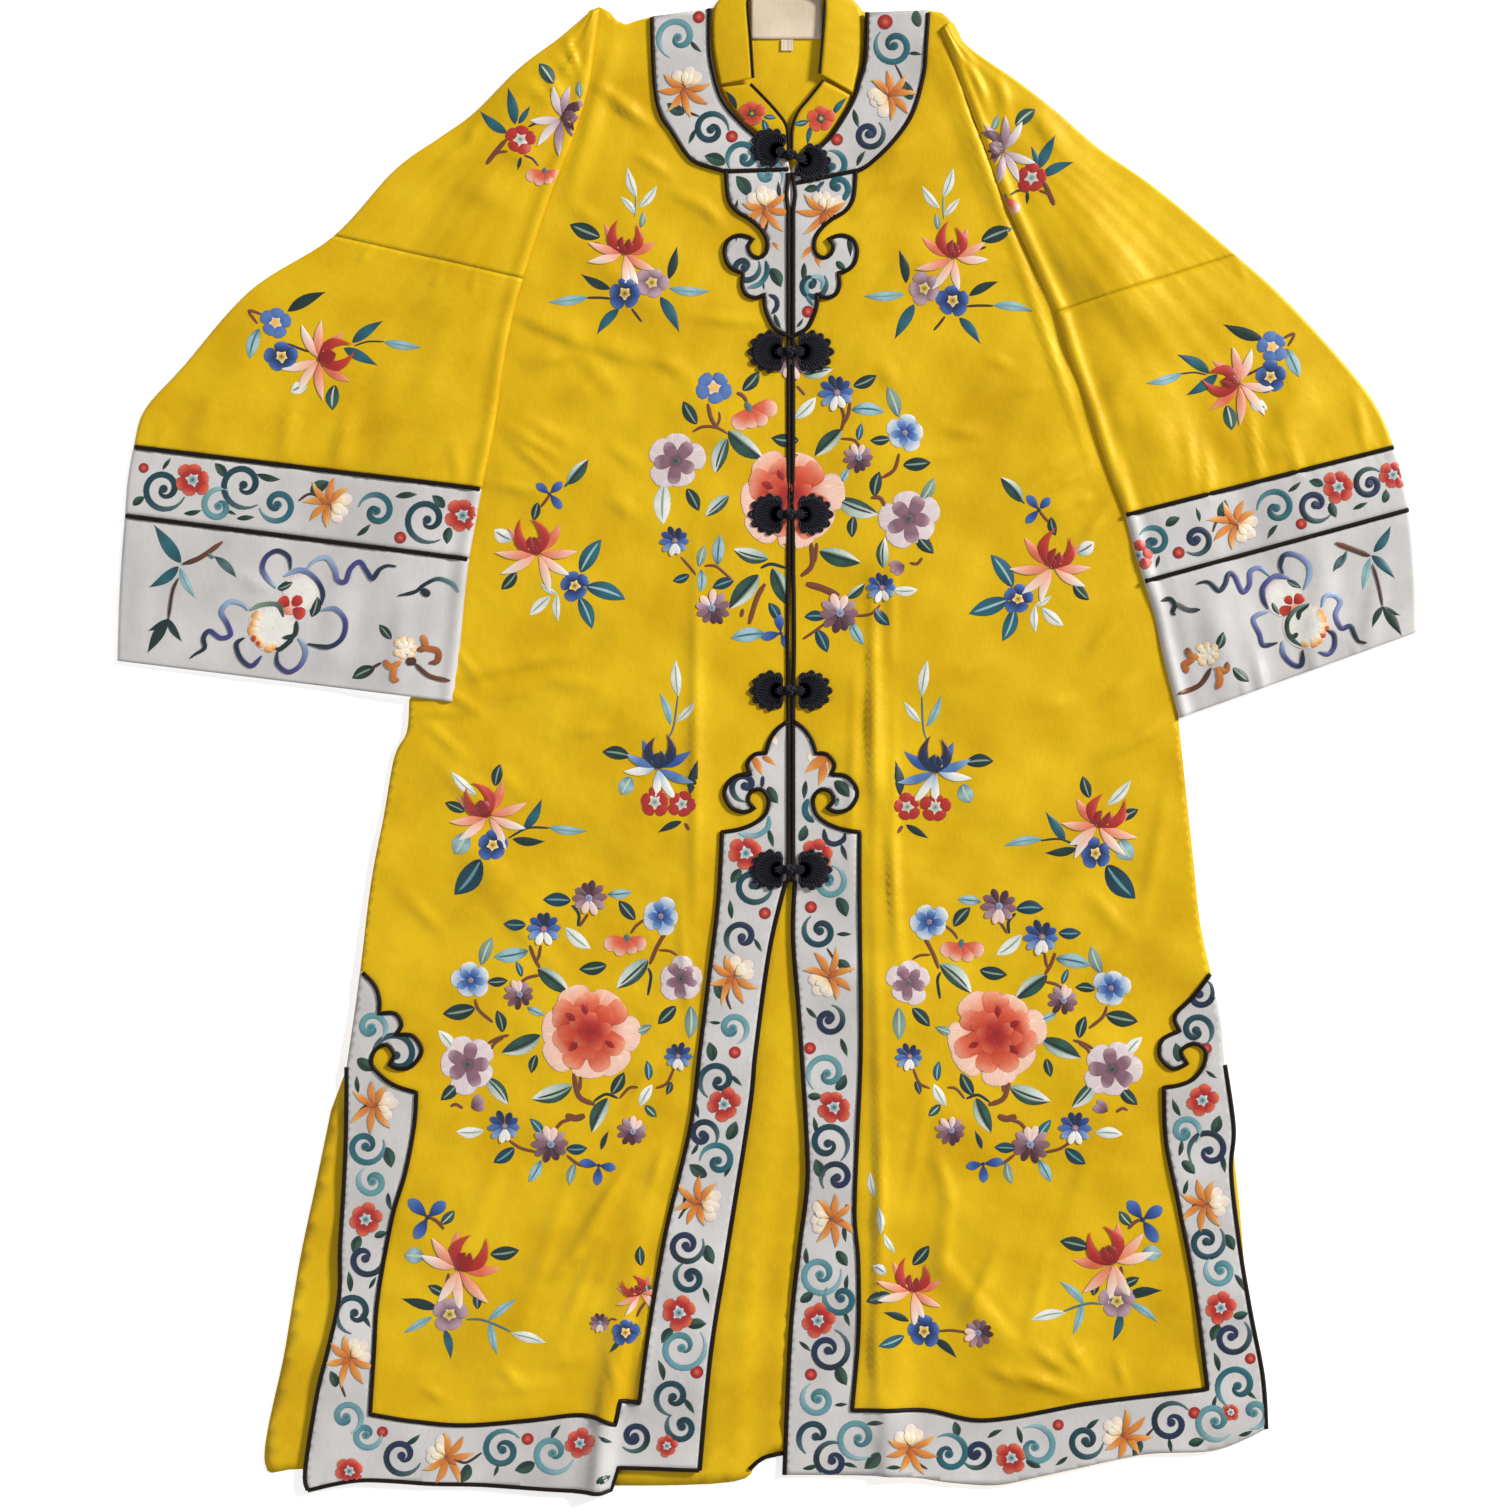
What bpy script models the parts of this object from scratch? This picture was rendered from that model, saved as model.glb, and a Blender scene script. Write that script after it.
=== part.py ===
"""A Chinese silk robe laid flat on its back, front up, sleeves folded down over its sides.

Metres, +Z up. +X is to the viewer's right, +Y towards the neck. The origin is on the floor below
the middle of the robe. Outlines are in millimetres in that frame. Left and right in the names
are the wearer's: the wearer's right is at -X. The back lies on the floor, the two fronts lie on
it, the white borders lie on the fronts, the black piping lies on the borders, and the sleeves
are flat tubes that lie on the floor and over the sides of the fronts.
"""

import math

import bmesh
import bpy
from mathutils import Vector
from mathutils.geometry import delaunay_2d_cdt

MM = 0.001

# Cloth walls and the layers they make, in millimetres above the floor
SEAM_GAP = 0.3
BACK_WALL = 1.2
FRONT_WALL = 1.3
BORDER_WALL = 1.0
PIPING_WALL = 1.0
PIPING_WIDTH = 3.4
SLEEVE_WALL = 1.3
COLLAR_WALL = 1.3
FRONT_TOP = BACK_WALL + SEAM_GAP + FRONT_WALL
BORDER_TOP = FRONT_TOP + SEAM_GAP + BORDER_WALL
PIPING_TOP = BORDER_TOP + SEAM_GAP + PIPING_WALL

# The front opening: straight from the neck to OPENING_BOTTOM, where the fronts part
OPENING_X = 19.0
OPENING_TOP = 448.0
OPENING_BOTTOM = -116.0
HALF_OPENING = 0.35

# How far the panels' hidden sides reach under the sleeves, and how the sleeves climb over them
UNDER_SLEEVE = 14.0
SLEEVE_LIFT = 3.7
LIFT_FULL = 48.0
LIFT_END = 95.0

GRID = 40.0
CURVE_STEP = 9.0
LONG_STEP = 32.0

# Stations across each sleeve from the shoulder to the cuff's mouth. Columns: outer_x, outer_y,
# inner_x, inner_y
SLEEVE_RIGHT = (
    (-146, 572, -134, 578),
    (-166, 555, -138, 547),
    (-198, 531, -143, 515),
    (-234, 496, -154, 478),
    (-262, 476, -163, 454),
    (-298, 450, -174, 426),
    (-347, 397, -195, 362),
    (-413, 354, -207, 314),
    (-467, 293, -216, 254),
    (-498, 258, -222, 222),
    (-507, 228, -228, 194),
    (-512, 200, -233, 166),
    (-514, 173, -238, 138),
    (-517, 134, -242, 103),
    (-519, 96, -246, 62),
    (-520, 57, -251, 24),
)
SLEEVE_LEFT = (
    (146, 568, 139, 560),
    (161, 548, 148, 538),
    (202, 519, 161, 502),
    (234, 494, 174, 466),
    (266, 467, 186, 434),
    (313, 434, 203, 395),
    (375, 382, 230, 335),
    (414, 347, 243, 296),
    (461, 296, 258, 254),
    (487, 262, 272, 210),
    (502, 228, 286, 173),
    (509, 202, 293, 146),
    (514, 178, 301, 120),
    (517, 146, 309, 94),
    (519, 113, 317, 58),
    (520, 80, 329, 11),
)
# Stations where one sleeve piece is sewn to the next
SLEEVE_PIECES = (
    ("sleeve_upper", 0, 6),
    ("sleeve_lower", 6, 10),
    ("sleeve_band", 10, 12),
    ("cuff", 12, 15),
)

# The sides of the body below the sleeves, down to the top of each slit
SIDE_RIGHT = ((-286, 26), (-288, 0), (-298, -20), (-307, -70), (-317, -123), (-325, -190), (-336, -268))
SIDE_LEFT = ((329, 10), (334, -38), (340, -94), (346, -150), (354, -190), (362, -227), (366, -266))

# Slit edge and hem of each front, from the top of the slit to the front edge's foot
HEM_RIGHT = (
    (-337, -338), (-341, -410), (-342, -452), (-351, -495), (-360, -532), (-369, -590), (-367, -606),
    (-324, -598), (-266, -601), (-228, -602), (-145, -607), (-125, -606), (-119, -588), (-54, -590),
)
HEM_LEFT = (
    (373, -316), (371, -351), (377, -405), (386, -462), (396, -513), (399, -557),
    (358, -574), (300, -578), (222, -594), (184, -602), (146, -600), (106, -595), (14, -594),
)
# Front edge of each front, from its foot up to where the fronts part
EDGE_RIGHT = ((-45, -497), (-32, -415), (-14, -302), (-9, -254), (2, -174))
EDGE_LEFT = ((19, -480), (26, -413), (32, -366), (32, -328), (26, -230), (21, -165))

# Slit edges and hem of the back, which shows at the sides and between the fronts
BACK_HEM = (
    (-349, -303), (-362, -366), (-374, -423), (-386, -495), (-402, -585), (-370, -590), (-260, -596),
    (-124, -603), (-27, -600), (-8, -587), (12, -578), (106, -582), (222, -578), (330, -560), (384, -538),
    (383, -446), (379, -386),
)

# Neckline of each front, from the shoulder to the opening
NECK_RIGHT = ((-46, 578), (-46, 547), (-43, 527), (-36, 505), (-22, 488), (-10, 477), (4, 466), (17, 456))
NECK_LEFT = ((80, 575), (79, 540), (74, 520), (68, 503), (56, 483), (46, 471), (31, 459), (21, 452))
SHOULDER_RIGHT = ((-93, 572), (-121, 571), (-131, 580), (-146, 571))
SHOULDER_LEFT = ((128, 577), (140, 575), (150, 566))

# Outer outline of each neck band, from the shoulder to the opening
BAND_RIGHT = ((-92, 590), (-92, 571), (-90, 520), (-85, 494), (-76, 480), (-65, 463), (-56, 455), (-34, 448))
BAND_LEFT = ((129, 590), (129, 577), (127, 547), (125, 525), (116, 494), (100, 471), (82, 454), (73, 449))
BAND_FOOT_RIGHT = 450.0
BAND_FOOT_LEFT = 438.0

# Half of the lappet below the neck band, as distances from the opening: smooth runs between corners
LAPPET = (
    ((52, 450), (51, 434), (49, 424), (43, 416), (33, 410), (24, 402), (19, 393), (20, 383), (26, 379),
     (32, 382), (34, 389), (30, 394)),
    ((30, 394), (40, 397), (49, 394), (53, 386), (51, 375), (45, 369), (38, 367)),
    ((38, 367), (39, 358), (36, 350), (28, 347), (21, 350)),
    ((21, 350), (21, 342), (18, 332), (12, 322), (-2, 315)),
)
# Half of the cloud head where the front border starts, in the same way
CLOUD = (
    ((-2, 11), (10, 3), (17, -7), (20, -17)),
    ((20, -17), (29, -18), (35, -26), (32, -34)),
    ((32, -34), (43, -35), (51, -42), (53, -51), (47, -61), (37, -64), (29, -61)),
    ((29, -61), (34, -55), (32, -48), (24, -46), (18, -53), (20, -65), (29, -73), (42, -78), (55, -80)),
)
# The border's inner outline below the cloud head: down the front, along the hem, up to the slit
INNER_RIGHT = (
    ((-36, -80), (-39, -135), (-46, -193), (-54, -258), (-60, -309), (-70, -354), (-82, -405),
     (-95, -482), (-102, -536)),
    ((-102, -536), (-117, -534)),
    ((-117, -534), (-121, -553)),
    ((-121, -553), (-136, -548), (-154, -546), (-190, -550), (-243, -554), (-282, -551), (-317, -545)),
    ((-317, -545), (-314, -495), (-311, -452), (-300, -390), (-289, -352), (-282, -315), (-280, -288)),
)
INNER_LEFT = (
    ((74, -80), (74, -135), (75, -250), (72, -328), (70, -386), (73, -424), (73, -482), (68, -542)),
    ((68, -542), (126, -542), (176, -550), (261, -536), (352, -525)),
    ((352, -525), (344, -462), (338, -424), (329, -378), (319, -328), (317, -284)),
)
# The cloud head at the top of each slit, from the inner outline to the side
SLIT_HEAD_RIGHT = (
    ((-280, -288), (-296, -283), (-307, -276), (-316, -265), (-313, -254), (-304, -250), (-298, -258),
     (-302, -266)),
    ((-302, -266), (-294, -269), (-284, -267), (-276, -255), (-283, -243), (-297, -242)),
    ((-297, -242), (-292, -234), (-297, -225), (-310, -225)),
    ((-310, -225), (-310, -212), (-317, -198), (-345, -175)),
)
SLIT_HEAD_LEFT = (
    ((317, -284), (330, -282), (341, -277), (349, -266), (350, -254), (341, -249), (331, -255), (336, -265)),
    ((336, -265), (324, -269), (314, -259), (316, -246), (330, -239)),
    ((330, -239), (326, -227), (340, -212), (356, -191), (372, -170)),
)

# Large folds of each front: crest from start to end, width of the flank on either side of it
# seen along that way, and the height at its start, middle and end. Columns: x0, y0, x1, y1,
# right_flank, left_flank, start, middle, end
FOLDS_RIGHT = (
    (-97, -372, -135, -612, 24, 11, 0.6, 5.4, 6.8),
    (-56, 138, -56, -134, 14, 14, 0.0, 2.2, 0.4),
    (-200, 250, -156, 232, 11, 11, 0.2, 2.6, 0.2),
    (-128, 512, -92, 482, 11, 11, 0.2, 2.2, 0.2),
    (-122, 556, -160, 424, 8, 14, 0.6, 3.0, 0.8),
    (-152, -478, -112, -388, 16, 16, 0.2, 2.4, 0.2),
    (-262, -60, -190, -150, 20, 20, 0.2, 2.0, 0.2),
)
FOLDS_LEFT = (
    (88, 70, 90, -86, 12, 12, 0.2, 2.4, 0.6),
    (90, -120, 96, -610, 12, 28, 0.6, 2.6, 4.6),
    (196, -412, 154, -478, 16, 16, 0.2, 2.2, 0.2),
    (186, -508, 252, -530, 12, 12, 0.2, 2.0, 0.2),
    (136, 546, 192, 398, 14, 8, 0.6, 3.0, 0.8),
    (250, 226, 208, 202, 11, 11, 0.2, 2.4, 0.2),
    (290, -40, 232, -140, 20, 20, 0.2, 2.0, 0.2),
)

# The stand collar: base and free edge of each row, with the heights of its upper face. Columns:
# base_x, base_y, base_z, free_x, free_y, free_z
COLLAR_BACK = (
    (-38.5, 517.5, 4.6, -11, 522.5, 7.0),
    (-44, 547, 3.4, -13, 553, 6.8),
    (-44, 574, 3.4, -15, 578, 6.8),
    (-36, 588, 3.6, -14, 586, 6.6),
    (-15, 601, 4.4, -4, 590.5, 6.4),
    (15, 607, 4.8, 16, 592, 6.2),
    (46, 601, 4.4, 36, 590.5, 6.4),
    (66, 588, 3.6, 45, 586, 6.6),
    (77, 573, 3.4, 46, 578, 6.8),
    (76.5, 540, 3.4, 44, 549, 6.8),
    (69, 511, 4.6, 42, 526, 7.0),
)
COLLAR_RIGHT = (
    (-37.5, 515.5, 3.0, -13, 518, 4.6),
    (-33, 506, 3.0, -4, 509, 5.0),
    (-20, 490, 3.0, 8, 496, 4.8),
    (-8, 479.5, 3.0, 15.5, 485, 4.4),
    (6, 468.5, 3.0, 17, 471, 4.0),
    (15.5, 460, 3.0, 17.5, 462, 3.6),
)
COLLAR_LEFT = (
    (68, 508.5, 3.0, 45, 521, 4.6),
    (64.5, 500.5, 3.0, 34, 507, 5.0),
    (54.5, 485, 3.0, 25, 496, 4.8),
    (44, 473.5, 3.0, 20.5, 484, 4.4),
    (30.5, 462, 3.0, 20, 470, 4.0),
    (23, 455.5, 3.0, 20, 458, 3.6),
)

# Frogs down the opening: height of the two fans, their distance out, tilt and the layer they lie
# on. Columns: right_y, left_y, reach, radius, tilt, layer
FROGS = (
    (467, 455, 16.0, 17.0, 24, PIPING_TOP),
    (304, 304, 16.5, 18.5, 0, PIPING_TOP),
    (174, 174, 16.5, 18.0, 0, FRONT_TOP),
    (33, 33, 16.0, 17.5, 0, PIPING_TOP),
    (-110, -110, 16.0, 17.5, 0, BORDER_TOP),
)
# The loops of a fan from its middle to its edge, as heading in degrees and share of the radius,
# how far out the notches between them and the fan's root reach, and half a loop in degrees
FAN_LOOPS = ((0, 1.0), (33, 0.92), (62, 0.74), (90, 0.87), (118, 0.79))
FAN_NOTCH = 0.80
FAN_HALF_LOOP = 9.0
FAN_ROOT = 0.55
FROG_THICK = 2.2
KNOT_RADIUS = 4.6

LABEL_SIZE = (57.0, 33.0, 0.9)
LABEL_PLACE = (15.5, 571.0)
TAB_SIZE = (9.0, 9.0, 0.9)
TAB_PLACE = (16.0, 549.5)

# Colours of the materials: base colour, roughness
COLOURS = {
    "yellow_satin": ((0.80, 0.53, 0.02), 0.42),
    "white_satin": ((0.78, 0.76, 0.74), 0.45),
    "black_satin": ((0.015, 0.012, 0.012), 0.55),
    "black_cord": ((0.010, 0.010, 0.016), 0.6),
    "label_cloth": ((0.80, 0.68, 0.52), 0.7),
}


def material(name):
    """Returns the named material, made once."""
    found = bpy.data.materials.get(name)
    if found:
        return found
    colour, roughness = COLOURS[name]
    made = bpy.data.materials.new(name)
    made.use_nodes = True
    shader = made.node_tree.nodes["Principled BSDF"]
    shader.inputs["Base Color"].default_value = (*colour, 1.0)
    shader.inputs["Roughness"].default_value = roughness
    return made


def add_object(name, data, cloth):
    """Puts a new object in the robe's collection with its material."""
    made = bpy.data.objects.new(name, data)
    bpy.data.collections["silk_robe"].objects.link(made)
    data.materials.append(material(cloth))
    return made


def smooth(points, step):
    """Points along a Catmull-Rom curve through the given ones, about a step apart."""
    ends = [points[0], *points, points[-1]]
    curve = []
    for before, start, end, after in zip(ends, ends[1:], ends[2:], ends[3:]):
        count = max(1, round(math.dist(start, end) / step))
        for index in range(count):
            t = index / count
            curve.append(
                tuple(
                    0.5 * (2 * b + (c - a) * t + (2 * a - 5 * b + 4 * c - d) * t * t
                           + (3 * b - a - 3 * c + d) * t ** 3)
                    for a, b, c, d in zip(before, start, end, after)
                )
            )
    curve.append(tuple(points[-1]))
    return curve


def join_runs(runs, step):
    """One line from smooth runs that meet at corners."""
    line = []
    for run in runs:
        line += smooth(run, step)[:-1]
    line.append(tuple(runs[-1][-1]))
    return line


def mirrored_runs(runs, side):
    """Runs given as distances from the opening, laid out on the wearer's right (-1) or left (+1)."""
    return [[(OPENING_X + side * distance, y) for distance, y in run] for run in runs]


def inside(point, outline):
    """Whether a point is inside a closed outline."""
    x, y = point
    found = False
    for (x0, y0), (x1, y1) in zip(outline, outline[1:] + outline[:1]):
        if (y0 > y) != (y1 > y) and x < x0 + (y - y0) * (x1 - x0) / (y1 - y0):
            found = not found
    return found


def distance_to(point, line):
    """The shortest distance from a point to an open line."""
    shortest = math.inf
    for start, end in zip(line, line[1:]):
        along = (end[0] - start[0], end[1] - start[1])
        length = along[0] ** 2 + along[1] ** 2 or 1.0
        t = ((point[0] - start[0]) * along[0] + (point[1] - start[1]) * along[1]) / length
        t = min(1.0, max(0.0, t))
        foot = (start[0] + t * along[0], start[1] + t * along[1])
        shortest = min(shortest, math.dist(point, foot))
    return shortest


def beside(line, distance):
    """A line moved sideways, to the left of its own way where the distance is positive."""
    moved = []
    for index, point in enumerate(line):
        before = line[max(0, index - 1)]
        after = line[min(len(line) - 1, index + 1)]
        along = (after[0] - before[0], after[1] - before[1])
        length = math.hypot(*along) or 1.0
        moved.append((point[0] - along[1] / length * distance, point[1] + along[0] / length * distance))
    return moved


def fold_height(point, folds):
    """How far the folds lift the cloth at a point."""
    lift = 0.0
    for x0, y0, x1, y1, right_flank, left_flank, start, middle, end in folds:
        along = (x1 - x0, y1 - y0)
        length = math.hypot(*along)
        away = (point[0] - x0, point[1] - y0)
        t = (away[0] * along[0] + away[1] * along[1]) / length ** 2
        across = (away[1] * along[0] - away[0] * along[1]) / length
        flank = left_flank if across > 0 else right_flank
        if not 0.0 <= t <= 1.0 or abs(across) >= flank:
            continue
        crest = start + (middle - start) * 2 * t if t < 0.5 else middle + (end - middle) * (2 * t - 1)
        lift = max(lift, crest * (0.5 + 0.5 * math.cos(math.pi * across / flank)))
    return lift


def fold_lines(folds):
    """The crest and the two feet of each fold, which the panel's triangles follow."""
    lines = []
    for x0, y0, x1, y1, right_flank, left_flank, *_ in folds:
        crest = smooth(((x0, y0), (x1, y1)), LONG_STEP)
        lines += [crest, beside(crest, left_flank), beside(crest, -right_flank)]
    return lines


def hidden_side(stations, side):
    """The side of the panels under a sleeve, from the shoulder down."""
    inner_edge = [(row[2], row[3]) for row in stations[1:-1]]
    return beside(inner_edge, side * UNDER_SLEEVE)


def triangulate(outline, lines):
    """Points and triangles of a flat panel whose edges follow its outline and the given lines."""
    points = [Vector(point) for point in outline]
    edges = [(index, (index + 1) % len(outline)) for index in range(len(outline))]
    for line in lines:
        first = len(points)
        points += [Vector(point) for point in line]
        edges += [(first + index, first + index + 1) for index in range(len(line) - 1)]
    fixed = [outline + outline[:1], *lines]
    low_x, high_x = min(x for x, _ in outline), max(x for x, _ in outline)
    low_y, high_y = min(y for _, y in outline), max(y for _, y in outline)
    row_height = GRID * math.sqrt(0.75)
    for row in range(int((high_y - low_y) / row_height) + 1):
        y = low_y + (row + 0.5) * row_height
        for column in range(int((high_x - low_x) / GRID) + 1):
            x = low_x + (column + 0.5 * (row % 2) + 0.25) * GRID
            clear = min(distance_to((x, y), line) for line in fixed)
            if clear > 0.42 * GRID and inside((x, y), outline):
                points.append(Vector((x, y)))
    flat, _, faces, *_ = delaunay_2d_cdt(points, edges, [], 0, 0.05)
    flat = [tuple(point) for point in flat]
    kept = []
    for face in faces:
        middle = tuple(sum(flat[index][axis] for index in face) / len(face) for axis in (0, 1))
        if inside(middle, outline):
            kept.append((tuple(face), middle))
    return flat, kept


def cloth(name, flat, faces, height, wall, upward, look):
    """A sheet over the given triangles: its wall grows up from its points, or down from them."""
    mesh = bpy.data.meshes.new(name)
    shape = bmesh.new()
    corners = {}
    for face in faces:
        for index in face:
            if index not in corners:
                x, y = flat[index]
                corners[index] = shape.verts.new((x * MM, y * MM, height((x, y)) * MM))
    for face in faces:
        shape.faces.new([corners[index] for index in face])
    bmesh.ops.recalc_face_normals(shape, faces=shape.faces)
    shape.normal_update()
    if sum(face.normal.z * face.calc_area() for face in shape.faces) < 0:
        bmesh.ops.reverse_faces(shape, faces=shape.faces)
    shape.to_mesh(mesh)
    shape.free()
    made = add_object(name, mesh, look)
    wall_modifier = made.modifiers.new("wall", "SOLIDIFY")
    wall_modifier.thickness = wall * MM
    wall_modifier.offset = 1.0 if upward else -1.0
    return made


def front_side(side):
    """The lines of one front in millimetres: its outline and the outlines of what lies on it."""
    right = side < 0
    stations = SLEEVE_RIGHT if right else SLEEVE_LEFT
    edge_x = OPENING_X + side * HALF_OPENING
    body_side = hidden_side(stations, side) + list(SIDE_RIGHT if right else SIDE_LEFT)
    shoulder = SHOULDER_RIGHT if right else SHOULDER_LEFT
    opening = [(edge_x, OPENING_TOP), *smooth(((edge_x, OPENING_TOP - 60), (edge_x, 0)), 90)]
    front_edge = [*opening, (edge_x - 3.0, OPENING_BOTTOM)]
    edge = EDGE_RIGHT if right else EDGE_LEFT
    hem = HEM_RIGHT if right else HEM_LEFT
    outline = [*(NECK_RIGHT if right else NECK_LEFT), *front_edge, *reversed(edge), *reversed(hem),
               *reversed(body_side), *reversed(shoulder)]
    neck = smooth(NECK_RIGHT if right else NECK_LEFT, LONG_STEP)
    foot = BAND_FOOT_RIGHT if right else BAND_FOOT_LEFT
    band = [*smooth(BAND_RIGHT if right else BAND_LEFT, 18.0), (OPENING_X + 6.0, foot)]
    lappet = join_runs(mirrored_runs(LAPPET, side), CURVE_STEP)
    inner = INNER_RIGHT if right else INNER_LEFT
    head = SLIT_HEAD_RIGHT if right else SLIT_HEAD_LEFT
    cloud = join_runs(mirrored_runs(CLOUD, side), CURVE_STEP)[:-1]
    border = [*cloud, *join_runs(inner, LONG_STEP)[:-1], *join_runs(head, CURVE_STEP)]
    return outline, neck, band, lappet, border


def make_front(side):
    """One front, with the neck band, lappet and border that lie on it and their black piping."""
    right = side < 0
    suffix = "right" if right else "left"
    folds = FOLDS_RIGHT if right else FOLDS_LEFT
    outline, neck, band, lappet, border = front_side(side)
    inward = PIPING_WIDTH * side
    band_strip = beside(band, -inward)
    neck_strip = beside([*neck], inward)
    lappet_strip = beside(lappet, -inward)
    border_strip = beside(border, -inward)
    below_band = beside(band, 2 * SEAM_GAP * side)
    lines = [band, band_strip, neck_strip, below_band, lappet, lappet_strip, border, border_strip]
    flat, faces = triangulate(outline, [*lines, *fold_lines(folds)])

    far = 900.0 * side
    near = OPENING_X - 60.0 * side
    over_band = [(near, band[-1][1]), (near, 900.0), (band[0][0], 900.0)]
    band_area = [*band, *over_band]
    not_lappet = [*below_band, *over_band]
    lappet_area = [*lappet, (near, lappet[-1][1]), (near, 500.0), (lappet[0][0], 500.0)]
    border_area = [*border, (far, border[-1][1]), (far, -900.0), (near, -900.0), (near, border[0][1])]
    areas = {
        "neck_band": (band_area, None, {"neck_band_piping": band, "neckline_piping": neck}),
        "lappet": (lappet_area, not_lappet, {"lappet_piping": lappet}),
        "front_border": (border_area, None, {"front_border_piping": border}),
    }

    def on_panel(point):
        return FRONT_TOP + fold_height(point, folds)

    def on_border(point):
        return on_panel(point) + SEAM_GAP

    def on_piping(point):
        return on_border(point) + BORDER_WALL + SEAM_GAP

    cloth(f"front_{suffix}", flat, [face for face, _ in faces], on_panel, FRONT_WALL, False,
          "yellow_satin")
    for name, (area, left_out, piping) in areas.items():
        own = [(face, middle) for face, middle in faces
               if inside(middle, area) and not (left_out and inside(middle, left_out))]
        cloth(f"{name}_{suffix}", flat, [face for face, _ in own], on_border, BORDER_WALL, True,
              "white_satin")
        for piping_name, line in piping.items():
            edge = [face for face, middle in own if distance_to(middle, line) < 0.75 * PIPING_WIDTH]
            cloth(f"{piping_name}_{suffix}", flat, edge, on_piping, PIPING_WALL, True, "black_satin")


def plate(name, outline, low, wall, look):
    """A flat outline extruded up from a height."""
    curve = bpy.data.curves.new(name, "CURVE")
    curve.dimensions = "2D"
    curve.fill_mode = "BOTH"
    curve.extrude = wall * MM / 2
    spline = curve.splines.new("POLY")
    spline.points.add(len(outline) - 1)
    for point, (x, y) in zip(spline.points, outline):
        point.co = (x * MM, y * MM, 0.0, 1.0)
    spline.use_cyclic_u = True
    made = add_object(name, curve, look)
    made.location.z = (low + wall / 2) * MM
    return made


def make_back():
    """The back panel, flat on the floor, with the slits' wider flare and the hem that shows."""
    right = [*SHOULDER_RIGHT[:3], *hidden_side(SLEEVE_RIGHT, -1), *SIDE_RIGHT]
    left = [*SHOULDER_LEFT[:2], *hidden_side(SLEEVE_LEFT, 1), *SIDE_LEFT]
    neck = [(-46, 578), (-34, 584), (-16, 587), (15, 589), (46, 587), (66, 583), (80, 575)]
    outline = [*right, *BACK_HEM, *reversed(left), *reversed(neck)]
    plate("back", outline, 0.0, BACK_WALL, "yellow_satin")


def sleeve_lift(distance):
    """Height of a sleeve's underside at a distance in from its inner edge."""
    if distance <= LIFT_FULL:
        return SLEEVE_LIFT
    if distance >= LIFT_END:
        return 0.0
    t = (distance - LIFT_FULL) / (LIFT_END - LIFT_FULL)
    return SLEEVE_LIFT * (0.5 + 0.5 * math.cos(math.pi * t))


def sleeve_puff(distance, width, station):
    """Room between a sleeve's two layers, with the broad folds that fan out to the cuff."""
    across = distance / width
    room = 0.7 + 1.1 * math.sin(math.pi * across) ** 0.5
    swell = 0.5 + 0.5 * math.cos(math.tau * (3.0 * across - 0.06 * station))
    return room + 1.3 * swell * math.sin(math.pi * across)


def sleeve_ring(row, station):
    """The outer and inner loops of a flattened sleeve at one station."""
    outer_x, outer_y, inner_x, inner_y = row
    width = math.dist((outer_x, outer_y), (inner_x, inner_y))
    steps = [min(2.5, 0.2 * width), *(width * share for share in (0.16, 0.3, 0.44, 0.58, 0.72, 0.86))]
    steps.append(width - steps[0])

    def place(distance, height):
        t = distance / width
        return ((inner_x + (outer_x - inner_x) * t) * MM, (inner_y + (outer_y - inner_y) * t) * MM,
                height * MM)

    def floor_at(distance):
        return sleeve_lift(distance)

    def top_at(distance):
        return floor_at(distance) + 2 * SLEEVE_WALL + sleeve_puff(distance, width, station)

    def middle_at(distance):
        return (floor_at(distance) + top_at(distance)) / 2

    inset = min(2.0, 0.16 * width)
    outer = [place(0.0, middle_at(0.0))]
    outer += [place(step, top_at(step)) for step in steps]
    outer.append(place(width, middle_at(width)))
    outer += [place(step, floor_at(step)) for step in reversed(steps)]
    hollow_steps = [steps[0] + inset * 0.6, *steps[1:-1], steps[-1] - inset * 0.6]
    inner = [place(inset, middle_at(inset))]
    inner += [place(step, top_at(step) - SLEEVE_WALL) for step in hollow_steps]
    inner.append(place(width - inset, middle_at(width - inset)))
    inner += [place(step, floor_at(step) + SLEEVE_WALL) for step in reversed(hollow_steps)]
    return outer, inner


def flat_tube(name, rings, look):
    """A hollow tube through pairs of outer and inner loops, open at both ends."""
    mesh = bpy.data.meshes.new(name)
    shape = bmesh.new()
    walls = [[[shape.verts.new(point) for point in loop] for loop in ring] for ring in rings]
    count = len(rings[0][0])
    for near, far in zip(walls, walls[1:]):
        for index in range(count):
            after = (index + 1) % count
            shape.faces.new((near[0][index], near[0][after], far[0][after], far[0][index]))
            shape.faces.new((near[1][after], near[1][index], far[1][index], far[1][after]))
    for ring, turned in ((walls[0], False), (walls[-1], True)):
        for index in range(count):
            after = (index + 1) % count
            corners = [ring[0][after], ring[0][index], ring[1][index], ring[1][after]]
            shape.faces.new(reversed(corners) if turned else corners)
    bmesh.ops.recalc_face_normals(shape, faces=shape.faces)
    bmesh.ops.triangulate(shape, faces=shape.faces)
    shape.to_mesh(mesh)
    shape.free()
    add_object(name, mesh, look)


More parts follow.
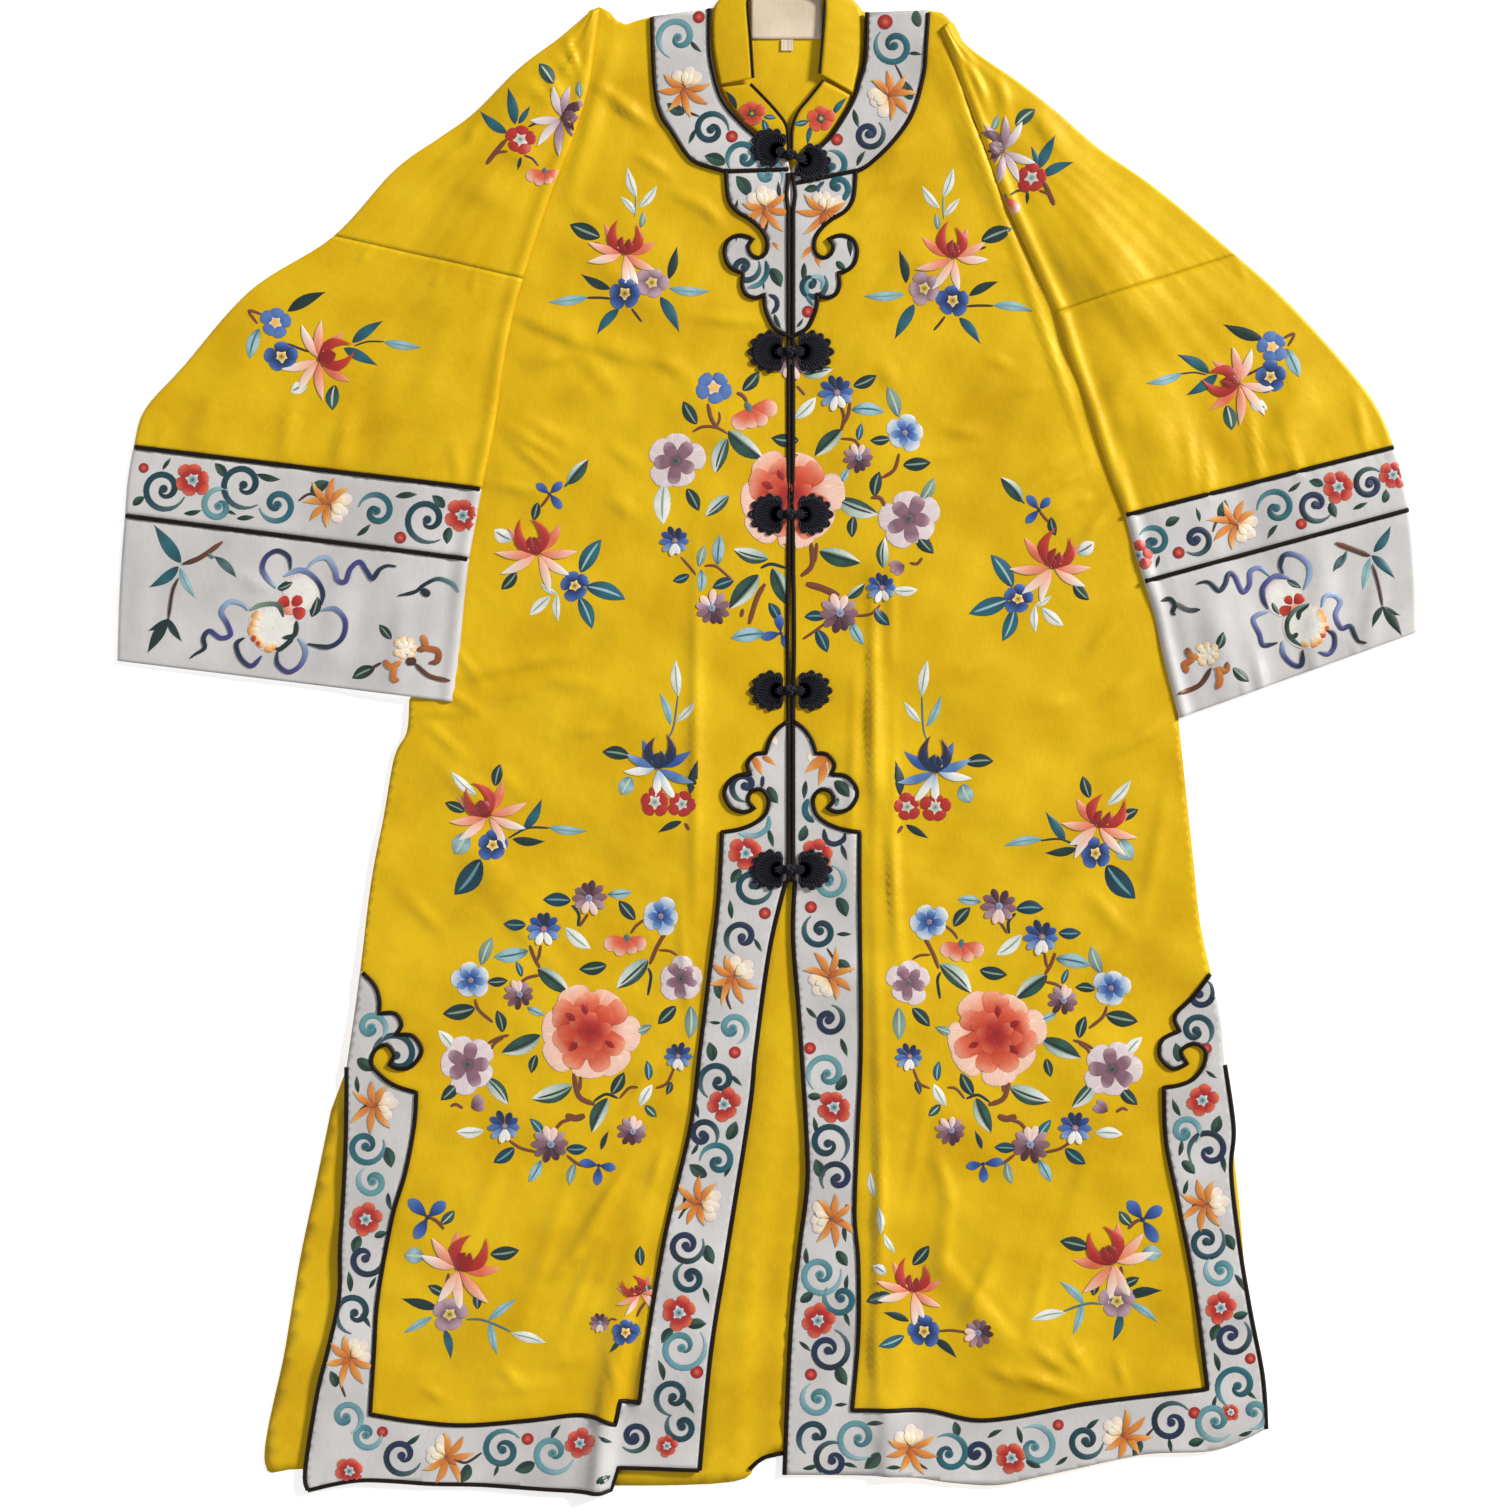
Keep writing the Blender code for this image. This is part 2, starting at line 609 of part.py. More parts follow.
def make_sleeve(stations, suffix):
    """One sleeve of four tubes sewn end to end, a seam's gap apart."""
    for name, first, last in SLEEVE_PIECES:
        rings = []
        for station in range(first, last + 1):
            row = stations[station]
            inwards = {first: 1, last: -1}.get(station)
            if inwards:
                beyond = stations[station + inwards]
                length = math.dist(row[2:], beyond[2:])
                row = [a + (b - a) * 0.5 * SEAM_GAP / length for a, b in zip(row, beyond)]
            rings.append(sleeve_ring(row, station))
        look = "white_satin" if name in ("sleeve_band", "cuff") else "yellow_satin"
        flat_tube(f"{name}_{suffix}", rings, look)


def make_collar(name, rows):
    """A length of the stand collar, lofted from its base to its free edge."""
    mesh = bpy.data.meshes.new(name)
    shape = bmesh.new()
    shares = (0.0, 0.35, 0.7, 1.0)
    lines = []
    for row in smooth(rows, 14.0):
        base, free = Vector(row[:3]), Vector(row[3:])
        lines.append([shape.verts.new(base.lerp(free, share) * MM) for share in shares])
    for near, far in zip(lines, lines[1:]):
        for index in range(len(shares) - 1):
            shape.faces.new((near[index], near[index + 1], far[index + 1], far[index]))
    bmesh.ops.triangulate(shape, faces=shape.faces)
    shape.normal_update()
    if sum(face.normal.z for face in shape.faces) < 0:
        bmesh.ops.reverse_faces(shape, faces=shape.faces)
    shape.to_mesh(mesh)
    shape.free()
    made = add_object(name, mesh, "yellow_satin")
    wall = made.modifiers.new("wall", "SOLIDIFY")
    wall.thickness = COLLAR_WALL * MM
    wall.offset = -1.0


def fan_outline(centre, radius, heading):
    """A fan of cord loops round the outside, narrowing to the knot."""
    loops = [(-turn, share) for turn, share in FAN_LOOPS[:0:-1]] + list(FAN_LOOPS)
    corners = []
    for number, (turn, share) in enumerate(loops):
        if number:
            last_turn, last_share = loops[number - 1]
            corners.append(((last_turn + turn) / 2, FAN_NOTCH * min(last_share, share)))
        for away in (-FAN_HALF_LOOP, 0.0, FAN_HALF_LOOP):
            corners.append((turn + away, share * (0.94 if away else 1.0)))
    corners.append((180.0, FAN_ROOT))
    return [(centre[0] + radius * share * math.cos(heading + math.radians(turn)),
             centre[1] + radius * share * math.sin(heading + math.radians(turn)))
            for turn, share in corners]


def make_frog(number, row):
    """One frog: a fan of loops on each front and the ball knot over the opening."""
    right_y, left_y, reach, radius, tilt, layer = row
    low = layer + SEAM_GAP
    for suffix, side, y in (("right", -1, right_y), ("left", 1, left_y)):
        centre = (OPENING_X + side * reach, y)
        heading = math.radians(180 - tilt if side < 0 else -tilt)
        plate(f"frog_{number}_{suffix}", fan_outline(centre, radius, heading), low, FROG_THICK, "black_cord")
    knot_y = (right_y + left_y) / 2
    bpy.ops.mesh.primitive_uv_sphere_add(segments=12, ring_count=6, radius=KNOT_RADIUS * MM)
    knot = bpy.context.object
    knot.name = f"knot_{number}"
    knot.data.materials.append(material("black_cord"))
    height = low + FROG_THICK + SEAM_GAP + KNOT_RADIUS * 0.5
    for vertex in knot.data.vertices:
        vertex.co.z *= 0.5
    knot.location = (OPENING_X * MM, knot_y * MM, height * MM)
    for other in knot.users_collection:
        other.objects.unlink(knot)
    bpy.data.collections["silk_robe"].objects.link(knot)


def make_label(name, size, place):
    """A small bare cloth label on the inside of the back."""
    half_width, half_height = size[0] / 2, size[1] / 2
    x, y = place
    outline = [(x - half_width, y - half_height), (x + half_width, y - half_height),
               (x + half_width, y + half_height), (x - half_width, y + half_height)]
    plate(name, outline, BACK_WALL + SEAM_GAP, size[2], "label_cloth")


def main():
    for old in list(bpy.data.objects):
        bpy.data.objects.remove(old)
    robe = bpy.data.collections.new("silk_robe")
    bpy.context.scene.collection.children.link(robe)
    make_back()
    for side in (-1, 1):
        make_front(side)
    make_sleeve(SLEEVE_RIGHT, "right")
    make_sleeve(SLEEVE_LEFT, "left")
    make_collar("collar_back", COLLAR_BACK)
    make_collar("collar_right", COLLAR_RIGHT)
    make_collar("collar_left", COLLAR_LEFT)
    for number, row in enumerate(FROGS, start=1):
        make_frog(number, row)
    make_label("label", LABEL_SIZE, LABEL_PLACE)
    make_label("size_tab", TAB_SIZE, TAB_PLACE)


main()
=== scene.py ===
"""The finish of a Chinese silk robe that lies flat on its back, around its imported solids.

Places and sizes are in millimetres in the robe's frame: +X to the viewer's right, +Y towards the
neck, +Z up from the floor. Left and right in the names are the wearer's, so right is at -X.
"""

import math

import bpy
import numpy as np
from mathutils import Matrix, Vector
from mathutils.bvhtree import BVHTree
from mathutils.geometry import delaunay_2d_cdt


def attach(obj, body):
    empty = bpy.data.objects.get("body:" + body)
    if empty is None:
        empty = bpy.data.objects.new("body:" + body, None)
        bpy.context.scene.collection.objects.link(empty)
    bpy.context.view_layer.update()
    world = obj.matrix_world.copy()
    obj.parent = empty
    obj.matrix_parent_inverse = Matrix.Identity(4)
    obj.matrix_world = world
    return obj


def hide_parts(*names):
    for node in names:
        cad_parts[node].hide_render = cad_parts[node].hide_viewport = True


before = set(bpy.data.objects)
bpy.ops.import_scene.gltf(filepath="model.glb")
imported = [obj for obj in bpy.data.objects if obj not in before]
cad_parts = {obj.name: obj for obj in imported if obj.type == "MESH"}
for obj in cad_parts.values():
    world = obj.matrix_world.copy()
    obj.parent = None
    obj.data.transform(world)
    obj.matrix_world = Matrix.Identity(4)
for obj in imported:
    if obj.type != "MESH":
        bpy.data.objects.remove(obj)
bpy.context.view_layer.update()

MM = 0.001

# The photograph's scale and the pixel over the robe's origin
PHOTO_MM = 0.8
PHOTO_ORIGIN_X = 767.0
PHOTO_ORIGIN_Y = 732.0
PHOTO_SIZE = 1512.0

# Cloth layers above the floor, as in the solids
SEAM_GAP = 0.3
BACK_TOP = 1.2
FRONT_WALL = 1.2
FRONT_TOP = 2.8
BORDER_WALL = 1.0
SLEEVE_WALL = 1.2
COLLAR_WALL = 1.2
# The back's underside stays just clear of the floor
BACK_WALL = BACK_TOP - 0.1
# How far the body runs on under the sleeves
UNDER_SLEEVE = 14.0
# How high a sleeve's underside lies at its inner edge, and how far in from there that height starts
# and stops falling
SLEEVE_LIFT = 3.7
LIFT_FULL = 48.0
LIFT_END = 95.0

# Radii of the black satin piping and bindings, and of the cords of the frogs
PIPING_RADIUS = 1.75
BINDING_RADIUS = 2.0
COLLAR_PIPING_RADIUS = 1.1
CORD_RADIUS = 1.15
SHANK_RADIUS = CORD_RADIUS * 1.05
# How far the middle of each piping or binding stands over the cloth that it lies on
PIPING_RAISE = 0.15 * PIPING_RADIUS
BINDING_RAISE = 0.4
WEDGE_RAISE = 0.6
SEAM_PIPING_RAISE = 1.1
COLLAR_PIPING_RAISE = 0.1
OPENING_RAISE = 0.5

# Steps of the panels' triangles, then of edges, seams, cords and stitches
FRONT_GRID = 4.0
BACK_GRID = 9.0
LINE_STEP = 3.0
SIDE_STEP = 5.0
UNDER_SLEEVE_STEP = 6.0
BACK_SIDE_STEP = 8.0
BACK_HEM_STEP = 6.0
BACK_NECK_STEP = 5.0
RING_STEP = 4.5
COLLAR_STEP = 3.0
SHANK_STEP = 1.5
STEM_STEP = 2.0
STROKE_STEP = 1.6
# How near a grid point may be to a line, as a share of the grid, and how near points are joined
LINE_CLEARANCE = 0.5
JOIN_LIMIT = 0.05
# Over how many points to each side a laid line is softened
SOFTEN_REACH = 5
# Distances past every outline, past the front opening and past the top of the lappet
BEYOND = 900.0
PAST_OPENING = 60.0
PAST_LAPPET = 500.0

# The front opening and where the fronts part
OPENING_X = 19.0
OPENING_TOP = 448.0
OPENING_BOTTOM = -116.0
HALF_OPENING = 0.35
# How far out from its front's edge the middle of each binding lies
OPENING_OUT = 1.55

# Stations across each sleeve from the shoulder to the cuff's mouth:
# outer edge x and y, inner edge x and y
SLEEVE_RIGHT = (
    (-146, 572, -134, 578),
    (-166, 555, -138, 547),
    (-198, 531, -143, 515),
    (-234, 496, -154, 478),
    (-262, 476, -163, 454),
    (-298, 450, -174, 426),
    (-347, 397, -195, 362),
    (-413, 354, -207, 314),
    (-467, 293, -216, 254),
    (-498, 258, -222, 222),
    (-507, 228, -228, 194),
    (-512, 200, -233, 166),
    (-514, 173, -238, 138),
    (-517, 134, -242, 103),
    (-519, 96, -246, 62),
    (-520, 57, -251, 24),
)
SLEEVE_LEFT = (
    (146, 568, 139, 560),
    (161, 548, 148, 538),
    (202, 519, 161, 502),
    (234, 494, 174, 466),
    (266, 467, 186, 434),
    (313, 434, 203, 395),
    (375, 382, 230, 335),
    (414, 347, 243, 296),
    (461, 296, 258, 254),
    (487, 262, 272, 210),
    (502, 228, 286, 173),
    (509, 202, 293, 146),
    (514, 178, 301, 120),
    (517, 146, 309, 94),
    (519, 113, 317, 58),
    (520, 80, 329, 11),
)
# Name, first and last station, material, flat width and length, and flat area of each sleeve piece
SLEEVE_PIECES = (
    ("sleeve_upper", 0, 6, "yellow_satin", (0.32, 0.32), 0.045),
    ("sleeve_lower", 6, 10, "yellow_satin", (0.56, 0.17), 0.090),
    ("sleeve_band", 10, 12, "white_satin", (0.52, 0.055), 0.0286),
    ("cuff", 12, 15, "white_satin", (0.50, 0.11), 0.055),
)
MID_SEAM = 6
BAND_SEAM = 10
CUFF_SEAM = 12
# The gathers at each seam: its station, their reach in stations, how many lie across, their height
# and the dip at the seam itself. Then how far that dip reaches, in stations
SEAM_GATHERS = (
    (MID_SEAM, 0.30, 22, 0.6, 0.25),
    (BAND_SEAM, 1.2, 27, 0.85, 0.6),
    (CUFF_SEAM, 0.9, 31, 0.8, 0.6),
)
SEAM_DIP_REACH = 0.06
# How much of its width the piping over a seam leaves free at each end
SEAM_END = 0.004
# The room in a sleeve: its least, its level part, what rises to the middle, and how high and how
# many the broad swells and the soft folds of the lower sleeve are
PUFF_LEAST = 0.3
PUFF_LEVEL = 0.7
PUFF_BELL = 1.1
PUFF_SWELL = 0.5
SWELL_WAVES = 3.0
PUFF_DRAPE = 0.45
DRAPE_WAVES = 4.3
# The stations from which and over which those folds of the lower sleeve grow
DRAPE_START = 3.0
DRAPE_REACH = 3.0
# Points across one layer of a sleeve, how far in its edges are rounded and how deep its inner face is
LOOP_STEPS = 76
SLEEVE_ROUNDING = 3.0
SLEEVE_INSET = 1.1

# Sides of the body below the sleeves, down to the top of each slit
SIDE_RIGHT = ((-286, 26), (-288, 0), (-298, -20), (-307, -70), (-317, -123), (-325, -190), (-336, -268))
SIDE_LEFT = ((329, 10), (334, -38), (340, -94), (346, -150), (354, -190), (362, -227), (366, -266))

# Slit edges, hems and front edges, each run as smooth as it lies and met at corners
SLIT_RIGHT = ((-336, -268), (-337, -338), (-341, -410), (-342, -452), (-351, -495), (-360, -532),
              (-369, -590), (-367, -606))
HEM_RIGHT = ((-367, -606), (-324, -598), (-266, -601), (-228, -602), (-145, -607), (-125, -606))
ROLL_END_RIGHT = ((-125, -606), (-119, -588))
HEM_FOOT_RIGHT = ((-119, -588), (-54, -590))
EDGE_RIGHT = ((-54, -590), (-45, -497), (-32, -415), (-14, -302), (-9, -254), (2, -174), (15, -119))
SLIT_LEFT = ((366, -266), (373, -316), (371, -351), (377, -405), (386, -462), (396, -513), (399, -557))
HEM_LEFT = ((399, -557), (358, -574), (300, -578), (222, -594), (184, -602), (146, -600), (106, -595),
            (14, -594))
EDGE_LEFT = ((14, -594), (19, -480), (26, -413), (32, -366), (32, -328), (26, -230), (21, -165),
             (22.4, -119))

# Slit edges and hem of the back, and its neck
BACK_HEM = (
    (-349, -303), (-362, -366), (-374, -423), (-386, -495), (-402, -585), (-370, -590), (-260, -596),
    (-124, -603), (-27, -600), (-8, -587), (12, -578), (106, -582), (222, -578), (330, -560), (384, -538),
    (383, -446), (379, -386),
)
BACK_NECK = ((-46, 578), (-34, 584), (-16, 587), (15, 589), (46, 587), (66, 583), (80, 575))
# The back's hem where the fronts part
WEDGE_HEM = ((-14, -590), (-6, -583), (2, -579), (15, -577))

# The fronts' necklines, from the shoulder to the opening, and their shoulders
NECK_RIGHT = ((-46, 578), (-46, 547), (-43, 527), (-36, 505), (-22, 488), (-10, 477), (4, 466), (17, 456))
NECK_LEFT = ((80, 575), (79, 540), (74, 520), (68, 503), (56, 483), (46, 471), (31, 459), (21, 452))
SHOULDER_RIGHT = ((-93, 572), (-104, 569), (-113, 566), (-120, 569), (-126, 576), (-134, 580), (-142, 577),
                  (-146, 571))
SHOULDER_LEFT = ((128, 577), (140, 575), (150, 566))
# How many of those points the back follows before it runs under the sleeve
BACK_SHOULDER_RIGHT = 6
BACK_SHOULDER_LEFT = 2

# Outer outline of each neck band, from the shoulder to the opening
BAND_RIGHT = ((-92, 590), (-92, 571), (-90, 520), (-85, 494), (-76, 480), (-65, 463), (-56, 455), (-34, 448))
BAND_LEFT = ((129, 590), (129, 577), (127, 547), (125, 525), (116, 494), (100, 471), (82, 454), (73, 449))
# Where each neck band meets the opening
BAND_FOOT_RIGHT = 450.0
BAND_FOOT_LEFT = 438.0

# Half of the lappet below the neck band, as distances from the opening: smooth runs between corners
LAPPET = (
    ((52, 450), (51, 434), (49, 424), (43, 416), (33, 410), (24, 402), (19, 393), (20, 383), (26, 379),
     (32, 382), (34, 389), (30, 394)),
    ((30, 394), (40, 397), (49, 394), (53, 386), (51, 375), (45, 369), (38, 367)),
    ((38, 367), (39, 358), (36, 350), (28, 347), (21, 350)),
    ((21, 350), (21, 342), (18, 332), (12, 322), (-2, 315)),
)
# Half of the cloud head where the front border starts, in the same way
CLOUD = (
    ((-2, 11), (10, 3), (17, -7), (20, -17)),
    ((20, -17), (29, -18), (35, -26), (32, -34)),
    ((32, -34), (43, -35), (51, -42), (53, -51), (47, -61), (37, -64), (29, -61)),
    ((29, -61), (34, -55), (32, -48), (24, -46), (18, -53), (20, -65), (29, -73), (42, -78), (55, -80)),
)
# The border's inner outline below the cloud head: down the front, along the hem, up to the slit
INNER_RIGHT = (
    ((-36, -80), (-39, -135), (-46, -193), (-54, -258), (-60, -309), (-70, -354), (-82, -405),
     (-95, -482), (-102, -536)),
    ((-102, -536), (-117, -534)),
    ((-117, -534), (-121, -553)),
    ((-121, -553), (-136, -548), (-154, -546), (-190, -550), (-243, -554), (-282, -551), (-317, -545)),
    ((-317, -545), (-314, -495), (-311, -452), (-300, -390), (-289, -352), (-282, -315), (-280, -288)),
)
INNER_LEFT = (
    ((74, -80), (74, -135), (75, -250), (72, -328), (70, -386), (73, -424), (73, -482), (68, -542)),
    ((68, -542), (126, -542), (176, -550), (261, -536), (352, -525)),
    ((352, -525), (344, -462), (338, -424), (329, -378), (319, -328), (317, -284)),
)
# The cloud head at the top of each slit, from the inner outline to the side
SLIT_HEAD_RIGHT = (
    ((-280, -288), (-296, -283), (-307, -276), (-316, -265), (-313, -254), (-304, -250), (-298, -258),
     (-302, -266)),
    ((-302, -266), (-294, -269), (-284, -267), (-276, -255), (-283, -243), (-297, -242)),
    ((-297, -242), (-292, -234), (-297, -225), (-310, -225)),
    ((-310, -225), (-310, -212), (-317, -198), (-345, -175)),
)
SLIT_HEAD_LEFT = (
    ((317, -284), (330, -282), (341, -277), (349, -266), (350, -254), (341, -249), (331, -255), (336, -265)),
    ((336, -265), (324, -269), (314, -259), (316, -246), (330, -239)),
    ((330, -239), (326, -227), (340, -212), (356, -191), (372, -170)),
)

# Folds of each front, from start to end of the crest: x and y at both, the flank's width on the
# right and on the left of that way, and the crest's height at its start, middle and end
FOLDS_RIGHT = (
    (-97, -372, -135, -612, 24, 11, 0.6, 5.4, 6.8),
    (-56, 138, -56, -134, 14, 14, 0.0, 2.2, 0.4),
    (-200, 250, -156, 232, 11, 11, 0.2, 2.6, 0.2),
    (-128, 512, -92, 482, 11, 11, 0.2, 2.2, 0.2),
    (-122, 556, -160, 424, 8, 14, 0.6, 3.0, 0.8),
    (-152, -478, -112, -388, 16, 16, 0.2, 2.4, 0.2),
    (-262, -60, -190, -150, 20, 20, 0.2, 2.0, 0.2),
)
FOLDS_LEFT = (
    (88, 70, 90, -86, 12, 12, 0.2, 2.4, 0.6),
    (90, -120, 96, -610, 12, 28, 0.6, 2.6, 4.6),
    (196, -412, 154, -478, 16, 16, 0.2, 2.2, 0.2),
    (186, -508, 252, -530, 12, 12, 0.2, 2.0, 0.2),
    (136, 546, 192, 398, 14, 8, 0.6, 3.0, 0.8),
    (250, 226, 208, 202, 11, 11, 0.2, 2.4, 0.2),
    (290, -40, 232, -140, 20, 20, 0.2, 2.0, 0.2),
)
# Smaller creases in the same columns, which add to the folds
CREASES_RIGHT = (
    (-217, 250, -160, 214, 7, 9, 0.0, 1.4, 0.0),
    (-216, 244, -163, 196, 6, 8, 0.0, 1.1, 0.0),
    (-228, 200, -176, 190, 6, 8, 0.0, 0.9, 0.0),
    (-140, 520, -86, 478, 6, 8, 0.2, 1.3, 0.0),
    (-110, 466, -70, 440, 7, 7, 0.0, 1.0, 0.0),
    (-60, 432, -30, 396, 6, 9, 0.0, 0.7, 0.0),
    (-252, 70, -226, 34, 5, 7, 0.0, 0.9, 0.0),
    (-268, 40, -222, 10, 6, 8, 0.0, 1.0, 0.0),
    (-282, 14, -236, -26, 6, 9, 0.0, 0.9, 0.0),
    (-57, 160, -58, -180, 5, 6, 0.2, 1.0, 0.2),
    (-73, -110, -60, -260, 5, 9, 0.0, 0.9, 0.0),
    (-170, -500, -130, -396, 7, 10, 0.0, 1.2, 0.2),
    (-206, -512, -150, -330, 9, 12, 0.0, 0.8, 0.2),
    (-148, -410, -100, -330, 6, 9, 0.0, 1.0, 0.0),
    (-250, -440, -196, -300, 12, 12, 0.0, 0.7, 0.0),
    (-120, -320, -84, -250, 6, 8, 0.0, 0.8, 0.0),
    (-230, -120, -150, -210, 12, 14, 0.0, 0.8, 0.0),
    (-300, -120, -250, -170, 8, 10, 0.0, 0.8, 0.0),
    (-100, 330, -40, 250, 12, 14, 0.0, 0.6, 0.0),
    (-150, 390, -80, 330, 12, 12, 0.0, 0.7, 0.0),
    (-208, 337, -158, 315, 8, 24, 0.2, 1.5, 0.8),
    (-158, 315, -90, 294, 9, 20, 0.8, 1.2, 0.0),
    (-198, 292, -150, 304, 9, 16, 0.0, 1.2, 0.4),
    (-150, 304, -112, 262, 12, 14, 0.4, 0.9, 0.0),
    (-103, 303, -62, 286, 7, 10, 0.0, 0.9, 0.0),
    (-164, 262, -131, 286, 16, 8, 0.0, 1.0, 0.2),
    (-131, 190, -100, 170, 9, 12, 0.0, 0.8, 0.0),
    (-131, 233, -98, 208, 8, 12, 0.0, 0.8, 0.0),
    (-68, 331, -6, 327, 5, 8, 0.0, 0.9, 0.2),
    (-76, 432, -40, 412, 7, 10, 0.2, 0.9, 0.0),
    (-162, 424, -128, 402, 8, 12, 0.0, 0.8, 0.0),
    (-250, 42, -186, 56, 6, 12, 0.3, 1.0, 0.6),
    (-186, 56, -150, 62, 8, 14, 0.6, 0.8, 0.0),
    (-284, 14, -240, 16, 5, 8, 0.4, 0.9, 0.2),
    (-238, 18, -176, 42, 8, 14, 0.2, 1.1, 0.4),
    (-174, 42, -128, 36, 10, 12, 0.3, 0.7, 0.0),
    (-258, -32, -226, -66, 6, 9, 0.2, 1.0, 0.2),
    (-242, -30, -216, -74, 6, 8, 0.0, 0.9, 0.0),
    (-226, -22, -186, -60, 9, 12, 0.0, 0.7, 0.0),
    (-166, -4, -120, 4, 6, 10, 0.0, 0.7, 0.0),
    (-268, -170, -214, -118, 14, 10, 0.0, 0.9, 0.2),
    (-178, -442, -152, -418, 8, 10, 0.2, 1.3, 0.8),
    (-152, -418, -113, -348, 7, 12, 0.8, 1.4, 0.2),
    (-94, -370, -80, -330, 5, 9, 0.4, 1.4, 0.2),
    (-127.5, -490, -138.5, -612, 5, 14, 0.0, 1.0, 1.3),
    (-127, -494, -119, -530, 5, 5, 0.1, 0.9, 0.2),
    (-92, -430, -103, -534, 11, 7, 0.3, 1.2, 1.1),
    (-280, -521, -254, -537, 6, 8, 0.0, 0.8, 0.0),
    (-216, -506, -196, -524, 6, 8, 0.0, 1.0, 0.0),
    (-236, -528, -150, -520, 8, 12, 0.0, 0.8, 0.0),
    (-178, -508, -146, -498, 7, 9, 0.0, 0.8, 0.0),
)
CREASES_LEFT = (
    (86, 76, 86, -110, 5, 6, 0.2, 1.0, 0.2),
    (101, 60, 101, -214, 4, 6, 0.0, 1.0, 0.2),
    (84, -100, 92, -420, 6, 7, 0.2, 0.8, 0.5),
    (92, -330, 84, -560, 7, 6, 0.4, 1.0, 0.7),
    (190, -400, 154, -480, 7, 10, 0.0, 1.1, 0.2),
    (226, -410, 204, -496, 8, 8, 0.0, 0.8, 0.0),
    (180, -506, 256, -532, 7, 7, 0.0, 1.0, 0.2),
    (232, -478, 262, -520, 7, 9, 0.0, 0.9, 0.0),
    (140, 552, 196, 392, 5, 5, 0.4, 1.4, 0.4),
    (196, 392, 258, 214, 5, 7, 0.6, 1.2, 0.2),
    (262, 214, 216, 190, 6, 8, 0.0, 1.2, 0.0),
    (254, 190, 206, 164, 6, 8, 0.0, 0.8, 0.0),
    (280, 90, 250, 54, 6, 8, 0.0, 0.9, 0.0),
    (300, 50, 262, 20, 6, 8, 0.0, 1.0, 0.0),
    (322, 14, 280, -16, 6, 9, 0.0, 0.9, 0.0),
    (120, 480, 84, 450, 7, 9, 0.0, 0.9, 0.0),
    (130, 400, 80, 340, 12, 14, 0.0, 0.7, 0.0),
    (300, -150, 250, -220, 12, 12, 0.0, 0.7, 0.0),
    (270, -300, 230, -420, 12, 14, 0.0, 0.7, 0.0),
    (130, -270, 108, -400, 7, 9, 0.0, 0.8, 0.0),
    (83, 428, 114, 446, 5, 9, 0.2, 1.0, 0.2),
    (66, 410, 86, 424, 5, 8, 0.0, 0.8, 0.2),
    (112, 360, 134, 386, 16, 10, 0.0, 0.8, 0.0),
    (86, 330, 118, 346, 8, 12, 0.0, 0.7, 0.0),
    (90, 300, 104, 272, 12, 10, 0.0, 0.8, 0.0),
    (170, 302, 204, 286, 6, 9, 0.0, 0.7, 0.0),
    (192, 268, 228, 280, 7, 9, 0.0, 0.8, 0.0),
    (132, 244, 180, 236, 7, 10, 0.0, 0.8, 0.0),
    (108, 214, 176, 230, 12, 8, 0.0, 0.8, 0.0),
    (250, 150, 272, 176, 6, 8, 0.2, 1.2, 0.2),
    (246, 180, 262, 190, 4, 6, 0.0, 1.0, 0.0),
    (84, 128, 84, 62, 5, 9, 0.2, 1.0, 0.7),
    (84, 62, 83, -40, 5, 8, 0.7, 1.1, 0.4),
    (101, 150, 100, 60, 9, 5, 0.0, 0.8, 0.6),
    (70, 40, 66, -120, 5, 6, 0.5, 0.8, 0.2),
    (92, -42, 108, -200, 4, 9, 0.3, 1.0, 0.5),
    (250, 30, 214, 16, 7, 12, 0.0, 0.8, 0.0),
    (306, 0, 258, -24, 6, 9, 0.1, 0.9, 0.0),
    (180, 60, 130, 40, 10, 14, 0.0, 0.8, 0.0),
    (250, -120, 296, -170, 12, 9, 0.0, 0.8, 0.0),
    (320, -40, 300, -150, 8, 10, 0.2, 0.7, 0.2),
    (135, -334, 146, -372, 10, 8, 0.2, 1.1, 0.5),
    (146, -372, 141, -426, 12, 9, 0.5, 1.0, 0.8),
    (142, -426, 206, -500, 22, 11, 0.8, 1.5, 0.2),
    (203, -485, 246, -517, 7, 9, 0.0, 1.0, 0.1),
    (172, -506, 208, -524, 6, 8, 0.0, 0.9, 0.0),
    (278, -494, 287, -528, 6, 7, 0.0, 0.9, 0.1),
    (86, -470, 89, -534, 5, 6, 0.3, 1.0, 0.6),
    (226, -508, 262, -488, 9, 6, 0.0, 0.9, 0.0),
)
# Soft folds of the back where it shows between the parted fronts and at the neck
CREASES_BACK = (
    (-10, -580, 14, -566, 5, 7, 0.5, 1.0, 1.0),
    (12, -150, -2, -420, 5, 8, 0.0, 0.9, 0.6),
    (2, -250, -26, -590, 8, 6, 0.0, 1.6, 1.4),
    (22, -300, 4, -578, 6, 7, 0.0, 1.1, 1.0),
    (-20, -440, -44, -596, 6, 5, 0.0, 1.0, 1.0),
)
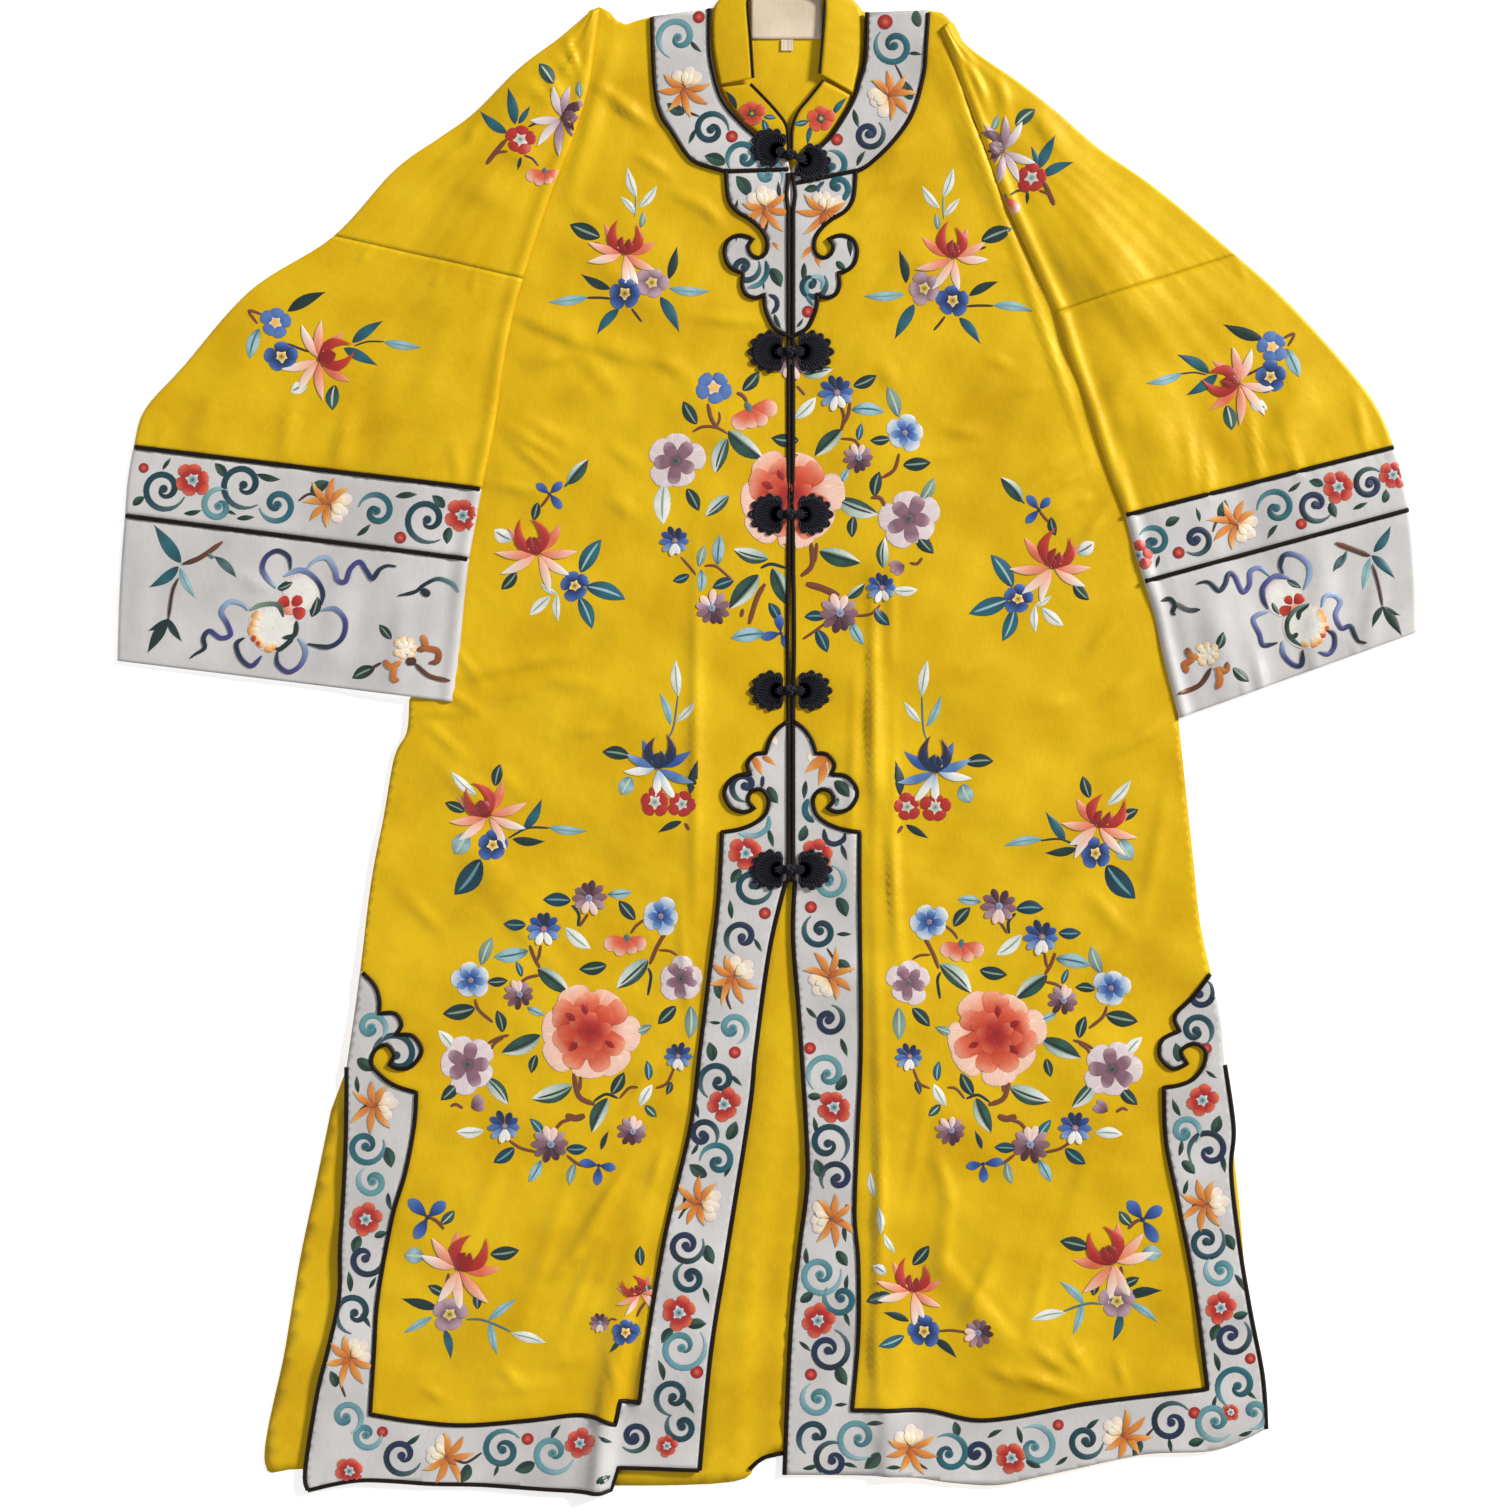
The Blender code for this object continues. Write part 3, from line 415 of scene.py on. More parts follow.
# Folds and gathers on the upper side of each sleeve, in the same columns
SLEEVE_FOLDS_RIGHT = (
    (-162, 556, -147, 522, 5, 4, 0.8, 2.6, 0.4),
    (-170, 540, -150, 520, 5, 5, 0.4, 1.9, 0.2),
    (-182, 534, -160, 500, 7, 6, 0.2, 1.8, 0.4),
    (-196, 522, -170, 500, 8, 8, 0.2, 1.6, 0.2),
    (-228, 490, -242, 468, 7, 9, 0.2, 2.0, 0.6),
    (-240, 470, -270, 447, 8, 9, 0.6, 1.8, 0.2),
    (-214, 470, -180, 452, 12, 14, 0.2, 1.8, 0.2),
    (-250, 440, -200, 420, 16, 22, 0.2, 1.6, 0.2),
    (-319, 385, -326, 374, 4, 5, 0.6, 1.6, 0.4),
    (-262, 366, -266, 354, 4, 5, 0.4, 1.3, 0.2),
    (-234, 362, -235, 350, 4, 4, 0.4, 1.2, 0.2),
    (-396, 330, -444, 262, 26, 30, 0.4, 2.6, 1.6),
    (-437, 276, -456, 236, 14, 16, 0.6, 2.4, 1.8),
    (-379, 268, -386, 226, 10, 12, 0.4, 2.0, 1.6),
    (-333, 262, -342, 220, 9, 10, 0.4, 2.0, 1.8),
    (-300, 300, -306, 214, 22, 24, 0.2, 1.6, 1.2),
    (-253, 236, -246, 204, 8, 9, 0.4, 1.8, 1.4),
    (-480, 246, -486, 226, 6, 6, 0.4, 1.4, 1.0),
    (-500, 140, -505, 70, 14, 16, 0.6, 1.8, 0.8),
    (-424, 126, -394, 110, 5, 9, 0.2, 1.6, 0.3),
    (-340, 130, -346, 60, 18, 22, 0.4, 1.8, 1.0),
    (-290, 120, -296, 40, 12, 14, 0.4, 1.6, 0.8),
)
SLEEVE_FOLDS_LEFT = (
    (158, 546, 180, 486, 6, 7, 0.6, 2.2, 0.6),
    (186, 524, 192, 492, 8, 7, 0.4, 2.0, 0.2),
    (206, 512, 238, 456, 10, 16, 0.2, 1.6, 0.2),
    (202, 409, 332, 313, 32, 84, 0.6, 5.0, 1.2),
    (300, 264, 315, 203, 20, 36, 0.4, 2.8, 1.2),
    (295, 294, 262, 256, 14, 14, 0.2, 2.2, 0.2),
    (433, 296, 410, 226, 22, 26, 0.4, 3.0, 2.0),
    (385, 254, 393, 208, 7, 7, 0.4, 2.2, 1.8),
    (408, 262, 425, 208, 8, 8, 0.4, 2.6, 2.0),
    (470, 276, 478, 232, 8, 8, 0.4, 2.2, 1.8),
    (494, 250, 498, 226, 5, 6, 0.4, 1.4, 1.2),
    (350, 224, 353, 190, 7, 7, 0.4, 1.8, 1.6),
    (332, 248, 341, 200, 10, 10, 0.4, 2.0, 1.6),
    (279, 228, 288, 192, 7, 7, 0.4, 2.0, 1.6),
    (284, 352, 288, 338, 4, 4, 0.4, 1.4, 0.2),
    (328, 366, 334, 352, 4, 4, 0.4, 1.4, 0.2),
    (376, 376, 382, 360, 4, 5, 0.4, 1.4, 0.2),
    (300, 260, 268, 236, 12, 14, 0.2, 1.6, 0.2),
    (444, 135, 438, 50, 16, 20, 0.6, 2.6, 1.0),
    (492, 145, 480, 66, 12, 14, 0.5, 2.2, 1.0),
    (352, 126, 366, 28, 18, 20, 0.5, 2.4, 1.4),
    (390, 66, 397, 24, 6, 7, 0.2, 1.8, 1.4),
    (376, 50, 384, 22, 5, 6, 0.2, 1.6, 1.2),
    (434, 68, 440, 46, 4, 5, 0.2, 1.6, 1.2),
    (468, 74, 474, 52, 4, 5, 0.2, 1.6, 1.2),
)
# The roll along a sleeve's inner edge and the trough beside it: distance in, breadth and height
EDGE_ROLL = ((5.0, 4.0, 1.7), (14.0, 5.5, -0.9))
# How much of that the right sleeve has
ROLL_RIGHT = 0.6
# The cloth's broad soft lie, as waves: length, heading in degrees, phase in degrees and height
WAVES = (
    (131.0, 20.0, 10.0, 0.55),
    (83.0, 75.0, 140.0, 0.45),
    (61.0, 128.0, 60.0, 0.36),
    (43.0, 50.0, 220.0, 0.20),
    (31.0, 162.0, 300.0, 0.14),
)
# It is calmer near the front opening: how far out it is full, and its least share
CALM_REACH = 60.0
CALM_LEAST = 0.25
# How strongly the smaller creases stand out, and how far past its ends a fold fades out
CREASE_DEPTH = 2.4
FOLD_FADE = 12.0

# The stand collar's rows: base x, y and z, then free edge x, y and z, of its upper face
COLLAR_BACK = (
    (-38.5, 517.5, 4.6, -11, 522.5, 7.0),
    (-44, 547, 3.4, -13, 553, 6.8),
    (-44, 574, 3.4, -15, 578, 6.8),
    (-36, 588, 3.6, -14, 586, 6.6),
    (-15, 601, 4.4, -4, 590.5, 6.4),
    (15, 607, 4.8, 16, 592, 6.2),
    (46, 601, 4.4, 36, 590.5, 6.4),
    (66, 588, 3.6, 45, 586, 6.6),
    (77, 573, 3.4, 46, 578, 6.8),
    (76.5, 540, 3.4, 44, 549, 6.8),
    (69, 511, 4.6, 42, 526, 7.0),
)
COLLAR_RIGHT = (
    (-37.5, 515.5, 3.0, -13, 518, 4.6),
    (-33, 506, 3.0, -4, 509, 5.0),
    (-20, 490, 3.0, 8, 496, 4.8),
    (-8, 479.5, 3.0, 15.5, 485, 4.4),
    (6, 468.5, 3.0, 17, 471, 4.0),
    (15.5, 460, 3.0, 17.5, 462, 3.6),
)
COLLAR_LEFT = (
    (68, 508.5, 3.0, 45, 521, 4.6),
    (64.5, 500.5, 3.0, 34, 507, 5.0),
    (54.5, 485, 3.0, 25, 496, 4.8),
    (44, 473.5, 3.0, 20.5, 484, 4.4),
    (30.5, 462, 3.0, 20, 470, 4.0),
    (23, 455.5, 3.0, 20, 458, 3.6),
)
# Points across the collar, how far it bulges and the width below which it bulges less
COLLAR_POINTS = 9
COLLAR_BELLY = 0.7
COLLAR_NARROW = 12.0

# Frogs: height of the right and left fan, their distance out, radius and tilt in degrees
FROGS = (
    (467, 455, 16.0, 17.0, 24),
    (304, 304, 16.5, 18.5, 0),
    (174, 174, 16.5, 18.0, 0),
    (33, 33, 16.0, 17.5, 0),
    (-110, -110, 16.0, 17.5, 0),
)
# Loops of a fan from its middle to its edge: heading, length as a share of the radius, and width
FAN_LOOPS = ((0, 1.0, 4.4), (30, 0.97, 4.2), (57, 0.92, 3.6), (84, 0.94, 3.6), (112, 0.90, 3.6))
# Cords that fill a fan: their headings, reach as a share of the fan's radius, breadth and height
FAN_FILL = (range(-126, 127, 14), 0.76, 1.7, 0.5)
# Where the cords meet, as a share of the radius towards the knot
FAN_MEETING = 0.5
# How much higher every second cord of a fan lies
CROSSING_RAISE = 0.3
# The round hub that the cords start from, and the coils on it: share of its radius, and height
HUB_RADIUS = 2.4
HUB_COILS = ((0.5, 1.2), (1.3, 0.8))
# The ball knot: its radius, that of its heart and of its cord, how high its middle lies over the
# cloth, and how much higher its heart lies
KNOT_RADIUS = 4.4
HEART_RADIUS = 3.0
KNOT_CORD_RADIUS = 1.25
KNOT_RAISE = 3.2
HEART_RAISE = 1.0
# Half the distance between the two cords that hold a knot
SHANK_APART = 1.3
# Points round a loop of cord, a coil and a knot
CORD_POINTS = 26
COIL_POINTS = 16
KNOT_POINTS = 96

# How far apart the two centre bindings stand at heights down the opening
OPENING_GAP = ((470, 0.0), (443, 0.2), (430, 3.4), (418, 0.2), (300, 0.0), (128, 0.0), (112, 1.0),
               (70, 1.4), (38, 0.4), (0, 0.0), (-119, 0.0))

# The label and the size tab inside the neck: sizes, middles, wall, and points along and across
LABEL_SIZE = (57.0, 33.0)
LABEL_PLACE = (15.5, 571.0)
TAB_SIZE = (9.0, 9.0)
TAB_PLACE = (16.0, 549.5)
LABEL_WALL = 0.8
LABEL_COLUMNS = 24
LABEL_ROWS = 14

# Materials: the weft's scale as a share of the warp's, how strongly threads tint the cloth, the
# slant of a cord's strands, and the relief of threads, strands and stitches in millimetres
WEFT_SHARE = 0.06
THREAD_CONTRAST = 0.35
STRAND_SLANT = math.radians(38.0)
THREAD_RELIEF = 0.1
STRAND_RELIEF = 0.3
STITCH_RELIEF = 0.12

# The studio: half the floor's side and its level, the world's light and the camera, in metres but
# for the lens and sensor. Lamps: name, place, size, watts and colour
FLOOR_HALF = 3.0
FLOOR_LEVEL = -0.0002
WORLD_STRENGTH = 0.27
LENS = 80.0
SENSOR_WIDTH = 36.0
LAMPS = (
    ("key", (9.5, 6.0, 6.6), 2.4, 2520.0, (1.0, 0.99, 0.97)),
    ("fill", (-3.4, -1.6, 3.2), 3.0, 60.0, (0.97, 0.98, 1.0)),
)

# Stitches: least height over the cloth, what each layer adds, the layers of the strokes on borders
# and cuffs, the slant of leaf stitches, and the step in the cloth that cuts a motif
STITCH_LIFT = 0.12
LAYER_LIFT = 0.16
BORDER_LAYER = 1
CUFF_LAYER = 4
STITCH_SLANT = math.radians(38.0)
STEP_LIMIT = 3.0
# Petals: shares of the half width that have a column of points, rows of a small and of a large one,
# and the length below which it is small
PETAL_COLUMNS = (-1.0, -0.86, -0.5, -0.2, -0.08, 0.08, 0.2, 0.5, 0.86, 1.0)
SMALL_ROWS = 7
LARGE_ROWS = 11
SMALL_PETAL = 14.0
# The least half width of a petal, how far its middle is domed and what share of the width that is
LEAST_HALF = 0.15
DOME = 0.5
DOME_SHARE = 0.06
# The shares of the half width from which a leaf with a vein shows its other half's threads, and
# from which a motif's rim is shaded
FOLD_FROM = 0.3
RIM_FROM = 0.9
# The brightness below which a motif's rim is lighter, as a pale outline thread, how much lighter it is, and
# how much darker it is otherwise, as painted shade where the stitches drop to the cloth
DARK_THREAD = 0.05
RIM_LIGHTER = 1.35
RIM_PAINTED_SHADE = 0.78
# A vein: its half width as a share, and the stretch of the leaf that it runs along
VEIN_HALF = 0.1
VEIN_START = 0.08
VEIN_END = 0.86
# The least sharpness of a pointed tip, how far leaves bend, how unequal a flower's petals are and
# by how many degrees they sway
POINTED_TIP = 0.85
LEAF_BEND = 0.06
PETAL_UNEVEN = 0.09
PETAL_SWAY = 6.0
# Columns of points across a stroke, and the sides and rings of a disc
STROKE_COLUMNS = (-1.0, -0.5, 0.0, 0.5, 1.0)
DISC_SIDES = 18
DISC_RINGS = 6
# How much of its width a stem keeps at its ends
STEM_TAPER = 0.6
# The size of border lotuses, the width of their stems and the least reach of a scroll
LOTUS_SIZE = 23.0
LOTUS_STEM = 2.2
SCROLL_REACH = 12.5
SCROLL_TONES = {
    "navy": ("navy", "navy", "ink_teal", "grey_teal"),
    "deep": ("ink_teal", "deep_teal", "deep_teal", "grey_teal"),
    "teal": ("deep_teal", "teal", "teal", "light_teal"), "light": ("teal", "light_teal", "light_teal", "ice"),
}
# A scroll's line: extra turns round its bulb, how near it starts as a share of its reach, the
# bulb's radius, points along the line, and its width at shares of the way
SCROLL_CURL = 0.3
SCROLL_START = 0.14
BULB_RADIUS = 3.3
SCROLL_POINTS = 30
SCROLL_WIDTHS = ((0.0, 0.3, 0.8, 1.0), (5.3, 5.0, 4.6, 2.9))
# How much larger than its measured radius border plum blossom is sewn, and its heading
PLUM_GAIN = 1.1
PLUM_HEADING = 75

# Embroidery threads, as red, green and blue from 0 to 255
THREADS = {
    "navy": (22, 38, 70), "blue": (42, 76, 146), "mid_blue": (76, 110, 166), "sky": (136, 164, 196),
    "ice": (148, 180, 186), "white": (222, 220, 212), "cream": (232, 216, 186), "ink_teal": (10, 36, 44),
    "deep_teal": (12, 58, 70), "teal": (30, 92, 104), "light_teal": (92, 142, 150),
    "dark_green": (22, 48, 40), "green": (44, 80, 66), "grey_green": (124, 148, 132),
    "pale_green": (182, 196, 182), "grey_teal": (76, 106, 110), "grey": (104, 102, 98),
    "deep_red": (134, 22, 22), "red": (168, 38, 32), "red_orange": (192, 64, 38), "coral": (210, 100, 70),
    "salmon": (226, 150, 120), "blush": (232, 192, 172), "plum": (72, 38, 50), "mauve": (126, 90, 104),
    "lilac": (172, 142, 152), "pale_lilac": (212, 196, 196), "burnt_orange": (180, 94, 36),
    "orange": (208, 128, 48), "light_orange": (226, 172, 98), "gold": (220, 180, 64), "brown": (112, 60, 30),
    "dark_brown": (66, 38, 28), "violet": (60, 60, 124), "periwinkle": (110, 122, 172),
}

# Leaves and buds. Columns: threads from stem to tip, the vein, the other half's threads, width as a
# share of length, bluntness, and where it is widest (below 1 nearer the stem)
LEAVES = {
    "dark_leaf": (("ink_teal", "dark_green", "dark_green"), "grey_green", None, 0.50, 0.62, 0.95),
    "deep_leaf": (("ink_teal", "deep_teal", "deep_teal"), "light_teal", None, 0.52, 0.60, 0.95),
    "green_leaf": (("dark_green", "green", "green"), "pale_green", None, 0.56, 0.55, 1.0),
    "teal_leaf": (("deep_teal", "teal", "teal"), "ice", None, 0.42, 0.7, 0.9),
    "ice_leaf": (("teal", "ice", "ice", "light_teal"), "teal", None, 0.42, 0.65, 1.0),
    "grey_leaf": (("grey_teal", "grey_green", "grey_green"), "pale_green", None, 0.42, 0.7, 1.0),
    "white_leaf": (("pale_green", "white", "white"), "grey_green", None, 0.42, 0.7, 1.0),
    "fold_leaf": (("dark_green", "green", "dark_green"), "ink_teal", ("grey_green", "pale_green", "white"),
                  0.42, 0.68, 0.9),
    "fold_back": (("grey_green", "pale_green", "white"), "ink_teal", ("dark_green", "green", "dark_green"),
                  0.42, 0.68, 0.9),
    "blade": (("deep_teal", "teal", "deep_teal"), None, None, 0.29, 0.95, 0.75),
    "dark_blade": (("ink_teal", "dark_green", "ink_teal"), None, None, 0.28, 0.95, 0.8),
    "ice_blade": (("light_teal", "ice", "light_teal"), "light_teal", None, 0.24, 0.9, 0.85),
    "grey_blade": (("dark_green", "grey_teal", "dark_green"), None, None, 0.3, 0.9, 0.9),
    "white_blade": (("pale_green", "white", "pale_green"), "grey_green", None, 0.30, 0.85, 0.9),
    "white_bud": (("ice", "white", "white"), "grey", None, 0.72, 0.5, 1.0),
    "border_leaf": (("ink_teal", "dark_green", "dark_green"), None, ("dark_green", "green", "green"), 0.58,
                    0.55, 0.9),
    "orange_horn": (("burnt_orange", "orange", "light_orange"), None, None, 0.36, 0.8, 0.7),
    "cream_petal": (("light_orange", "cream", "white"), None, None, 0.55, 0.6, 1.1),
    "border_blade": (("ink_teal", "dark_green", "green"), None, None, 0.30, 0.8, 0.9),
    "ice_bud": (("grey_teal", "ice", "grey_green"), "pale_green", None, 0.8, 0.45, 1.0),
}

# Headings of the petals in a ring
FIVE = (0, 72, 144, 216, 288)
FIVE_BETWEEN = (36, 108, 180, 252, 324)
SIX = (0, 60, 120, 180, 240, 300)
SEVEN = (12, 62, 118, 165, 216, 268, 318)


def round_petals(headings, *shades):
    """A ring of round petals, shaded from the flower's heart outwards."""
    return headings, 0.10, 0.90, 3.8 / len(headings) + 0.18, shades, 1.6, 0.45


def daisy(*shades):
    """A ring of ten narrow petals, shaded round from the flower's head to its foot."""
    return tuple(((18 + 36 * step, -18 - 36 * step), 0.14, 0.86, 0.44, shade, 1.5, 0.5)
                 for step, shade in enumerate(shades))


def lotus(palest, pale, near, horn, core):
    """A half open lotus: pale petals below, two curled horns above and a small heart between them."""
    return (
        ((30, -62), 0.10, 0.88, 0.27, near, 0.9, 0.9, 0.24, 0.05),
        ((178, -150), 0.06, 0.94, 0.24, palest, 1.0, 0.8, 0.22, 0.04),
        ((100,), 0.08, 0.94, 0.25, palest, 0.9, 0.8, 0.22, 0.04),
        ((70, -112), 0.08, 0.95, 0.25, pale, 0.9, 0.85, 0.22, 0.05),
        ((8, -14), 0.00, 0.98, 0.27, horn, 0.85, 0.9, 0.26, 0.26),
        ((5, -9), 0.00, 0.46, 0.24, core, 0.9, 0.7, 0.22, 0.20),
        ((12, -10), 0.04, 0.30, 0.07, ("gold", "light_orange"), 1.0, 0.8, 0.20, 0.42),
        ((2,), 0.03, 0.18, 0.10, core, 1.0, 0.6, 0.22, 0.0),
    )


# Flowers as rings of petals. Columns: headings from the flower's own, where a petal starts, its
# length and its width as shares of the flower's radius, its threads, where it is widest, bluntness,
# and for some how far below the flower's middle the ring grows and how much its petals bend
FLOWERS = {
    "blue_plum": (round_petals(FIVE, "navy", "navy", "blue", "mid_blue"),),
    "pale_plum": (round_petals(FIVE, "blue", "mid_blue", "mid_blue"),),
    "red_plum": (round_petals(FIVE, "deep_red", "red", "red"),),
    "collar_plum": (round_petals(FIVE, "red", "red_orange", "coral"),),
    "mauve_plum": (round_petals(FIVE, "plum", "mauve", "lilac", "lilac"),),
    "border_plum": (round_petals(SIX, "deep_red", "red", "coral"),),
    "blue_double": (round_petals(FIVE, "sky", "sky", "white"),
                    (FIVE_BETWEEN, 0.02, 0.72, 0.80, ("navy", "blue", "mid_blue", "sky"), 1.5, 0.5)),
    "mauve_double": (round_petals(FIVE, "lilac", "pale_lilac", "pale_lilac"),
                     (FIVE_BETWEEN, 0.02, 0.74, 0.84, ("plum", "mauve", "mauve", "lilac"), 1.6, 0.45)),
    "navy_daisy": daisy(("navy", "navy"), ("navy", "blue"), ("blue", "mid_blue"), ("blue", "sky"),
                        ("white", "white")),
    "mauve_daisy": daisy(("plum", "plum"), ("plum", "mauve"), ("mauve", "mauve"), ("mauve", "lilac"),
                         ("pale_lilac", "blush")),
    "blue_three": (((0, 92, -95), 0.06, 0.94, 0.50, ("navy", "blue", "mid_blue"), 1.4, 0.6),),
    "pink": (((62, -62), 0.05, 1.0, 0.74, ("red_orange", "coral", "blush"), 1.7, 0.45),
             ((20, -22), 0.05, 0.82, 0.60, ("red_orange", "coral", "blush"), 1.7, 0.45),
             ((180,), -0.22, 0.46, 0.26, ("grey_teal", "grey_teal"), 1.0, 0.6)),
    "mauve_bud": (((26, -26, 0), -0.1, 1.0, 0.56, ("plum", "mauve", "lilac"), 1.2, 0.5),),
    "red_lotus": lotus(("salmon", "blush", "white"), ("coral", "salmon", "blush"),
                       ("coral", "coral", "salmon"), ("deep_red", "red", "red_orange"),
                       ("deep_red", "deep_red")),
    "purple_lotus": lotus(("lilac", "pale_lilac", "white"), ("mauve", "lilac", "pale_lilac"),
                          ("plum", "mauve", "lilac"), ("plum", "plum", "mauve"), ("plum", "mauve")),
    "blue_lotus": lotus(("sky", "white", "white"), ("mid_blue", "mid_blue", "sky"),
                        ("blue", "blue", "mid_blue"), ("navy", "navy", "plum"), ("navy", "navy")),
    "border_lotus": (
        ((-36, 4, 40), 0.16, 0.60, 0.44, ("light_orange", "cream", "pale_lilac"), 1.5, 0.5),
        ((152, -148), 0.04, 0.96, 0.24, ("burnt_orange", "orange", "light_orange"), 0.9, 0.9, 0.0, 0.08),
        ((104, -104), 0.02, 0.92, 0.25, ("burnt_orange", "orange", "orange"), 0.9, 0.9, 0.0, 0.08),
        ((64, -60), 0.04, 0.84, 0.23, ("burnt_orange", "orange", "light_orange"), 0.9, 0.9, 0.0, 0.10),
        ((176,), -0.10, 0.52, 0.20, ("brown", "burnt_orange", "burnt_orange"), 1.0, 0.8),
        ((-16, 18), 0.08, 0.46, 0.26, ("light_orange", "cream", "white"), 1.4, 0.6)),
    "peony": (
        ((92, 140, 186, 232, 274), 0.36, 0.66, 0.74, ("coral", "blush", "blush"), 1.8, 0.4),
        ((-24, 38), 0.30, 0.64, 0.70, ("red_orange", "salmon", "blush"), 1.8, 0.4),
        ((8, 62, 112, 160, 206, 252, 318), 0.22, 0.62, 0.60, ("red", "red_orange", "coral", "salmon"),
         1.7, 0.45),
        ((22, 80, 128), 0.34, 0.44, 0.44, ("deep_red", "red_orange", "salmon"), 1.6, 0.5),
        (FIVE_BETWEEN, 0.10, 0.52, 0.50, ("red", "red_orange", "coral"), 1.6, 0.5),
        (FIVE, -0.04, 0.46, 0.42, ("deep_red", "red", "coral"), 1.5, 0.5),
        ((20, 66, 140, 250), 0.34, 0.26, 0.15, ("deep_red", "deep_red", "red"), 1.0, 0.7)),
    "cuff_bloom": (((180,), -0.4, 0.9, 0.8, ("blush", "coral"), 1.2, 0.5),
                   ((0, 78, -78), 0.10, 0.90, 0.85, ("deep_red", "red", "red_orange"), 1.6, 0.45)),
    "cuff_fruit": (),
    "fruit_blush": ((range(-66, 67, 22), 0.50, 0.49, 0.46, ("white", "cream", "light_orange", "orange"),
                     1.9, 0.4),
                    ((0, 14), 0.66, 0.33, 0.30, ("light_orange", "red_orange", "red"), 1.7, 0.5)),
    "cloud_bloom": ((SEVEN, 0.30, 0.70, 0.62, ("light_orange", "cream", "light_orange"), 1.7, 0.4),
                    (FIVE, 0.0, 0.62, 0.52, ("cream", "white"), 1.5, 0.5)),
}
# A flower's eye: its radius as a share of the flower's, and its threads from the middle outwards
EYES = {
    "blue_plum": (0.40, "dark_brown", "gold", "cream"), "pale_plum": (0.42, "gold", "light_orange", "cream"),
    "red_plum": (0.50, "grey_teal", "pale_green", "blush"), "border_plum": (0.42, "ink_teal", "ice", "white"),
    "collar_plum": (0.40, "gold", "dark_green", "green"),
    "mauve_plum": (0.40, "dark_green", "gold", "pale_green"), "blue_double": (0.16, "grey", "lilac"),
    "mauve_double": (0.16, "dark_green", "grey"), "navy_daisy": (0.20, "lilac", "mauve"),
    "mauve_daisy": (0.20, "mauve", "sky"), "blue_three": (0.10, "navy", "navy"),
    "cuff_fruit": (1.0, "white", "white", "white", "pale_lilac"),
}

# Motifs of the wearer's right, which shows at the left. Columns: motif, its middle in the photograph,
# its size in millimetres (a flower's radius, a leaf's length) and its heading in degrees
SHOULDER = (
    ("green_leaf", 547, 75, 20, 125), ("grey_leaf", 580, 91, 14, 95), ("purple_lotus", 570, 118, 28, 12),
    ("red_plum", 521, 141, 12, 80), ("blade", 512, 107, 30, 101), ("blade", 525, 116, 17, 57),
    ("blade", 494, 123, 28, 140), ("dark_blade", 520, 165, 11, 255), ("pink", 545, 172, 14, 268),
)
CHEST = (
    ("white_blade", 632, 183, 25, 107), ("white_blade", 648, 197, 23, 51), ("white_blade", 628, 206, 19, 130),
    ("grey_leaf", 642, 220, 13, 80), ("dark_leaf", 585, 231, 26, 157), ("red_lotus", 625, 246, 29, 88),
    ("blue_plum", 625, 294, 13, 90), ("mauve_plum", 652, 283, 13, 70), ("dark_blade", 596, 282, 26, 153),
    ("ice_blade", 568, 300, 32, 187), ("blade", 608, 322, 27, 230), ("dark_blade", 673, 263, 27, 76),
    ("ice_blade", 690, 290, 33, -4), ("blade", 670, 315, 32, -62),
)
SLEEVE_SPRAY = (
    ("ice_leaf", 255, 344, 25, 253), ("dark_blade", 307, 302, 34, 27), ("pale_plum", 276, 323, 12.5, 80),
    ("blue_plum", 282, 357, 13, 95), ("white_bud", 299, 389, 14, 205), ("red_lotus", 327, 357, 30, 22),
    ("green_leaf", 334, 398, 20, 265), ("blade", 368, 332, 30, 35), ("blade", 361, 357, 30, -27),
    ("ice_blade", 403, 345, 31, -9),
)
SIDE_SPRAY = (
    ("fold_leaf", 578, 472, 26, 50), ("blue_three", 550, 494, 14, 47), ("dark_leaf", 536, 512, 15, 257),
    ("white_bud", 503, 535, 16, 150), ("red_lotus", 535, 546, 31, 112), ("dark_leaf", 509, 581, 18, 228),
    ("teal_leaf", 591, 556, 31, 58), ("teal_leaf", 606, 593, 33, -18), ("teal_leaf", 586, 613, 27, -68),
    ("blue_plum", 575, 586, 12, 100), ("white_blade", 549, 589, 16, 149), ("white_blade", 558, 608, 22, 271),
    ("white_leaf", 540, 606, 22, 222),
)
BLUE_SPRAY = (
    ("blue_lotus", 658, 760, 29, 88), ("white_blade", 677, 678, 29, 94), ("ice_blade", 665, 709, 27, 109),
    ("white_blade", 686, 712, 21, 46), ("dark_leaf", 616, 754, 22, 171), ("ice_bud", 626, 786, 16, 240),
    ("dark_blade", 670, 827, 21, 205), ("dark_blade", 694, 777, 28, 77),
    ("red_plum", 655, 802, 12, 90), ("red_plum", 682, 804, 11, 70),
)
HIP = (
    ("dark_leaf", 498, 775, 18, 77), ("white_blade", 464, 783, 28, 137), ("dark_leaf", 455, 807, 17, 155),
    ("ice_bud", 461, 844, 19, 239), ("red_lotus", 484, 809, 30, 125), ("deep_leaf", 468, 877, 35, 233),
    ("blue_plum", 493, 845, 12.5, 85), ("blade", 533, 814, 28, 60), ("dark_blade", 529, 840, 26, -4),
    ("ice_blade", 568, 829, 31, -6),
)
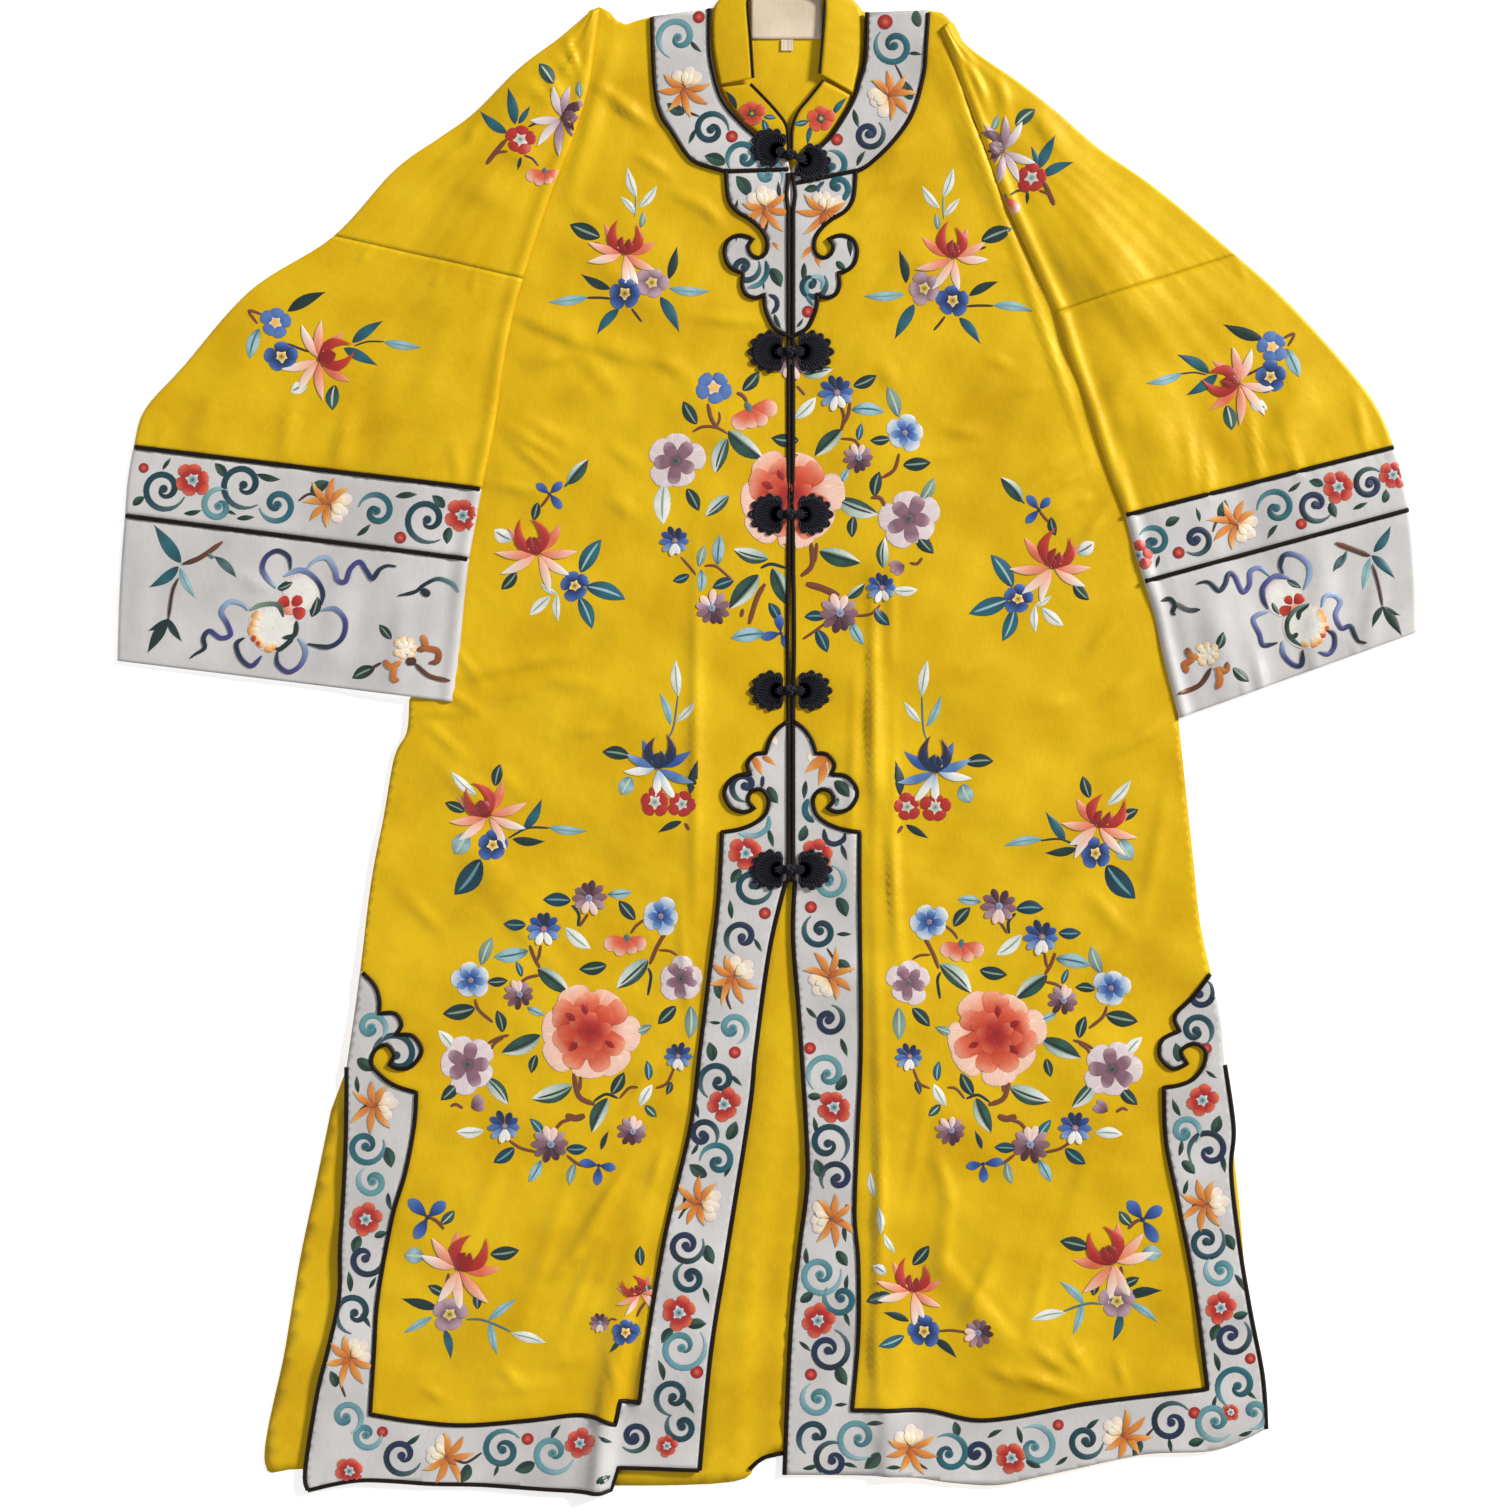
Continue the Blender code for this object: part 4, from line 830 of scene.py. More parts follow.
ROUNDEL = (
    ("peony", 790, 497, 41, 90), ("pale_plum", 714, 388, 14, 60), ("dark_leaf", 751, 381, 20, 50),
    ("pink", 749, 408, 20, -62), ("dark_leaf", 690, 413, 21, 120), ("fold_leaf", 746, 445, 36, -38),
    ("dark_leaf", 785, 439, 22, 175), ("fold_back", 721, 456, 30, 252), ("mauve_double", 676, 461, 23, 80),
    ("white_leaf", 664, 504, 33, 268), ("dark_leaf", 693, 500, 20, -62), ("fold_back", 717, 506, 25, 222),
    ("navy_daisy", 675, 541, 12, 90), ("grey_leaf", 702, 556, 18, 75), ("ice_leaf", 701, 581, 18, 268),
    ("ice_leaf", 719, 550, 24, 85), ("deep_leaf", 681, 578, 14, 200), ("deep_leaf", 723, 584, 18, 200),
    ("fold_back", 751, 554, 29, 165), ("fold_leaf", 744, 592, 36, 229), ("fold_leaf", 780, 587, 32, -68),
    ("mauve_daisy", 712, 608, 14, 290), ("ice_leaf", 748, 636, 28, 188), ("deep_leaf", 774, 612, 17, 120),
    ("blue_three", 781, 633, 15, 200), ("mauve_daisy", 791, 362, 14, 90), ("fold_back", 818, 372, 24, 12),
    ("navy_daisy", 837, 393, 14, 95), ("dark_leaf", 865, 381, 20, 25), ("white_leaf", 805, 408, 24, 45),
    ("ice_leaf", 868, 411, 26, -4), ("grey_leaf", 893, 402, 26, 110), ("blue_double", 905, 433, 15, 80),
    ("teal_leaf", 860, 432, 14, 80), ("dark_leaf", 880, 440, 16, 185), ("fold_leaf", 828, 443, 30, 225),
    ("mauve_daisy", 859, 458, 12, 275), ("ice_leaf", 845, 476, 14, 60), ("dark_leaf", 917, 464, 22, 5),
    ("dark_leaf", 877, 484, 20, 78), ("fold_back", 858, 507, 35, -20), ("dark_leaf", 853, 527, 17, 265),
    ("mauve_double", 909, 519, 24, 100), ("grey_leaf", 927, 490, 22, 60), ("dark_leaf", 925, 543, 22, -50),
    ("mauve_bud", 903, 566, 12, 200), ("fold_back", 884, 553, 24, 88), ("fold_leaf", 840, 557, 34, -16),
    ("navy_daisy", 882, 588, 12, 90), ("white_leaf", 905, 590, 20, 0), ("mauve_daisy", 840, 613, 16, 272),
    ("fold_leaf", 856, 591, 18, 40), ("deep_leaf", 815, 617, 17, 180), ("deep_leaf", 882, 617, 18, -48),
    ("ice_leaf", 857, 633, 21, -60), ("deep_leaf", 822, 641, 20, -65),
)
LOWER_ROUNDEL = (
    ("peony", 590, 1031, 39, 80), ("mauve_daisy", 589, 898, 14, 92), ("deep_leaf", 557, 900, 22, 178),
    ("ice_leaf", 620, 893, 19, 5), ("dark_leaf", 627, 910, 20, 130), ("blue_double", 661, 916, 15, 70),
    ("pink", 627, 938, 17, 268), ("navy_daisy", 544, 929, 14, 90), ("deep_leaf", 515, 924, 18, 178),
    ("white_leaf", 578, 938, 26, -40), ("grey_leaf", 487, 951, 24, 68), ("ice_leaf", 511, 954, 28, 190),
    ("blue_double", 471, 980, 15, 100), ("dark_leaf", 498, 981, 16, 5), ("teal_leaf", 519, 969, 13, 110),
    ("mauve_daisy", 520, 994, 12, 285), ("dark_leaf", 593, 967, 22, 188), ("fold_back", 632, 974, 34, 222),
    ("fold_leaf", 554, 981, 32, -38), ("mauve_double", 681, 979, 18, 90), ("dark_leaf", 667, 1015, 20, 225),
    ("dark_leaf", 459, 1011, 26, 190), ("dark_leaf", 500, 1021, 18, 105), ("ice_leaf", 536, 1011, 15, -25),
    ("fold_leaf", 521, 1044, 34, 204), ("mauve_double", 468, 1064, 23, 110),
    ("white_leaf", 447, 1041, 22, 130), ("dark_leaf", 534, 1064, 15, 255), ("grey_leaf", 641, 1029, 18, 200),
    ("grey_leaf", 690, 1022, 26, 268), ("fold_back", 497, 1091, 28, -50), ("dark_leaf", 450, 1091, 20, 225),
    ("mauve_bud", 473, 1107, 12, 30), ("fold_back", 552, 1092, 34, 198), ("teal_leaf", 648, 1070, 16, 95),
    ("navy_daisy", 678, 1056, 11, 90), ("white_leaf", 646, 1095, 20, 60), ("dark_leaf", 669, 1088, 11, 250),
    ("dark_leaf", 618, 1083, 20, 60), ("fold_leaf", 600, 1115, 30, 245), ("green_leaf", 651, 1111, 13, -45),
    ("mauve_daisy", 633, 1131, 12, 250), ("navy_daisy", 505, 1126, 13, 90),
    ("white_leaf", 470, 1131, 22, 182), ("teal_leaf", 537, 1127, 18, 128),
    ("mauve_daisy", 551, 1144, 15, 272), ("deep_leaf", 577, 1148, 17, 2), ("deep_leaf", 504, 1155, 20, 215),
    ("ice_leaf", 535, 1171, 20, 240), ("grey_leaf", 572, 1174, 18, 255), ("blue_three", 599, 1165, 15, 262),
    ("dark_blade", 605, 1140, 16, 68),
)
LOWER_SIDE = (
    ("blue_three", 428, 1217, 20, 142), ("green_leaf", 448, 1217, 15, 45), ("dark_leaf", 505, 1252, 23, 8),
    ("ice_bud", 414, 1256, 16, 175), ("red_lotus", 463, 1260, 34, 62), ("dark_leaf", 437, 1290, 16, 152),
    ("dark_leaf", 478, 1299, 15, 90), ("dark_blade", 420, 1303, 30, 165), ("ice_blade", 418, 1325, 27, 210),
    ("blade", 448, 1344, 24, 281), ("ice_blade", 503, 1309, 28, 38), ("ice_blade", 494, 1338, 27, -78),
    ("white_blade", 529, 1338, 29, -16), ("mauve_plum", 450, 1314, 14, 85),
)
INNER_SPRAY = (
    ("dark_leaf", 641, 1255, 16, 93), ("red_lotus", 637, 1289, 19, 130), ("green_leaf", 648, 1288, 14, 100),
    ("dark_blade", 615, 1345, 14, 230), ("grey_leaf", 635, 1333, 12, 10), ("blue_plum", 626, 1331, 11, 90),
    ("mauve_daisy", 600, 1322, 8, 90), ("red_lotus", 913, 1283, 27, 88), ("white_blade", 872, 1184, 20, 100),
    ("white_blade", 879, 1219, 22, 95), ("white_blade", 889, 1242, 18, 120), ("dark_leaf", 921, 1255, 20, 50),
    ("white_bud", 879, 1269, 12, 150), ("dark_leaf", 878, 1297, 20, 200), ("blue_plum", 924, 1331, 13, 90),
    ("dark_blade", 896, 1316, 22, 160), ("teal_leaf", 891, 1340, 22, 200), ("dark_blade", 945, 1348, 24, -40),
    ("mauve_daisy", 978, 1332, 12, 10),
)
# Stems. Columns: thread, width in millimetres, and points in the photograph
ROUNDEL_STEMS = (
    ("brown", 3.4, (737, 393), (743, 396), (747, 402)),
    ("brown", 2.4, (693, 432), (703, 427), (717, 428), (728, 434)),
    ("brown", 3.4, (708, 404), (711, 418), (717, 428)), ("brown", 2.2, (719, 412), (720, 418), (717, 427)),
    ("brown", 2.2, (681, 557), (688, 565), (696, 575)), ("brown", 2.4, (705, 566), (717, 567), (734, 582)),
    ("ink_teal", 2.6, (761, 568), (771, 564), (786, 568)), ("brown", 4.2, (765, 584), (757, 598), (749, 624)),
    ("brown", 3.4, (743, 609), (741, 617)), ("brown", 2.6, (797, 386), (805, 395)),
    ("brown", 3.0, (841, 407), (844, 418), (841, 431)), ("brown", 3.0, (850, 403), (848, 415), (843, 425)),
    ("brown", 2.4, (841, 439), (855, 441), (863, 454)), ("brown", 3.0, (899, 454), (894, 470), (882, 478)),
    ("brown", 3.4, (871, 498), (881, 499), (888, 516)), ("brown", 4.2, (811, 543), (812, 565), (801, 576)),
    ("brown", 3.0, (817, 543), (815, 562)), ("brown", 5.6, (806, 584), (821, 588), (839, 596)),
    ("brown", 2.6, (910, 563), (917, 564), (922, 558)), ("brown", 2.4, (824, 624), (815, 631), (803, 639)),
    ("brown", 2.4, (856, 616), (871, 614), (880, 605)),
)
LOWER_STEMS = (
    ("dark_green", 2.6, (572, 905), (579, 914), (578, 926)), ("brown", 2.6, (588, 914), (580, 926)),
    ("brown", 2.4, (645, 919), (636, 926), (631, 933)), ("brown", 3.4, (667, 930), (657, 947), (650, 964)),
    ("brown", 2.2, (659, 950), (670, 951), (677, 955)), ("brown", 3.0, (530, 945), (534, 957), (540, 968)),
    ("brown", 2.6, (541, 945), (539, 956), (536, 962)), ("brown", 2.6, (519, 985), (527, 978), (540, 975)),
    ("ink_teal", 2.4, (648, 968), (651, 976), (648, 995)),
    ("brown", 2.8, (475, 999), (479, 1010), (493, 1022)),
    ("brown", 2.6, (509, 1035), (498, 1038), (487, 1044)),
    ("brown", 2.6, (503, 1038), (494, 1044), (489, 1054)),
    ("brown", 2.6, (451, 1106), (456, 1104), (463, 1108)),
    ("brown", 4.2, (574, 1073), (579, 1096), (595, 1104)), ("brown", 3.0, (581, 1073), (580, 1090)),
    ("ink_teal", 2.4, (594, 1101), (606, 1094), (618, 1098)),
    ("brown", 2.4, (620, 1098), (629, 1088), (638, 1087)),
    ("brown", 2.4, (674, 1068), (667, 1083), (656, 1088)),
    ("brown", 5.4, (585, 1115), (576, 1118), (566, 1115)),
    ("brown", 3.0, (574, 1118), (562, 1122), (555, 1130)),
    ("brown", 2.6, (509, 1140), (521, 1148), (537, 1152)),
    ("brown", 2.6, (567, 1155), (579, 1164), (592, 1166)),
)
SPRAY_STEMS = {
    "shoulder": (("dark_brown", 2.0, (549, 122), (538, 124), (529, 128)),
                 ("brown", 4.0, (507, 141), (498, 151), (487, 165)),
                 ("brown", 2.4, (508, 153), (498, 154), (492, 160)),
                 ("dark_brown", 2.0, (525, 157), (533, 160), (539, 167))),
    "chest": (("grey_green", 1.6, (636, 196), (636, 206), (635, 217)),
              ("dark_brown", 2.0, (587, 298), (600, 298), (612, 299)),
              ("dark_brown", 2.2, (632, 309), (637, 316), (642, 322)),
              ("dark_brown", 2.0, (595, 243), (604, 246), (612, 250))),
    "sleeve": (("brown", 2.4, (263, 315), (249, 311), (258, 324)),
               ("dark_brown", 2.0, (288, 344), (298, 348), (309, 352)),
               ("dark_green", 1.4, (355, 346), (368, 342), (384, 342))),
    "side": (("brown", 2.4, (550, 495), (546, 501), (541, 507)), ("green", 2.0, (569, 482), (565, 487))),
    "blue": (("grey_teal", 1.6, (678, 696), (674, 725), (669, 738)), ("brown", 2.6, (664, 780), (666, 791)),
             ("brown", 3.0, (685, 823), (689, 830))),
    "hip": (("brown", 2.8, (498, 826), (502, 835)), ("dark_green", 1.8, (509, 838), (528, 828), (549, 828))),
    "lower": (("brown", 3.0, (430, 1217), (437, 1221), (444, 1229)),
              ("brown", 3.0, (449, 1273), (447, 1284), (446, 1295)),
              ("grey_teal", 2.0, (467, 1319), (481, 1319), (496, 1324), (511, 1331))),
    "inner": (("brown", 2.4, (645, 1302), (640, 1309), (637, 1316)),
              ("brown", 1.8, (617, 1319), (612, 1318), (607, 1322)),
              ("brown", 2.4, (915, 1300), (917, 1308), (921, 1318)),
              ("brown", 2.2, (937, 1331), (952, 1330), (968, 1332))),
}
# The sprays, each with two of its places on the wearer's right and where those lie on the left
SPRAYS = (
    ("shoulder", SHOULDER, ((569, 118), (521, 141)), ((997, 149), (1031, 179))),
    ("chest", CHEST, ((632, 181), (608, 321)), ((948, 181), (970, 330))),
    ("sleeve", SLEEVE_SPRAY, ((276, 323), (400, 342)), ((1272, 347), (1166, 376))),
    ("side", SIDE_SPRAY, ((551, 494), (575, 585)), ((1038, 510), (1018, 598))),
    ("blue", BLUE_SPRAY, ((658, 761), (680, 807)), ((936, 765), (909, 810))),
    ("hip", HIP, ((499, 774), (469, 877)), ((1085, 786), (1120, 882))),
    ("lower", LOWER_SIDE, ((468, 1248), (450, 1313)), ((1106, 1243), (1117, 1300))),
)
LOWER_ANCHORS = (((468, 1063), (589, 898)), ((1112, 1068), (999, 906)))

# Border scrolls, lotuses, plums, berries and leaves. Scroll rows: tone, its bulb's place, its tail's
# end, and how many turns lie between them (below 0 clockwise)
SCROLLS_RIGHT = (
    ("deep", 753, 885, 773, 884, 0.9), ("navy", 742, 937, 735, 953, 0.8),
    ("light", 733, 1028, 738, 1043, -0.85), ("deep", 718, 1080, 708, 1097, 0.85),
    ("navy", 703, 1134, 712, 1141, -0.9), ("teal", 718, 1160, 700, 1160, 0.85),
    ("navy", 686, 1245, 703, 1238, 1.1), ("deep", 690, 1277, 684, 1262, -0.95),
    ("light", 682, 1347, 701, 1331, 1.0), ("deep", 673, 1396, 672, 1415, 0.9),
    ("deep", 682, 1426, 671, 1414, -0.85), ("navy", 635, 1436, 623, 1446, -1.1),
    ("light", 372, 1027, 380, 1037, -0.85), ("deep", 397, 1055, 373, 1058, 0.75),
    ("teal", 366, 1146, 384, 1139, 1.0), ("light", 373, 1181, 366, 1168, -0.9),
    ("navy", 366, 1258, 383, 1247, 0.75), ("deep", 355, 1312, 352, 1333, 0.85),
    ("light", 347, 1416, 352, 1432, -0.85), ("light", 367, 1434, 380, 1431, 0.8),
    ("navy", 402, 1455, 421, 1462, 0.95), ("teal", 503, 1449, 520, 1437, -1.1),
    ("light", 553, 1452, 574, 1458, 0.9), ("light", 678, 38, 670, 58, 0.85),
    ("deep", 711, 130, 729, 131, -1.0), ("teal", 744, 158, 731, 170, 0.75),
    ("light", 769, 175, 779, 183, -0.7), ("deep", 745, 268, 757, 262, 0.8), ("navy", 745, 786, 746, 801, 0.7),
)
SCROLLS_LEFT = (
    ("light", 829, 882, 832, 865, 0.9), ("deep", 820, 931, 811, 916, -0.95),
    ("navy", 829, 1020, 832, 1005, 1.0), ("light", 827, 1073, 814, 1089, 0.85),
    ("deep", 828, 1143, 841, 1160, -0.95), ("navy", 837, 1177, 824, 1188, 0.9),
    ("light", 820, 1274, 841, 1268, 1.1), ("teal", 841, 1298, 827, 1287, -0.85),
    ("navy", 828, 1350, 835, 1329, 1.05), ("light", 818, 1399, 811, 1383, -1.0),
    ("deep", 816, 1436, 806, 1453, 0.5), ("navy", 832, 1460, 843, 1444, -0.95),
    ("light", 858, 1437, 871, 1455, 0.95), ("teal", 949, 1453, 938, 1436, 0.9),
    ("navy", 977, 1453, 966, 1458, -1.0), ("light", 1035, 1446, 1024, 1427, 0.8),
    ("deep", 1085, 1440, 1103, 1442, 1.0), ("navy", 1171, 1422, 1188, 1409, -1.0),
    ("light", 1214, 1420, 1230, 1433, 0.95), ("deep", 1196, 1030, 1207, 1043, -0.85),
    ("light", 1185, 1131, 1195, 1141, -0.85), ("navy", 1209, 1150, 1191, 1162, 0.9),
    ("deep", 1206, 1241, 1220, 1228, 1.0), ("light", 1220, 1270, 1209, 1258, -0.9),
    ("navy", 1231, 1336, 1244, 1321, 0.9), ("teal", 1237, 1385, 1229, 1406, 0.85),
    ("light", 1253, 1412, 1250, 1426, -0.6), ("teal", 894, 47, 880, 33, -1.0),
    ("navy", 869, 135, 879, 123, 1.05), ("teal", 832, 167, 829, 151, 0.55),
    ("teal", 837, 188, 822, 192, -0.8), ("deep", 812, 285, 824, 276, 0.8),
    ("navy", 1199, 994, 1206, 983, 0.6),
)
# Plum blossom and berries: place and radius in the photograph's pixels
PLUMS_RIGHT = ((746, 853, 16), (724, 1104, 15.5), (679, 1312, 16), (667, 1445, 10), (366, 1219, 15),
               (580, 1442, 13.5), (350, 1470, 13))
PLUMS_LEFT = ((817, 855, 15), (834, 1107, 15.5), (818, 1320, 15.5), (1011, 1457, 14.5), (1202, 1100, 14.5),
              (1220, 1307, 14.5), (1230, 1411, 8))
BERRIES_RIGHT = (
    (765, 913, 6), (735, 1052, 6), (697, 1371, 6.5), (528, 1438, 6), (383, 1431, 5.5), (699, 18, 6),
    (732, 137, 6),
)
BERRIES_LEFT = (
    (811, 907, 6), (810, 1048, 6), (811, 1374, 6), (1058, 1424, 5.5), (1194, 1412, 6), (1206, 1048, 5.5),
    (1250, 1358, 5.5), (885, 23, 7.5), (837, 140, 6), (808, 312, 6),
)
# Lotuses: place, heading of the pale petals, and the stem's points
LOTUSES_RIGHT = (
    (734, 976, 40, (731, 982), (727, 997), (731, 1009)),
    (700, 1203, -15, (697, 1203), (686, 1208), (679, 1218)),
    (376, 1105, 0, (375, 1105), (364, 1107), (355, 1118)),
    (351, 1357, 40, (348, 1363), (341, 1379), (346, 1396)),
    (447, 1456, 150, (452, 1457), (466, 1462), (482, 1452)), (685, 89, 75, (683, 95), (685, 110), (699, 117)),
    (765, 208, 100, (765, 214), (767, 225), (762, 238)),
)
LOTUSES_LEFT = (
    (829, 977, 225, (830, 975), (835, 963), (827, 948)),
    (831, 1218, 180, (832, 1218), (841, 1214), (847, 1204)),
    (910, 1446, 90, (911, 1448), (917, 1461), (927, 1468)),
    (1123, 1434, 150, (1127, 1435), (1141, 1439), (1153, 1428)),
    (1206, 1203, 5, (1204, 1202), (1194, 1204), (1190, 1215)),
    (889, 96, 205, (893, 94), (902, 81), (895, 65)), (825, 212, 80, (825, 218), (822, 230), (828, 242)),
)
# Parts of scrolls and stems that the piping crosses: threads, width, and the line's points
ARCS_RIGHT = (
    (("light_teal", "light_teal", "ice"), 4.2, (769, 816), (768, 827), (760, 834), (750, 836), (739, 833)),
    (("deep_teal", "teal", "light_teal"), 4.2, (766, 261), (767, 273), (760, 284), (748, 288)),
    (("navy", "navy", "ink_teal"), 3.8, (769, 295), (776, 299), (777, 307), (772, 314)),
    (("navy", "ink_teal"), 3.2, (763, 776), (762, 787)),
)
ARCS_LEFT = (
    (("teal", "teal", "deep_teal"), 5.0, (808, 799), (805, 808), (807, 816), (814, 822)),
    (("ink_teal", "navy", "navy", "ink_teal"), 4.2, (845, 833), (843, 840), (834, 844), (826, 840),
     (824, 829)),
    (("deep_teal", "grey_teal"), 3.2, (824, 182), (818, 189), (820, 199)),
    (("deep_teal", "light_teal"), 3.0, (838, 798), (836, 806)),
    (("light_teal", "ice", "light_teal", "teal"), 4.2, (821, 289), (823, 282), (818, 277), (810, 280),
     (806, 289), (809, 299), (813, 306)),
)
# What shows of the lotuses that the cloud heads' piping cuts, and single petals
PETALS_RIGHT = (
    ("orange_horn", 758, 766, 17, -63), ("orange_horn", 769, 761, 13, -31), ("cream_petal", 775, 741, 8, -80),
    ("orange_horn", 776, 247, 9, -50), ("dark_blade", 736, 205, 9, 75), ("dark_blade", 736, 239, 5, -90),
    ("dark_blade", 778, 322, 14, -65), ("dark_blade", 764, 286, 6, 90), ("border_blade", 771, 838, 15, -75),
)
PETALS_LEFT = (
    ("orange_horn", 817, 765, 24, 214), ("orange_horn", 821, 774, 20, 257),
    ("orange_horn", 830, 764, 13, 268), ("cream_petal", 810, 738, 7, -60), ("cream_petal", 809, 757, 7, -80),
    ("orange_horn", 807, 253, 13, 230), ("orange_horn", 818, 262, 11, -68), ("dark_blade", 849, 248, 15, -82),
    ("border_leaf", 841, 266, 10, -40), ("border_leaf", 842, 789, 17, -48),
    ("border_blade", 805, 790, 15, -95), ("border_blade", 804, 273, 16, -92), ("dark_blade", 800, 323, 9, 55),
    ("cream_petal", 845, 750, 5, 0),
)

# Border leaves: place, length in pixels, heading; broad ones first, then the narrow dark ones
BROAD_RIGHT = (
    (736, 876, 17, 235), (718, 990, 18, 110), (711, 1051, 19, 100), (732, 1130, 20, 65), (698, 1170, 21, 145),
    (710, 1254, 20, -70), (697, 1324, 19, 5), (667, 1335, 18, 235), (367, 1064, 21, -30),
    (389, 1157, 21, -75), (381, 1234, 13, 20), (357, 1244, 18, 250), (465, 1473, 20, 245),
    (525, 1466, 21, 200), (604, 1477, 15, 20), (676, 109, 20, 150), (715, 160, 22, 160), (743, 186, 23, 125),
    (773, 795, 19, -60), (776, 278, 21, -62), (334, 1378, 17, 110),
)
BROAD_LEFT = (
    (842, 907, 21, -65), (844, 966, 18, -40), (841, 1082, 18, 60), (815, 1096, 14, 0), (819, 1168, 20, 110),
    (842, 1258, 18, -55), (807, 1296, 17, 40), (842, 1375, 21, -65), (872, 1460, 22, 227),
    (956, 1428, 15, 100), (1033, 1463, 16, -25), (1137, 1448, 17, 240), (1196, 1441, 16, 15),
    (1177, 1052, 19, 100), (1216, 1124, 19, 70), (1188, 1167, 18, -45), (1229, 1242, 18, -60),
    (1240, 1314, 15, 15), (1215, 1332, 18, 245), (908, 91, 20, 110), (917, 19, 18, 100), (803, 833, 17, 70),
    (811, 189, 14, 190),
)
NARROW_RIGHT = (
    (731, 909, 19, 95), (758, 945, 15, -60), (715, 1022, 12, 175), (736, 1080, 16, -42), (697, 1109, 17, 100),
    (695, 1148, 14, 60), (729, 1169, 17, 60), (706, 1295, 17, -70), (661, 1369, 21, 105),
    (689, 1405, 19, -55), (358, 1084, 17, 95), (390, 1201, 18, -80), (350, 1281, 21, 95),
    (366, 1320, 17, -55), (413, 1439, 18, 35), (496, 1470, 13, 250), (556, 1431, 17, 55),
    (606, 1437, 15, -25), (373, 1282, 14, 60), (696, 47, 16, -45), (692, 137, 16, 245), (779, 190, 16, 95),
    (685, 1196, 14, 75), (772, 275, 15, 110),
)
NARROW_LEFT = (
    (844, 934, 15, 0), (812, 1013, 16, -45), (844, 1047, 19, -70), (815, 1125, 17, 100), (845, 1233, 17, -85),
    (807, 1256, 18, 95), (847, 1282, 16, 85), (847, 1318, 16, -70), (805, 1346, 15, -40), (841, 1404, 13, 5),
    (811, 1466, 17, 15), (850, 1465, 15, -15), (875, 1422, 17, 5), (893, 1466, 15, 180), (995, 1433, 17, 28),
    (1019, 1434, 18, 105), (1092, 1424, 18, 40), (1061, 1460, 15, 215), (1170, 1445, 15, -80),
    (1214, 1401, 14, 75), (1211, 1074, 13, -35), (1176, 1107, 19, 115), (1180, 1147, 17, 80),
    (1223, 1163, 19, -80), (1185, 1187, 16, 75), (1239, 1282, 19, -60), (1216, 1361, 20, 105),
    (1250, 1393, 15, -40), (1245, 1432, 15, 20), (915, 55, 13, -5), (856, 119, 19, -75), (861, 159, 17, 60),
    (844, 852, 17, -70),
)
# The bands above the cuffs, in the same columns as the borders
BAND_SCROLLS_RIGHT = (
    ("deep", 164, 489, 185, 497, 1.1), ("light", 219, 506, 229, 491, -0.8),
    ("deep", 244, 485, 258, 505, 0.95), ("teal", 278, 505, 260, 508, -1.0), ("teal", 377, 511, 359, 507, 0.9),
    ("deep", 428, 520, 441, 540, 0.95),
)
BAND_SCROLLS_LEFT = (
    ("teal", 1153, 542, 1139, 535, 0.85), ("navy", 1196, 540, 1186, 552, -0.9),
    ("teal", 1276, 508, 1257, 510, 0.9), ("navy", 1315, 505, 1330, 515, 0.8),
    ("navy", 1369, 484, 1380, 472, -1.0),
)
BAND_PLUMS_RIGHT = ((193, 480, 16), (463, 516, 16))
BAND_PLUMS_LEFT = ((1137, 556, 15), (1338, 487, 15), (1393, 475, 13))
BAND_BERRIES_RIGHT = ((144, 468, 5), (401, 538, 6))
BAND_BERRIES_LEFT = ((1178, 553, 6), (1301, 524, 5.5))
BAND_LOTUSES_RIGHT = ((330, 504, -30, (327, 501), (311, 494), (299, 501)),)
BAND_LOTUSES_LEFT = ((1236, 524, -35, (1233, 521), (1218, 520), (1212, 532)),)
BAND_BROAD_RIGHT = ((221, 470, 17, 130), (320, 487, 21, 30), (139, 501, 14, 35), (439, 502, 17, 135),
                    (449, 536, 17, -100))
BAND_BROAD_LEFT = ((1172, 522, 16, 30), (1222, 509, 19, 70), (1316, 483, 15, 165), (1333, 510, 16, -70),
                   (1385, 496, 14, 80))
BAND_NARROW_RIGHT = ((167, 464, 14, 55), (193, 512, 18, 10), (231, 513, 12, -20), (246, 518, 18, 5),
                     (269, 477, 24, -13), (407, 496, 22, 5), (364, 530, 18, 40))
BAND_NARROW_LEFT = ((1157, 562, 13, 255), (1197, 515, 14, 105), (1294, 487, 16, 38), (1272, 532, 17, 235),
                    (1360, 506, 16, 25))
